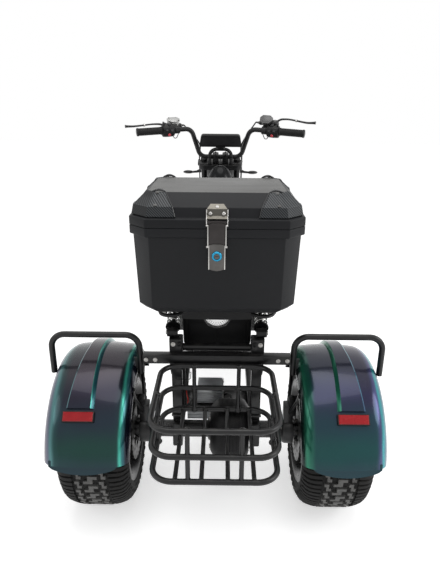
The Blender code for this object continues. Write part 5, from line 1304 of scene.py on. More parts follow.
def rearSubframe():
    axle = rearAxle.z
    mesh = bmesh.new()
    for side in (-1, 1):
        x = side * 0.125
        squareTube(mesh, (x, 0.022, axle), (x, 0.425, 0.2705), 0.032, 0.040)
        squareTube(mesh, (x, 0.0, axle + 0.035), (x, -0.015, 0.579), 0.032, 0.030)
        block(mesh, (x - 0.0158, -0.0415, axle - 0.0415), (x + 0.0158, 0.0415, axle + 0.0415), bevel=0.004)
        spin(mesh, [(x - 0.0165, 0.0118), (x - 0.0165, 0.0268), (x - 0.014, 0.0278), (x + 0.014, 0.0278),
                    (x + 0.0165, 0.0268), (x + 0.0165, 0.0118)], (0, 0.4402, 0.27), "X", 28, closed=True)
        squareTube(mesh, (x, -0.0085, 0.472), (x, -0.0148, 0.5785), 0.041, 0.037, 0.006)
        for z in (0.30, 0.55):
            block(mesh, (x - 0.0195, -0.022, z - 0.003), (x + 0.0195, 0.012, z + 0.003), bevel=0.0012)
        slabOf(mesh, [(-0.018, 0.4985), (-0.018, 0.466), (0.0, 0.440), (0.012, 0.4985)],
               side * 0.1435 - 0.0015,
               side * 0.1435 + 0.0015, "X", bevel=0.0006)
    bar = [(y - 0.035, z + 0.5175) for y, z in roundRect(0.0148, 0.0148, 0.0035, 3)]
    skin(mesh, [[(x, y, z) for y, z in bar] for x in (-0.2252, 0.2252)])
    slabOf(mesh, roundRect(0.118, 0.0545, 0.004, 2, (0, 0.18)), axle - 0.0020, axle + 0.0070, "Z",
           bevel=0.001)
    sweep(mesh, [(-0.108, -0.006, 0.541), (0.108, -0.006, 0.541)], 0.0118, 18)
    newPiece("rearSubframeWeldment", mesh, "chassis", satinPaint, replaced=("rear_subframe",))

    mesh = bmesh.new()
    for side in (-1, 1):
        x = side * 0.125
        edge = x + side * 0.0165
        weldBead(mesh, [(edge, -0.0487, 0.5045), (edge, -0.0487, 0.5305)], 0.0016)
        weldBead(mesh, [(x - 0.015, 0.0425, axle + 0.020), (x + 0.015, 0.0425, axle + 0.020)], 0.002)
        weldBead(mesh, [(x - 0.015, -0.017, axle + 0.0425), (x + 0.015, -0.017, axle + 0.0425)], 0.002)
    newPiece("subframeWelds", mesh, "chassis", satinPaint, sharp=60)

    mesh = bmesh.new()
    for side in (-1, 1):
        x = side * 0.125
        boltHead(mesh, (x + side * 0.008, -0.0345, 0.5625), (0, -1, 0.06), 0.0048, 0.005)
        boltHead(mesh, (side * 0.187, -0.0502, 0.5175), (0, -1, 0), 0.0045, 0.0035, "round")
        boltHead(mesh, (side * 0.215, -0.0502, 0.5175), (0, -1, 0), 0.0045, 0.0035, "round")
        boltHead(mesh, (side * 0.142, 0.4402, 0.27), (side, 0, 0), 0.008, 0.006)
        for y in (-0.030, 0.030):
            boltHead(mesh, (x, y, axle - 0.0418), (0, 0, -1), 0.005, 0.004)
    newPiece("subframeBolts", mesh, "chassis", brightSteel)
    mesh = bmesh.new()
    for side in (-1, 1):
        spin(mesh, [(-0.0338, 0.0072), (-0.0368, 0.0072), (-0.0372, 0.0040), (-0.0345, 0.0036)],
             (side * 0.1135, 0, 0.5620), "Y", 22)
    newPiece("subframeBushes", mesh, "chassis", blackPlastic)


def weldBead(mesh, path, radius):
    # overlapping ripples along a line
    path = [Vector(p) for p in path]
    count = max(3, int((path[-1] - path[0]).length / (radius * 1.1)))
    points = [path[0].lerp(path[-1], i / count) for i in range(count + 1)]
    sweep(mesh, points, [radius * (1.0 if i % 2 else 0.78) for i in range(count + 1)], 8)


def axleAndMotor():
    axle = rearAxle.z
    centre = (0, 0, axle)
    mesh = bmesh.new()
    spin(mesh, [(-0.0195, 0.068), (-0.0175, 0.072), (-0.008, 0.088), (0.004, 0.096), (0.010, 0.0985),
                (0.084, 0.0985),
                (0.092, 0.095), (0.1035, 0.080), (0.1045, 0.076)], centre, "X", 56)
    for x in (0.018, 0.030, 0.042, 0.054, 0.066, 0.078):
        spin(mesh, [(x - 0.0022, 0.0975), (x - 0.0016, 0.0996), (x + 0.0016, 0.0996), (x + 0.0022, 0.0975)],
             centre,
             "X", 56)
    newPiece("motorDrum", mesh, "chassis", motorBlack, replaced=("rear_axle",), sharp=30)
    mesh = bmesh.new()
    for i in range(8):
        angle = 2 * math.pi * (i + 0.5) / 8
        for x, side, r in ((0.1040, 1, 0.070), (-0.0190, -1, 0.062)):
            boltHead(mesh, (x, r * math.cos(angle), axle + r * math.sin(angle)), (side, 0, 0), 0.0042, 0.004)
    newPiece("motorBolts", mesh, "chassis", brightSteel)

    mesh = bmesh.new()
    for side in (-1, 1):
        near = 0.1042 if side > 0 else 0.0192
        spin(mesh, [(side * near, 0.040), (side * (near + 0.006), 0.036), (side * (near + 0.010), 0.0278),
                    (side * 0.2500, 0.0278)], centre, "X", 32)
        spin(mesh, [(side * 0.2125, 0.036), (side * 0.216, 0.041), (side * 0.224, 0.0445), (side * 0.2495,
                                                            0.0445),
                    (side * 0.2498, 0.040)], centre, "X", 36)
        block(mesh, (min(side * 0.2185, side * 0.2495), -0.0215, axle), (max(side * 0.2185, side * 0.2495),
                                                            0.0215, axle + 0.0985),
              bevel=0.004)
    newPiece("axleTube", mesh, "chassis", satinPaint)

    mesh = bmesh.new()
    for side in (-1, 1):
        low, high = axle + 0.0635, axle + 0.1172
        inner, outer = 0.2350, 0.2575
        a, b = sorted((side * inner, side * outer))
        block(mesh, (a, -0.0235, low), (b, 0.0235, high), bevel=0.005)
        a, b = sorted((side * 0.2722, side * 0.2806))
        block(mesh, (a, -0.0235, low), (b, 0.0235, high), bevel=0.003)
        a, b = sorted((side * 0.2560, side * 0.2730))
        block(mesh, (a, -0.0225, axle + 0.1062), (b, 0.0225, high - 0.0006), bevel=0.003)
    newPiece("brakeCalipers", mesh, "chassis", motorBlack)
    mesh = bmesh.new()
    for side in (-1, 1):
        for y in (-0.013, 0.013):
            boltHead(mesh, (side * 0.2345, y, axle + 0.085), (-side, 0, 0), 0.0050, 0.005)
        for i in range(4):
            angle = math.pi / 4 + math.pi / 2 * i
            boltHead(mesh, (side * 0.2122, 0.033 * math.cos(angle), axle + 0.033 * math.sin(angle)), (-side,
                                                            0, 0), 0.0036, 0.003)
    newPiece("axleBolts", mesh, "chassis", brightSteel)


def finnedBox(name, low, high, finDirection, replaced):
    # extruded aluminium box with fins on top and on its rear, and an end plate with screws
    (x0, y0, z0), (x1, y1, z1) = low, high
    mesh = bmesh.new()
    block(mesh, (x0, y0 + 0.004, z0), (x1 - 0.004, y1, z1 - 0.010), bevel=0.0015)
    if finDirection == "top":
        for i in range(11):
            y = y0 + 0.004 + (y1 - y0 - 0.008) * i / 10
            block(mesh, (x0 + 0.001, y - 0.0011, z1 - 0.012), (x1 - 0.005, y + 0.0011, z1 - 0.0004),
                  bevel=0.0005)
    for i in range(6):
        z = z0 + 0.005 + (z1 - z0 - 0.018) * i / 5
        block(mesh, (x0 + 0.001, y0 + 0.0005, z - 0.0011), (x1 - 0.005, y0 + 0.006, z + 0.0011), bevel=0.0005)
    newPiece(name + "Fins", mesh, "chassis", castAlloy, replaced=replaced)
    mesh = bmesh.new()
    block(mesh, (x1 - 0.0042, y0 + 0.0006, z0 + 0.0003), (x1 - 0.0004, y1 - 0.0004, z1 - 0.0045),
          bevel=0.0012)
    newPiece(name + "EndPlate", mesh, "chassis", paleAlloy)
    mesh = bmesh.new()
    for y in (y0 + 0.010, y1 - 0.010):
        for z in (z0 + 0.008, z1 - 0.014):
            boltHead(mesh, (x1 - 0.0006, y, z), (1, 0, 0), 0.0026, 0.002, "round")
    newPiece(name + "Screws", mesh, "chassis", darkSteel)


def axleLeads():
    # leads tied along the left upright and arm, and the motor's lead tied to the tray
    mesh = bmesh.new()
    axle = rearAxle.z
    for offset, radius in ((0.0, 0.0046), (0.0098, 0.0038)):
        path = [(-0.104 + offset, -0.012, 0.475), (-0.1035 + offset, -0.005, 0.42), (-0.104 + offset, 0.004,
                                                            0.35),
                (-0.104 + offset, 0.012, 0.30), (-0.102 + offset, 0.060, 0.272), (-0.092 + offset, 0.110,
                                                            0.268),
                (-0.080 + offset * 0.4, 0.150, 0.2655)]
        line = softPath(path, 12)
        ripple = [radius * (1.0 if i % 2 else 0.86) for i in range(len(line))]
        sweep(mesh, line, ripple, 10)
    sweep(mesh, softPath([(0.050, 0.094, axle + 0.052), (0.046, 0.116, axle + 0.058), (0.036, 0.140,
                                                            axle + 0.048),
                          (0.0235, 0.150, axle + 0.035)], 8), 0.0042, 10)
    newPiece("wiringSleeves", mesh, "chassis", hoseRubber, sharp=60)
    mesh = bmesh.new()
    sweep(mesh, softPath([(-0.0985, 0.001, 0.400), (-0.0962, -0.004, 0.372), (-0.0925, -0.001, 0.345),
                          (-0.0965, 0.006, 0.325)], 8), 0.0016, 8)
    newPiece("redWire", mesh, "chassis", wireRed, sharp=60)
    mesh = bmesh.new()
    for z, y in ((0.44, -0.008), (0.335, 0.006)):
        loop = [(x - 0.105, yy + y, z) for x, yy in roundRect(0.0225, 0.0235, 0.006, 3)]
        sweep(mesh, loop, 0.0013, 6, closed=True)
    newPiece("cableTies", mesh, "chassis", blackPlastic)


lampSilver = surface("lampSilver", {"colour": (0.86, 0.86, 0.86), "second": (0.80, 0.80, 0.80), "metal": 0.0,
                                    "rough": (0.2, 0.3), "grain": 120.0, "bump": 0.04, "specular": 0.8})
# painted glint: the white reflector glows a little
lampWhiteGlint = surface("lampWhiteGlint", {"colour": (0.90, 0.90, 0.90), "second": (0.80, 0.80, 0.81),
                                  "rough": (0.2, 0.3),
                                  "grain": 160.0, "bump": 0.1, "specular": 0.8, "glintGlow": 0.45})
lampGlass = lampGlassFinish()
panelBlack = surface("panelBlack", {"colour": (0.004, 0.004, 0.0045), "second": (0.006, 0.006, 0.0065),
                                    "rough": (0.5, 0.62), "grain": 900.0, "bump": 0.15, "specular": 0.12,
                                    "dust": 0.05})
springSteel = surface("springSteel", {"colour": (0.62, 0.62, 0.60), "second": (0.42, 0.42, 0.41),
                                      "metal": 1.0,
                                      "rough": (0.16, 0.3), "grain": 300.0, "bump": 0.05})
bottleSteel = surface("bottleSteel", {"colour": (0.34, 0.36, 0.37), "second": (0.24, 0.26, 0.27),
                                      "metal": 1.0,
                                      "rough": (0.18, 0.30), "grain": 300.0, "bump": 0.05})
labelGreen = surface("labelGreen", {"colour": (0.42, 0.50, 0.05), "second": (0.48, 0.56, 0.08),
                                    "rough": (0.4, 0.5),
                                    "grain": 200.0, "bump": 0.03})
motorBlack = surface("motorBlack", {"colour": (0.0045, 0.0045, 0.005), "second": (0.008, 0.008, 0.0085),
                                    "rough": (0.38, 0.55), "grain": 500.0, "bump": 0.25, "dust": 0.05,
                                    "specular": 0.16})
paleAlloy = surface("paleAlloy", {"colour": (0.56, 0.56, 0.55), "second": (0.46, 0.46, 0.45), "metal": 0.9,
                                  "rough": (0.28, 0.42), "grain": 500.0, "bump": 0.08})
wireRed = surface("wireRed", {"colour": (0.45, 0.02, 0.012), "rough": (0.35, 0.45), "grain": 200.0,
                              "bump": 0.05})
caseCarrier()
tailLight()
tailPanel()
for shockSide in (-1, 1):
    shockAbsorber(shockSide)
rearSubframe()
axleAndMotor()
finnedBox("controller", (-0.07, 0.135, 0.2458), (0.024, 0.225, 0.3034), "top", ("controller",))
finnedBox("converter", (-0.105, 0.1262, 0.1852), (0.017, 0.2298, 0.2350), "rear", ("converter",))
axleLeads()
print("rear end made")
# Handlebar, controls, display, fork and lights, all in the raked steering frame
barShape = {"ahead": 0.017, "height": 0.829, "radius": 0.0108, "bends": ((0.097, 0, 0),
                                                            (0.138, -0.015, 0.128),
            (0.375, -0.12, 0.116))}


def barAt(x, dy, dz):
    # a level offset from the bar's middle, turned into the raked frame
    c, s = math.cos(rake), math.sin(rake)
    return Vector((x, barShape["ahead"] + dy * c + dz * s, barShape["height"] + dz * c - dy * s))


def barRun(side):
    # end of the bar, its outward, forward and upward directions
    (_, _, _), (bx, by, bz), (cx, cy, cz) = barShape["bends"]
    end = barAt(side * cx, cy, cz)
    outward = (end - barAt(side * bx, by, bz)).normalized()
    ahead = (Vector((0, 1, 0)) - outward * outward.y).normalized()
    return end, outward, ahead, outward.cross(ahead) * side


def steerPiece(name, mesh, finish, replaced=(), sharp=35):
    return newPiece(name, mesh, "steering", finish, place=steerFrame, replaced=replaced, sharp=sharp)


def sleeveOn(mesh, side, stations, sides=28):
    # rings along the bar's outer run; stations are (distance from the end, radius)
    end, outward, ahead, up = barRun(side)
    rings = []
    for distance, radius in stations:
        centre = end - outward * distance
        ring = []
        for k in range(sides):
            angle = 2 * math.pi * k / sides
            ring.append(centre + (ahead * math.cos(angle) + up * math.sin(angle)) * radius)
        rings.append(ring)
    skin(mesh, rings)


def bar():
    mesh = bmesh.new()
    right = [barAt(*point) for point in barShape["bends"]]
    left = [barAt(-x, y, z) for x, y, z in barShape["bends"]]
    sweep(mesh, roundPath(list(reversed(left)) + right, 0.038, 8), barShape["radius"], 20)
    steerPiece("handlebarTube", mesh, framePaint, ("handlebar",))
    mesh = bmesh.new()
    centre = barAt(0, 0, 0)
    for side in (-1, 1):
        x0, x1 = side * 0.0235 - 0.0145, side * 0.0235 + 0.0145
        block(mesh, (x0, centre.y - 0.0178, 0.8005), (x1, centre.y + 0.0178, centre.z - 0.0006), bevel=0.003)
        block(mesh, (x0, centre.y - 0.0178, centre.z + 0.0006), (x1, centre.y + 0.0178, centre.z + 0.0165),
              bevel=0.004)
    for i in range(7):
        x = -0.0345 + 0.0115 * i
        block(mesh, (x - 0.0012, centre.y - 0.0192, centre.z - 0.012), (x + 0.0012, centre.y - 0.0168,
                                                            centre.z + 0.013), bevel=0.0006)
    steerPiece("barClamp", mesh, framePaint)
    mesh = bmesh.new()
    for x in (-0.0235, 0.0235):
        for y in (-0.0125, 0.0125):
            boltHead(mesh, (x, centre.y + y, centre.z + 0.0160), (0, 0, 1), 0.0036, 0.0036, "round")
    steerPiece("clampBolts", mesh, framePaint)


def grip(side):
    name = "right" if side > 0 else "left"
    mesh = bmesh.new()
    stations = [(-0.003, 0.0150), (-0.0025, 0.0178), (0.0035, 0.0182), (0.0040, 0.0168)]
    for i in range(26):
        s = 0.0065 + 0.0038 * i
        stations += [(s, 0.0160), (s + 0.0008, 0.0167), (s + 0.0020, 0.0167), (s + 0.0028, 0.0160)]
    stations += [(0.1075, 0.0166), (0.1085, 0.0178), (0.1140, 0.0178), (0.1148, 0.0160)]
    sleeveOn(mesh, side, stations)
    steerPiece(name + "Grip", mesh, gripRubber, ("grip_" + name,), sharp=50)
    mesh = bmesh.new()
    sleeveOn(mesh, side, [(-0.0052, 0.0088), (-0.0050, 0.0100), (-0.0025, 0.0104)])
    steerPiece(name + "BarEnd", mesh, framePaint)


def switchBox(side):
    name = "right" if side > 0 else "left"
    end, outward, ahead, up = barRun(side)

    def at(distance, forward, above):
        return end - outward * distance + ahead * forward + up * above
    mesh = bmesh.new()
    stations = ((0.1158, 0.78), (0.1185, 0.97), (0.124, 1.0), (0.1440, 1.03), (0.1446, 0.985), (0.1452, 1.03),
                (0.163, 1.0), (0.170, 0.93), (0.1745, 0.76))
    rings = []
    for distance, swell in stations:
        ring = []
        for k in range(32):
            angle = 2 * math.pi * k / 32
            c, s = math.cos(angle), math.sin(angle)
            forward = 0.0225 * abs(c) ** 0.75 * (1 if c > 0 else -1)
            above = 0.0262 * abs(s) ** 0.75 * (1 if s > 0 else -1)
            ring.append(at(distance, forward * swell, (above - 0.002) * swell))
        rings.append(ring)
    skin(mesh, rings)
    steerPiece(name + "SwitchShell", mesh, blackPlastic, ("switch_" + name,), sharp=40)

    turn = Matrix((outward, ahead, up)).transposed().to_4x4()
    mesh = bmesh.new()
    for distance, above, width, tall in ((0.132, 0.010, 0.012, 0.008), (0.156, 0.008, 0.014, 0.010)):
        turn.translation = at(distance, -0.0232, above)
        block(mesh, (-width / 2, -0.0028, -tall / 2), (width / 2, 0.003, tall / 2), 0.0014, turn)
    turn.translation = at(0.150, 0.004, 0.0248)
    block(mesh, (-0.006, -0.008, -0.002), (0.006, 0.010, 0.0055), 0.002, turn)
    turn.translation = at(0.125, 0.006, 0.0240)
    block(mesh, (-0.004, -0.004, -0.002), (0.004, 0.012, 0.0115), 0.002, turn)
    steerPiece(name + "SwitchKeys", mesh, keyBlack)
    mesh = bmesh.new()
    fresh = bmesh.new()
    spin(fresh, [(0, 0.0070), (0.0030, 0.0070), (0.0042, 0.0060), (0.0044, 0.0030)], axis="Z", steps=24)
    addMesh(mesh, fresh, facing(at(0.145, -0.0205, -0.0125), ahead * -1.0 + up * -0.35))
    steerPiece(name + "SwitchButton", mesh, buttonRed, sharp=40)
    mesh = bmesh.new()
    for distance in (0.1215, 0.1685):
        boltHead(mesh, at(distance, -0.0185, -0.0185), up * -1.0 - ahead * 0.5, 0.0024, 0.0018, "round")
    steerPiece(name + "SwitchScrews", mesh, darkSteel)
    mesh = bmesh.new()
    loop = [at(0.168, -0.006, -0.026), at(0.176, -0.010, -0.036), at(0.187, -0.008, -0.034), at(0.197, 0.0,
                                                            -0.020),
            at(0.206, 0.004, -0.0125)]
    sweep(mesh, softPath(loop, 8), 0.0018, 8)
    steerPiece(name + "SwitchLead", mesh, hoseRubber, sharp=60)


def brakeMaster(side):
    # clamp, cylinder, reservoir with its cap, lever and adjuster
    name = "right" if side > 0 else "left"
    end, outward, ahead, up = barRun(side)
    tilt = math.radians(38 if side > 0 else 4)
    forward = ahead * math.cos(tilt) + up * math.sin(tilt)
    upward = up * math.cos(tilt) - ahead * math.sin(tilt)
    place = end - outward * 0.1876
    master = place + forward * 0.037

    def at(out, fore, above):
        return master + outward * out + forward * fore + upward * above
    turn = Matrix((outward, forward, upward)).transposed().to_4x4()
    mesh = bmesh.new()
    sleeveOn(mesh, side, [(0.1758, 0.0162), (0.1765, 0.0178), (0.1990, 0.0178), (0.1996, 0.0162)])
    turn.translation = place
    block(mesh, (-0.0105, 0.008, -0.0095), (0.0105, 0.036, 0.0095), 0.003, turn)
    sweep(mesh, [at(-0.0298, 0, 0), at(-0.0285, 0, 0), at(-0.012, 0, 0), at(-0.010, 0, 0), at(0.028, 0, 0),
                 at(0.034, 0, 0),
                 at(0.045, 0, 0)], [0.0095, 0.0105, 0.0105, 0.0135, 0.0135, 0.0115, 0.0105], 22)
    turn.translation = master
    block(mesh, (0.028, -0.006, -0.0085), (0.056, 0.016, 0.0085), 0.003, turn)
    steerPiece(name + "MasterBody", mesh, framePaint, ("brake_" + name,))

    mesh = bmesh.new()
    outline = [(0.034, -0.006), (0.034, 0.010), (0.018, 0.0205), (-0.016, 0.0205), (-0.028, 0.008), (-0.026,
                                                            -0.010),
               (-0.010, -0.0205), (0.018, -0.0205)]
    turn.translation = at(0.002, 0.003, 0)
    slabOf(mesh, [(x * 0.92, y * 0.92) for x, y in outline], 0.0065, 0.0235, "Z", 0.002, turn)
    slabOf(mesh, outline, 0.0238, 0.0318, "Z", 0.0018, turn)
    slabOf(mesh, [(x * 0.72, y * 0.72) for x, y in outline], 0.0312, 0.0330, "Z", 0.0008, turn)
    steerPiece(name + "Reservoir", mesh, capGrey if side > 0 else paleAlloy)
    mesh = bmesh.new()
    for x, y in ((0.022, 0.0145), (-0.0165, -0.0145)):
        boltHead(mesh, at(0.002 + x, 0.003 + y, 0.0312), upward, 0.0026, 0.002, "round")
    boltHead(mesh, at(-0.0298, 0, 0), outward * -1.0, 0.0075, 0.0085)
    boltHead(mesh, at(0.042, 0.008, 0.0085), upward, 0.0050, 0.004)
    steerPiece(name + "MasterBolts", mesh, darkSteel)

    mesh = bmesh.new()
    route = [at(0.041, 0.004, 0), at(0.062, 0.022, 0), at(0.085, 0.0265, 0), at(0.110, 0.0265, 0), at(0.150,
                                                            0.0215, 0),
             at(0.190, 0.0165, 0.001), at(0.216, 0.0178, 0.0015), at(0.2235, 0.0185, 0.0018), at(0.2300,
                                                            0.0190, 0.002)]
    line = softPath(route, 6)
    radii = []
    for i in range(len(line)):
        t = i / (len(line) - 1)
        radii.append(0.0072 - 0.0022 * math.sin(math.pi * min(1.0, t / 0.8)) + (0.0014 if t > 0.9 else 0))
    sweep(mesh, line, radii, 16, flat=0.7)
    steerPiece(name + "BrakeLever", mesh, framePaint, sharp=60)
    mesh = bmesh.new()
    sweep(mesh, [at(0.137, 0.0232, 0), at(0.142, 0.0226, 0)], 0.0066, 16)
    steerPiece(name + "LeverJoint", mesh, brightSteel)


def brakeHose(side):
    # the same route as the hose's solid, with a spiral wrap on the right one
    name = "right" if side > 0 else "left"
    end, outward, ahead, up = barRun(side)
    tilt = math.radians(38 if side > 0 else 4)
    forward = ahead * math.cos(tilt) + up * math.sin(tilt)
    upward = up * math.cos(tilt) - ahead * math.sin(tilt)
    start = end - outward * 0.1876 + forward * 0.037 - outward * 0.0303
    x, frontY, lowYoke = side * 0.104, 0.074, 0.5995
    route = [start, start - outward * 0.018, start - outward * 0.035 - upward * 0.02,
             Vector((x, frontY + 0.02, 0.86)),
             Vector((x, frontY, 0.80)), Vector((x, frontY, (0.80 + lowYoke) / 2))]
    if side > 0:
        lean = Matrix.Rotation(-math.radians(25), 3, "X")
        last = lean @ Vector((0.068, 0, 0.1183)) + Vector((0, 0.04, 0))
        route += [Vector((x, frontY, lowYoke)), Vector((x, frontY, 0.39)), Vector((x - 0.004, frontY, 0.26)),
                  last + lean @ Vector((0, 0, 0.05)), last + lean @ Vector((0, 0, 0.02)), last]
    else:
        last = Vector((-0.100, 0.04, lowYoke + 0.0003))
        route += [last + Vector((0, 0, 0.035)), last + Vector((0, 0, 0.015)), last]
    line = softPath(route, 10)
    mesh = bmesh.new()
    sweep(mesh, line, 0.003, 12)
    steerPiece(name + "HoseTube", mesh, hoseRubber, ("brake_hose_" + name,), sharp=60)
    mesh = bmesh.new()
    sweep(mesh, [line[0] - outward * 0.001, line[0] - outward * 0.015], [0.0055, 0.0042], 14)
    sweep(mesh, [line[-1], line[-1] + (line[-2] - line[-1]).normalized() * 0.014], [0.0052, 0.0042], 14)
    steerPiece(name + "HoseEnds", mesh, darkSteel)
    if side > 0:
        mesh = bmesh.new()
        wrap = []
        first, final = 22, 56
        turns = 46
        fine = []
        for a, b in zip(line[first:final], line[first + 1:final + 1]):
            fine += [a.lerp(b, t / 10) for t in range(10)]
        for i, point in enumerate(fine):
            ahead2 = fine[min(i + 1, len(fine) - 1)] - fine[max(i - 1, 0)]
            sideA = ahead2.cross(Vector((0, 1, 0))).normalized()
            sideB = ahead2.cross(sideA).normalized()
            angle = 2 * math.pi * turns * i / len(fine)
            wrap.append(point + (sideA * math.cos(angle) + sideB * math.sin(angle)) * 0.0036)
        sweep(mesh, wrap, 0.0013, 6)
        steerPiece("hoseSpiral", mesh, blackPlastic, sharp=60)


def dashDisplay():
    # arched bracket and the display with a dark face toward the rider
    centre = barAt(0, 0, 0)
    legY = centre.y - 0.011 - 0.0003 - 0.0095
    archZ = centre.z + 0.048
    mesh = bmesh.new()
    corners = [(-0.051, legY, 0.8003), (-0.051, legY, archZ), (0.051, legY, archZ), (0.051, legY, 0.8003)]
    sweep(mesh, roundPath(corners, 0.034, 10), 0.0082, 18)
    for side in (-1, 1):
        block(mesh, (side * 0.051 - 0.0088, legY - 0.0088, 0.8004), (side * 0.051 + 0.0088, legY + 0.0088,
                                                            0.8105), bevel=0.002)
        block(mesh, (side * 0.051 - 0.0080, legY - 0.0082, centre.z + 0.004), (side * 0.051 + 0.0080,
                                                            legY + 0.0082, centre.z + 0.014),
              bevel=0.002)
    top = archZ + 0.0095
    block(mesh, (-0.022, legY - 0.0078, archZ - 0.001), (0.022, legY + 0.0078, top + 0.0058), bevel=0.003)
    steerPiece("displayArch", mesh, framePaint, ("display_bracket",))

    low = top + 0.006 + 0.0004
    half, tall = 0.0995, 0.0555
    mesh = bmesh.new()

    def face(shrink, lift=0.0):
        # rounded outline, narrower at the top
        points = []
        for x, z in roundRect(half - shrink, tall / 2 - shrink, 0.011, 6):
            taper = 1.0 - 0.09 * (z + tall / 2) / tall
            points.append((x * taper, z + low + tall / 2 + lift))
        return points
    rings = []
    for y, shrink in ((legY + 0.0135, 0.006), (legY + 0.0120, 0.001), (legY - 0.006, 0.0), (legY - 0.0125,
                                                            0.0012),
                      (legY - 0.0142, 0.0040)):
        rings.append([(x, y, z) for x, z in face(shrink)])
    skin(mesh, rings)
    block(mesh, (-0.0955, legY - 0.0148, low + 0.0005), (0.0955, legY - 0.004, low + 0.0105), bevel=0.003)
    steerPiece("displayShell", mesh, displayBlack, ("display",), sharp=30)
    mesh = bmesh.new()
    rings = [[(x, y, z) for x, z in face(0.0085, 0.0035)] for y in (legY - 0.0138, legY - 0.0146)]
    skin(mesh, rings)
    steerPiece("displayFace", mesh, displayGlass)
    mesh = bmesh.new()
    for x in (-0.018, 0.018):
        boltHead(mesh, (x, legY - 0.0080, archZ + 0.008), (0, -1, 0), 0.003, 0.0025, "round")
    steerPiece("displayBolts", mesh, darkSteel)


def forkAssembly():
    mesh = bmesh.new()
    for low, high in ((0.7745, 0.7998), (0.5740, 0.5993)):
        outline = roundRect(0.1045, 0.0375, 0.026, 6, (0, 0.02))
        waist = [(x, y + (0.010 if y < 0.0 and abs(x) < 0.055 else 0)) for x, y in outline]
        slabOf(mesh, waist, low, high, "Z", bevel=0.003)
    sweep(mesh, [(0, 0, 0.590), (0, 0, 0.795)], 0.0124, 24)
    spin(mesh, [(0.7996, 0.0155), (0.8080, 0.0155), (0.8095, 0.0135)], (0, 0, 0), "Z", 6)
    steerPiece("forkYokes", mesh, framePaint, ("fork",))
    mesh = bmesh.new()
    for side in (-1, 1):
        x = side * 0.08
        sweep(mesh, [(x, 0.04, 0.372), (x, 0.04, 0.8005)], 0.0144, 28)
    steerPiece("forkTubes", mesh, framePaint)
    mesh = bmesh.new()
    for side in (-1, 1):
        x = side * 0.08
        spin(mesh, [(0.8000, 0.0168), (0.8075, 0.0168), (0.8108, 0.0150), (0.8118, 0.0095)], (x, 0.04, 0),
             "Z", 28)
        spin(mesh, [(0.3705, 0.0188), (0.366, 0.0194), (0.3475, 0.0194), (0.345, 0.0184), (0.30, 0.0184),
                    (0.06, 0.0176),
                    (0.035, 0.0188), (-0.0285, 0.0188), (-0.0298, 0.016)], (x, 0.04, 0), "Z", 28)
        for z in (0.787, 0.5868):
            block(mesh, (side * 0.1043 - 0.0055, 0.020, z - 0.008), (side * 0.1043 + 0.0008, 0.060,
                                                            z + 0.008), bevel=0.002)
    steerPiece("forkSliders", mesh, framePaint)
    mesh = bmesh.new()
    for side in (-1, 1):
        for z in (0.787, 0.5868):
            boltHead(mesh, (side * 0.1052, 0.052, z), (side, 0, 0), 0.0036, 0.003, "round")
        sweep(mesh, [(side * 0.0985, 0.04, 0), (side * 0.1035, 0.04, 0)], 0.0125, 6)
    sweep(mesh, [(-0.1035, 0.04, 0), (0.1035, 0.04, 0)], 0.0079, 18)
    steerPiece("forkBolts", mesh, darkSteel)
    # caliper on the right leg, astride the disc
    mesh = bmesh.new()
    turn = Matrix.Translation((0, 0.04, 0)) @ Matrix.Rotation(-math.radians(25), 4, "X")
    disc = frontDiscX
    for low, high in ((disc - 0.0178, disc - 0.0075), (disc + 0.0075, 0.0795)):
        block(mesh, (low, -0.0236, 0.0625), (high, 0.0236, 0.1178), 0.004, turn)
    block(mesh, (disc - 0.009, -0.0225, 0.1062), (disc + 0.009, 0.0225, 0.1176), 0.003, turn)
    steerPiece("frontCaliper", mesh, motorBlack)


def headLamp():
    y, z = 0.0548, 0.69
    mesh = bmesh.new()
    depth, r = 0.105, 0.075
    spin(mesh, [(y, r * 0.38), (y + 0.010, r * 0.42), (y + depth * 0.29, r * 0.72), (y + depth * 0.50,
                                                            r * 0.93),
                (y + depth * 0.68, r), (y + depth * 0.93, r), (y + depth * 0.97, r * 0.975),
                (y + depth * 0.95, r * 0.90),
                (y + depth * 0.78, r * 0.86), (y + depth * 0.50, r * 0.5), (y + depth * 0.45, 0.012)],
         (0, 0, z), "Y", 48)
    block(mesh, (-0.0918, y + 0.0002, z - 0.0118), (0.0918, y + 0.0058, z + 0.0118), bevel=0.002)
    steerPiece("headlampShell", mesh, glossCowl, ("headlight",), sharp=40)
    mesh = bmesh.new()
    spin(mesh, [(y + depth * 0.935, r * 0.885), (y + depth * 0.79, r * 0.85), (y + depth * 0.52, r * 0.5),
                (y + depth * 0.47, 0.01)], (0, 0, z), "Y", 48)
    steerPiece("headlampBowl", mesh, lampSilver, sharp=60)
    mesh = bmesh.new()
    profile = [(y + depth * 0.945, r * 0.89), (y + depth * 0.975, r * 0.6), (y + depth * 0.99, 0.001)]
    spin(mesh, profile + [(a - 0.0015, b) for a, b in reversed(profile)], (0, 0, z), "Y", 48)
    steerPiece("headlampLens", mesh, lampGlass, sharp=60)


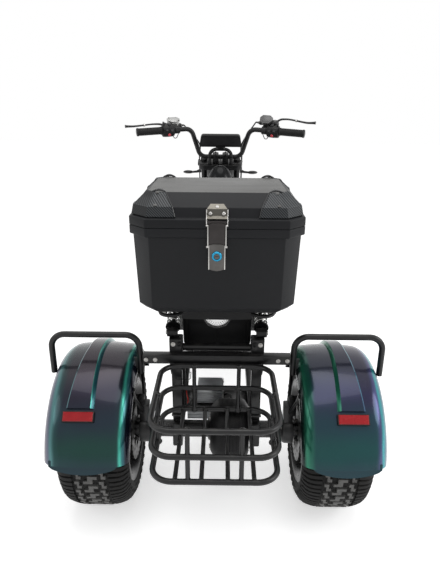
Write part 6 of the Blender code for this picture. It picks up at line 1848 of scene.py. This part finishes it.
def turnSignal(side):
    name = "right" if side > 0 else "left"
    x, y, z = 0.158, 0.04, 0.735

    def pod(stations):
        # level rings, the raked frame turned back upright
        mesh, rings, back = bmesh.new(), [], Matrix.Rotation(-rake * 1.5, 4, "X")
        for along, half in stations:
            rings.append([Vector((x, y, z)) + back @ Vector((0.0262 * half * math.cos(2 * math.pi * k / 28),
                                                            along,
                          0.0088 * half * math.sin(2 * math.pi * k / 28))) for k in range(28)])
        skin(mesh, rings)
        return mesh
    mesh = pod(((-0.0215, 0.30), (-0.019, 0.62), (-0.012, 0.90), (-0.004, 1.0), (0.006, 0.98), (0.012, 0.9),
                (0.014, 0.8)))
    sweep(mesh, [(0.0950, y, z + 0.006), (0.106, y, z + 0.006), (0.118, y, z + 0.002), (x - 0.018, y, z)],
          [0.0078, 0.0078, 0.0058, 0.0052], 14)
    steerPiece(name + "SignalShell", mirrored(mesh, side), glossCowl, ("signal_" + name,),
               sharp=50)
    mesh = pod(((0.0136, 0.84), (0.0160, 0.78), (0.0200, 0.52), (0.0214, 0.25)))
    steerPiece(name + "SignalLens", mirrored(mesh, side), amberLens, sharp=50)


def frontFender():
    # thin arched skin with a rolled edge, a bridge between the fork legs and bolts
    inner = 0.2435
    half = 0.0565
    mesh = bmesh.new()
    section = []
    for k in range(17):
        t = -1 + 2 * k / 16
        section.append((half * t, inner + 0.0078 * (1 - abs(t) ** 3) - (0.010 if abs(t) == 1 else 0.0)))
    under = [(x * 0.955, r - 0.0024) for x, r in reversed(section)]
    loop = section + under
    rings = []
    for i in range(37):
        angle = math.radians(12 + 145 * i / 36) + rake
        rings.append([(x, 0.04 + r * math.cos(angle), r * math.sin(angle)) for x, r in loop])
    skin(mesh, rings)
    block(mesh, (-0.0598, 0.029, inner - 0.0045), (0.0598, 0.051, inner + 0.0055), bevel=0.002)
    steerPiece("frontFenderSkin", mesh, framePaint, ("front_fender",), sharp=40)
    mesh = bmesh.new()
    for x in (-0.035, 0.035):
        boltHead(mesh, (x, 0.04, inner + 0.0054), (0, 0, 1), 0.0045, 0.0035, "round")
    steerPiece("frontFenderBolts", mesh, darkSteel)


keyBlack = surface("keyBlack", {"colour": (0.022, 0.022, 0.024), "rough": (0.25, 0.4), "grain": 600.0,
                                "bump": 0.06,
                                "specular": 0.5})
buttonRed = surface("buttonRed", {"colour": (0.50, 0.03, 0.045), "second": (0.62, 0.06, 0.08),
                                  "rough": (0.25, 0.35),
                                  "grain": 200.0, "bump": 0.03})
capGrey = surface("capGrey", {"colour": (0.085, 0.085, 0.085), "second": (0.12, 0.12, 0.12), "rough": (0.38,
                                                            0.5),
                              "grain": 500.0, "bump": 0.12, "metal": 0.5})
displayBlack = surface("displayBlack", {"colour": (0.005, 0.005, 0.0055), "rough": (0.28, 0.4),
                                        "grain": 500.0,
                                        "bump": 0.06, "specular": 0.12})
displayGlass = surface("displayGlass", {"colour": (0.012, 0.012, 0.013), "second": (0.016, 0.016, 0.017),
                                        "rough": (0.16, 0.24), "grain": 200.0, "bump": 0.01,
                                        "specular": 0.35})
frontDiscX = 0.0445
bar()
for barSide in (-1, 1):
    grip(barSide)
    switchBox(barSide)
    brakeMaster(barSide)
    brakeHose(barSide)
    turnSignal(barSide)
dashDisplay()
forkAssembly()
headLamp()
frontFender()
print("steering made")
# Main frame: tubes laid on the same centre lines as the solids, with weld beads at the joints
rakeBase = (1.38241, 0.21511)


def fromSteer(x, y, z):
    c, s = math.cos(rake), math.sin(rake)
    return (x, rakeBase[0] + y * c - z * s, rakeBase[1] + y * s + z * c)


def ringWeld(mesh, centre, direction, radius, bead=0.0028):
    # a rippled fillet where one tube meets another
    turn = facing(centre, direction)
    path = [turn @ Vector((radius * math.cos(2 * math.pi * k / 40), radius * math.sin(2 * math.pi * k / 40),
                           0))
            for k in range(40)]
    sweep(mesh, path, [bead * (1.0 if k % 2 else 0.82) for k in range(40)], 8, closed=True)


def mainFrame():
    tubes = bmesh.new()
    welds = bmesh.new()
    headLow, headHigh = Vector(fromSteer(0, 0, 0.60)), Vector(fromSteer(0, 0, 0.765))
    axis = (headHigh - headLow).normalized()
    fresh = bmesh.new()
    high = (headHigh - headLow).length
    spin(fresh, [(0, 0.0142), (0, 0.0296), (0.003, 0.0300), (0.016, 0.0300), (0.020, 0.0278), (high - 0.020,
                                                            0.0278),
                 (high - 0.016, 0.0300), (high - 0.003, 0.0300), (high, 0.0296), (high, 0.0142)], axis="Z",
         steps=40,
         closed=True, caps=False)
    addMesh(tubes, fresh, facing(headLow, axis))
    for side in (-1, 1):
        runs = (
            ([fromSteer(side * 0.022, -0.02, 0.715), (side * 0.06, 1.05, 0.42), (side * 0.12, 1.0, 0.245),
              (side * 0.12, 0.4702, 0.245)], 0.06, 0.0188),
            ([(side * 0.085, -0.03, 0.66), (side * 0.085, 0.15, 0.66), (side * 0.085, 0.22, 0.625),
              (side * 0.085, 0.73, 0.625)], 0.06, 0.0138),
            ([(side * 0.085, 0.4402, 0.27), (side * 0.085, 0.4402, 0.46), (side * 0.085, 0.3402, 0.625)],
             0.06, 0.0129),
            ([(side * 0.12, 0.70, 0.245), (side * 0.12, 0.70, 0.55), (side * 0.085, 0.70, 0.625)], 0.03,
             0.0129))
        for points, bend, radius in runs:
            sweep(tubes, roundPath(points, bend, 8), radius, 24)
        ringWeld(welds, (side * 0.12, 0.70, 0.2635), (0, 0, 1), 0.0128)
        ringWeld(welds, (side * 0.085, 0.70, 0.6115), (0, 0, 1), 0.0130)
        ringWeld(welds, (side * 0.085, 0.3402, 0.6115), (0, -0.5, 1), 0.0130)
        ringWeld(welds, (side * 0.085, 0.4402, 0.2915), (0, 0, 1), 0.0130)
        ringWeld(welds, fromSteer(side * 0.0285, -0.0205, 0.700), (side * 0.25, 0.3, -1), 0.0192)
        # front mounts of the saddle pan
        block(tubes, (side * 0.085 - 0.016, 0.600, 0.6375), (side * 0.085 + 0.016, 0.640, 0.6392),
              bevel=0.0005)
    for place, reach, radius in (((0.5152, 0.245), 0.12, 0.0119), ((0.625, 0.245), 0.12, 0.0119),
                                 ((0.94, 0.245), 0.12, 0.0119), ((0.70, 0.625), 0.085, 0.0109),
                                 ((0.14, 0.66), 0.085, 0.0109)):
        y, z = place
        sweep(tubes, [(-reach, y, z), (reach, y, z)], radius, 20)
        for side in (-1, 1):
            ringWeld(welds, (side * (reach - 0.0175), y, z), (1, 0, 0), radius, 0.0024)
    spin(tubes, [(-0.1085, 0.0120), (-0.1085, 0.0205), (-0.1070, 0.0219), (-0.095, 0.0219), (0.095, 0.0219),
                 (0.1070, 0.0219), (0.1085, 0.0205), (0.1085, 0.0120)], (0, 0.4402, 0.27), "X", 32)
    newPiece("frameTubes", tubes, "chassis", framePaint, place=trikeFrame,
             replaced=("main_frame",), sharp=40)
    newPiece("frameWelds", welds, "chassis", satinPaint, place=trikeFrame, sharp=60)

    mesh = bmesh.new()
    # plate from the head tube to the down tubes, under the cowl
    outline = [fromSteer(0, 0.0, 0.745)[1:], fromSteer(0, -0.012, 0.66)[1:], (1.030, 0.745), (0.990, 0.800),
               (0.955, 0.8585),
               (1.035, 0.8585)]
    slabOf(mesh, [(y, z) for y, z in outline], -0.0195, 0.0195, "X", 0.002)
    newPiece("neckGusset", mesh, "chassis", framePaint, place=trikeFrame)
    mesh = bmesh.new()
    sweep(mesh, [(-0.1445, 0.4402, 0.27), (0.1445, 0.4402, 0.27)], 0.0098, 20)
    for side in (-1, 1):
        sweep(mesh, [(side * 0.1365, 0.4402, 0.27), (side * 0.1445, 0.4402, 0.27)], 0.0145, 6)
    newPiece("pivotBolt", mesh, "chassis", darkSteel, place=trikeFrame)


def neckCover():
    # smooth oval cap over the steering neck, with a lip round its foot
    y0, y1, z0, z1 = 0.93, 1.045, 0.86, 0.975
    mid, halfY, halfX, high = (y0 + y1) / 2, (y1 - y0) / 2, 0.062, z1 - z0
    mesh = bmesh.new()
    rings = []
    for share, lift in ((0.975, 0.0), (1.0, 0.004), (1.0, 0.010), (0.985, 0.0108), (0.985, 0.0118)):
        rings.append([(halfX * share * math.cos(2 * math.pi * k / 56),
                       mid + halfY * share * math.sin(2 * math.pi * k / 56),
                       z0 + lift) for k in range(56)])
    for i in range(1, 17):
        angle = math.pi / 2 * i / 17
        share, lift = 0.985 * math.cos(angle) ** 0.85, 0.0118 + (high - 0.0118) * math.sin(angle)
        rings.append([(halfX * share * math.cos(2 * math.pi * k / 56),
                       mid + halfY * share * math.sin(2 * math.pi * k / 56),
                       z0 + lift) for k in range(56)])
    skin(mesh, rings)
    newPiece("neckCover", mesh, "chassis", cowlGloss, place=trikeFrame, replaced=("neck_cowl",
                                                            ), sharp=30)


def treadPlate():
    # floor with a raised toe board, turned edges and moulded ribs
    base, thick, y0, y1 = 0.2643, 0.005, 0.72, 0.935
    half = 0.19
    mesh = bmesh.new()
    side = [(y0 + 0.0006, 0.0), (y1, 0.0), (y1 + 0.050, 0.085)]
    smooth = roundPath([(0, y, z) for y, z in side], 0.03, 8)
    upper = [(p[1], base + thick + p[2]) for p in smooth]
    lower = [(p[1], base + p[2]) for p in smooth]
    profile = upper + list(reversed(lower))
    for low, high in ((-half, -half + 0.0035), (half - 0.0035, half)):
        drop = upper + [(y, z - 0.0115) for y, z in reversed(lower)]
        slabOf(mesh, drop, low, high, "X", 0.001)
    slabOf(mesh, profile, -half + 0.003, half - 0.003, "X", 0.0)
    newPiece("footPlate", mesh, "chassis", framePaint, place=trikeFrame,
             replaced=("footboard",), sharp=30)
    mesh = bmesh.new()
    for panel in (-1, 1):
        for i in range(12):
            y = y0 + 0.022 + 0.0165 * i
            if y > y1 - 0.012:
                continue
            block(mesh, (panel * 0.098 - 0.076, y - 0.0032, base + thick - 0.001),
                  (panel * 0.098 + 0.076, y + 0.0032, base + thick + 0.0024), bevel=0.0012)
    for x in range(-3, 4):
        place = Vector((x * 0.05, y1 + 0.026, base + thick + 0.0445))
        turn = facing(place, (0, -0.862, 0.507))
        block(mesh, (-0.0028, -0.030, -0.001), (0.0028, 0.030, 0.0022), 0.001, turn)
    newPiece("treadRibs", mesh, "chassis", gripRubber, place=trikeFrame, sharp=35)
    mesh = bmesh.new()
    for x in (-0.175, 0.0, 0.175):
        for y in (y0 + 0.016, y1 - 0.012):
            boltHead(mesh, (x, y, base + thick), (0, 0, 1), 0.0055, 0.0028, "round")
    newPiece("treadBolts", mesh, "chassis", darkSteel, place=trikeFrame)


def batteryCase():
    x, y0, y1, z0, z1 = 0.0975, 0.4755, 0.6647, 0.2575, 0.6048
    mid, halfY = (y0 + y1) / 2, (y1 - y0) / 2
    mesh = bmesh.new()
    rings = []
    steps = [(z0, -0.005), (z0 + 0.0035, -0.0012), (z0 + 0.008, 0.0)]
    for z in (z0 + 0.075, z0 + 0.145, z0 + 0.215):
        steps += [(z, 0.0), (z + 0.002, -0.0028), (z + 0.007, -0.0028), (z + 0.009, 0.0)]
    steps += [(z1 - 0.052, 0.0), (z1 - 0.0505, -0.0016), (z1 - 0.0485, -0.0016), (z1 - 0.047, 0.0),
              (z1 - 0.008, 0.0),
              (z1 - 0.003, -0.0015), (z1, -0.006)]
    for z, inset in steps:
        rings.append([(px, py, z) for px, py in roundRect(x + inset, halfY + inset, 0.014, 6, (0, mid))])
    skin(mesh, rings)
    newPiece("batteryShell", mesh, "chassis", blackPlastic, place=trikeFrame,
             replaced=("battery_box",), sharp=30)
    mesh = bmesh.new()
    for side in (-1, 1):
        for y in (y0 + 0.035, y1 - 0.035):
            block(mesh, (side * x - 0.0008, y - 0.009, z1 - 0.068), (side * x + 0.0028, y + 0.009,
                                                            z1 - 0.030), bevel=0.0012)
            boltHead(mesh, (side * (x + 0.0026), y, z1 - 0.058), (side, 0, 0), 0.0036, 0.0022, "round")
    # charging socket with its cap, low on the right
    fresh = bmesh.new()
    spin(fresh, [(0, 0.017), (0.004, 0.017), (0.006, 0.0155), (0.0085, 0.0115), (0.0100, 0.0112), (0.0108,
                                                            0.009)],
         axis="Z", steps=28)
    addMesh(mesh, fresh, facing((x - 0.001, mid + 0.02, z0 + 0.045), (1, 0, 0)))
    newPiece("batteryClips", mesh, "chassis", darkSteel, place=trikeFrame)
    mesh = bmesh.new()
    path = [(x * 0.35, y1 - 0.03, z1 - 0.003), (x * 0.35, y1 - 0.03, z1 + 0.010), (-x * 0.35, y1 - 0.03,
                                                            z1 + 0.010),
            (-x * 0.35, y1 - 0.03, z1 - 0.003)]
    sweep(mesh, roundPath(path, 0.009, 6), 0.0034, 12, flat=0.7)
    newPiece("batteryHandle", mesh, "chassis", gripRubber, place=trikeFrame, sharp=60)


saddle = {"rear": 0.243, "length": 0.509, "half": 0.14, "base": 0.6556, "high": 0.105, "dip": 0.030,
          "nose": 0.021,
          "stations": ((0, 0.75), (0.06, 0.93), (0.25, 1.0), (0.5, 0.86), (0.75, 0.55), (0.93, 0.38),
                       (1, 0.26))}


def saddleHalf(along):
    # half width of the saddle at a share of its length
    stations = saddle["stations"]
    for (a, wa), (b, wb) in zip(stations, stations[1:]):
        if a <= along <= b:
            t = (along - a) / (b - a)
            t = t * t * (3 - 2 * t)
            return saddle["half"] * (wa + (wb - wa) * t)
    return saddle["half"] * stations[-1][1]


def saddleTop(along):
    dip = saddle["dip"] * math.sin(math.pi * min(1.0, max(0.0, along)))
    return saddle["high"] - dip + saddle["nose"] * along - 0.021


def saddleRing(shareAcross, shareUp, inset):
    # one closed loop round the saddle at a level, from the rear round the nose and back
    loop = []
    count = 40
    low, high = inset / saddle["length"], 1 - inset / saddle["length"]
    alongs = [low + (high - low) * (0.5 - 0.5 * math.cos(math.pi * k / count)) for k in range(count + 1)]
    for side in (1, -1):
        for along in (alongs if side > 0 else list(reversed(alongs))):
            rounding = min(1.0, math.sqrt(max(0.0, 1 - (1 - min(1.0, along / 0.10)) ** 2)))
            tip = min(1.0, math.sqrt(max(0.0, 1 - (1 - min(1.0, (1 - along) / 0.07)) ** 2)))
            x = (saddleHalf(along) - inset) * shareAcross * max(0.12, rounding) * max(0.12, tip)
            loop.append((side * x, saddle["rear"] + saddle["length"] * along,
                         saddle["base"] + saddleTop(along) * shareUp))
    return loop


def saddlePad():
    # crowned pad, puffed with the cloth solver, then its sewn line and piping
    mesh = bmesh.new()
    rings = []
    for across, up, inset in ((0.90, 0.030, 0.012), (0.955, 0.09, 0.008), (0.965, 0.30, 0.009), (0.975,
                                                            0.55, 0.008),
                              (0.965, 0.74, 0.010), (0.90, 0.89, 0.018), (0.74, 0.965, 0.036), (0.48, 0.99,
                                                            0.070),
                              (0.20, 0.995, 0.110)):
        rings.append(saddleRing(across, up, inset))
    skin(mesh, rings)
    place = trikeFrame
    pad = newPiece("saddlePad", mesh, "chassis", saddleVinyl, place=place,
                   replaced=("seat_cushion",), sharp=80)
    puffSaddle(pad)
    for name, across, up, inset, radius in (("saddlePiping", 0.985, 0.80, 0.0052, 0.0021), ("saddleHem",
                                                            0.965, 0.055, 0.0065, 0.0026)):
        mesh = bmesh.new()
        loop = [Vector(p) for p in saddleRing(across, up, inset)]
        spaced = [loop[0]]
        for point in loop[1:]:
            if (point - spaced[-1]).length > 0.006:
                spaced.append(point)
        sweep(mesh, onSurface(pad, place, spaced, radius * 0.35), radius, 8, closed=True)
        newPiece(name, mesh, "chassis", gripRubber, place=place, sharp=80)
    mesh = bmesh.new()
    for side in (-1, 1):
        line = []
        for k in range(25):
            along = 0.10 + 0.80 * k / 24
            line.append(Vector((side * saddleHalf(along) * 0.48, saddle["rear"] + saddle["length"] * along,
                                saddle["base"] + saddleTop(along) + 0.03)))
        stitched = onSurface(pad, place, line, -0.0002, down=True)
        for a, b in zip(stitched, stitched[1:]):
            step = (b - a)
            for t in (0.0, 0.5):
                start = a + step * t
                sweep(mesh, [start + Vector((0, 0, 0.0002)), start + step * 0.34 + Vector((0, 0, 0.0002))],
                      0.0009, 6)
    newPiece("saddleStitches", mesh, "chassis", stitchThread, place=place, sharp=60)


def onSurface(piece, place, points, lift, down=False):
    # points moved to the pad's own surface
    tree = BVHTree.FromObject(piece, bpy.context.evaluated_depsgraph_get())
    toPiece = piece.matrix_world.inverted() @ place
    fromPiece = toPiece.inverted()
    moved = []
    for point in points:
        local = toPiece @ Vector(point)
        if down:
            hit, normal, _, _ = tree.ray_cast(local, Vector((0, 0, -1)))
        else:
            hit, normal, _, _ = tree.find_nearest(local)
        if hit is None:
            continue
        moved.append(fromPiece @ (hit + normal * lift))
    return moved


def puffSaddle(pad):
    # voxel remesh, cloth under pressure, a cap on the movement, one subdivision
    before = [v.co.copy() for v in pad.data.vertices]
    remesh = pad.modifiers.new("even", "REMESH")
    remesh.mode = "VOXEL"
    remesh.voxel_size = 0.006
    bakeModifiers(pad)
    start = [v.co.copy() for v in pad.data.vertices]
    low = min(v.z for v in start)
    held = pad.vertex_groups.new(name="stapledEdge")
    held.add([i for i, v in enumerate(start) if v.z < low + 0.012], 1.0, "REPLACE")
    cloth = pad.modifiers.new("stuffing", "CLOTH")
    cloth.settings.use_pressure = True
    cloth.settings.uniform_pressure_force = 4.0
    cloth.settings.effector_weights.gravity = 0.0
    cloth.settings.vertex_group_mass = "stapledEdge"
    cloth.settings.tension_stiffness = 18
    cloth.settings.compression_stiffness = 18
    cloth.settings.bending_stiffness = 2
    cloth.point_cache.frame_start = 1
    cloth.point_cache.frame_end = 20
    for step in range(1, 21):
        bpy.context.scene.frame_set(step)
    bakeModifiers(pad)
    bpy.context.scene.frame_set(1)
    cap = 0.008
    for vertex, was in zip(pad.data.vertices, start):
        move = vertex.co - was
        if move.length > cap:
            vertex.co = was + move * (cap / move.length)
    pad.vertex_groups.clear()
    smoother = pad.modifiers.new("even", "SMOOTH")
    smoother.factor = 0.5
    smoother.iterations = 4
    bakeModifiers(pad)
    fine = pad.modifiers.new("fine", "SUBSURF")
    fine.levels = 1
    fine.render_levels = 1
    bakeModifiers(pad)
    for face in pad.data.polygons:
        face.use_smooth = True
    print("saddle stuffed:", len(before), "points at first,", len(pad.data.vertices), "now")


def bakeModifiers(piece):
    # the evaluated shape becomes the mesh
    view = bpy.context.evaluated_depsgraph_get()
    view.update()
    baked = bpy.data.meshes.new_from_object(piece.evaluated_get(view))
    piece.modifiers.clear()
    old = piece.data
    piece.data = baked
    bpy.data.meshes.remove(old)


def saddlePan():
    z0, z1 = 0.6395, 0.6551
    mesh = bmesh.new()
    rings = []
    for across, z in ((0.80, z0), (0.88, z0 + 0.003), (0.895, z1 - 0.004), (0.90, z1)):
        ring = saddleRing(across, 0.0, 0.012)
        rings.append([(x, y, z) for x, y, _ in ring])
    skin(mesh, rings)
    for y in (0.33, 0.42, 0.51):
        block(mesh, (-0.060, y - 0.004, z0 - 0.0035), (0.060, y + 0.004, z0 + 0.001), bevel=0.0015)
    newPiece("saddlePan", mesh, "chassis", blackPlastic, place=trikeFrame,
             replaced=("seat_pan",), sharp=30)


cowlGloss = surface("cowlGloss", {"colour": (0.002, 0.0024, 0.003), "rough": (0.16, 0.24), "grain": 80.0,
                                  "bump": 0.02,
                                  "specular": 0.16, "dust": 0.02})
saddleVinyl = surface("saddleVinyl", {"colour": (0.010, 0.010, 0.011), "second": (0.015, 0.015, 0.016),
                                      "rough": (0.42, 0.58),
                                      "grain": 520.0, "bump": 0.35, "depth": 0.0006, "dust": 0.10,
                                      "specular": 0.45})
stitchThread = surface("stitchThread", {"colour": (0.05, 0.05, 0.052), "rough": (0.6, 0.75),
                                        "grain": 1500.0, "bump": 0.4})
mainFrame()
neckCover()
treadPlate()
batteryCase()
saddlePan()
saddlePad()
print("frame, floor, battery and saddle made")


# White studio: floor with a soft shadow, plain lamps, and a world that shows white to camera and gloss
studio = {"floorColour": 0.86, "floorGlow": 0.55, "worldLight": 0.55,
          "lamps": [("overheadSoftbox", (0.0, -0.7, 3.2), (0.0, -0.3, 0.5), 2.6, 42),
                    ("leftSoftbox", (-2.6, -1.6, 2.0), (0.0, -0.3, 0.5), 1.6, 10),
                    ("rightSoftbox", (2.7, -1.2, 1.9), (0.0, -0.3, 0.5), 1.6, 30)]}


def whiteToViewer(add, link, plain, target):
    # camera, glossy and transmitted rays see white while the rest see the plain value
    path = add("ShaderNodeLightPath")
    seen = maths(add, link, "MAXIMUM", path.outputs["Is Camera Ray"],
                 maths(add, link, "MAXIMUM", path.outputs["Is Glossy Ray"],
                       path.outputs["Is Transmission Ray"]))
    link(rangeOf(add, link, seen, 0.0, 1.0, plain[0], plain[1]), target)


def buildStudio():
    world = bpy.data.worlds.new("studioWorld")
    bpy.context.scene.world = world
    world.use_nodes = True
    tree = world.node_tree

    def add(kind, **values):
        node = tree.nodes.new(kind)
        for key, value in values.items():
            setattr(node, key, value)
        return node

    def link(source, target):
        tree.links.new(source, target)
    back = tree.nodes["Background"]
    back.inputs["Color"].default_value = (1, 1, 1, 1)
    whiteToViewer(add, link, (studio["worldLight"], 1.0), back.inputs["Strength"])

    mesh = bmesh.new()
    edge = 14.0
    skin(mesh, [[(-edge, y, -0.0006), (edge, y, -0.0006)] for y in (-edge, edge)], loop=False)
    data = bpy.data.meshes.new("studioFloor")
    mesh.to_mesh(data)
    mesh.free()
    floor = bpy.data.objects.new("studioFloor", data)
    bpy.context.scene.collection.objects.link(floor)
    paper = bpy.data.materials.new("studioPaper")
    shader, addNode, linkNode = nodeTools(paper)
    shade = studio["floorColour"]
    shader.inputs["Base Color"].default_value = (shade, shade, shade, 1)
    shader.inputs["Roughness"].default_value = 0.9
    shader.inputs["Specular IOR Level"].default_value = 0.0
    shader.inputs["Emission Color"].default_value = (1, 1, 1, 1)
    whiteToViewer(addNode, linkNode, (0.0, studio["floorGlow"]), shader.inputs["Emission Strength"])
    data.materials.append(paper)

    for name, place, target, size, power in studio["lamps"]:
        lamp = bpy.data.lights.new(name, "AREA")
        lamp.shape = "DISK"
        lamp.size = size
        lamp.energy = power
        holder = bpy.data.objects.new(name, lamp)
        holder.location = place
        holder.rotation_euler = (Vector(target) - Vector(place)).to_track_quat("-Z", "Y").to_euler()
        bpy.context.scene.collection.objects.link(holder)


# The photograph's view: from behind and above, a little right of the middle
camera = {"place": (0.0137, -2.086, 1.265), "pitch": 20.6, "turn": 0.22, "roll": 0.53, "lens": 31.94}


def buildCamera():
    data = bpy.data.cameras.new("photoCamera")
    data.sensor_width = 36.0
    data.lens = camera["lens"]
    data.clip_start = 0.05
    holder = bpy.data.objects.new("photoCamera", data)
    tilt = Matrix.Rotation(math.radians(camera["turn"]), 4,
                           "Z") @ Matrix.Rotation(math.radians(90 - camera["pitch"]), 4, "X")
    roll = Matrix.Rotation(math.radians(camera["roll"]), 4, "Z")
    holder.matrix_world = Matrix.Translation(camera["place"]) @ tilt @ roll
    bpy.context.scene.collection.objects.link(holder)
    bpy.context.scene.camera = holder


buildStudio()
buildCamera()
bpy.context.scene.view_settings.view_transform = "Standard"
print("studio and camera ready")
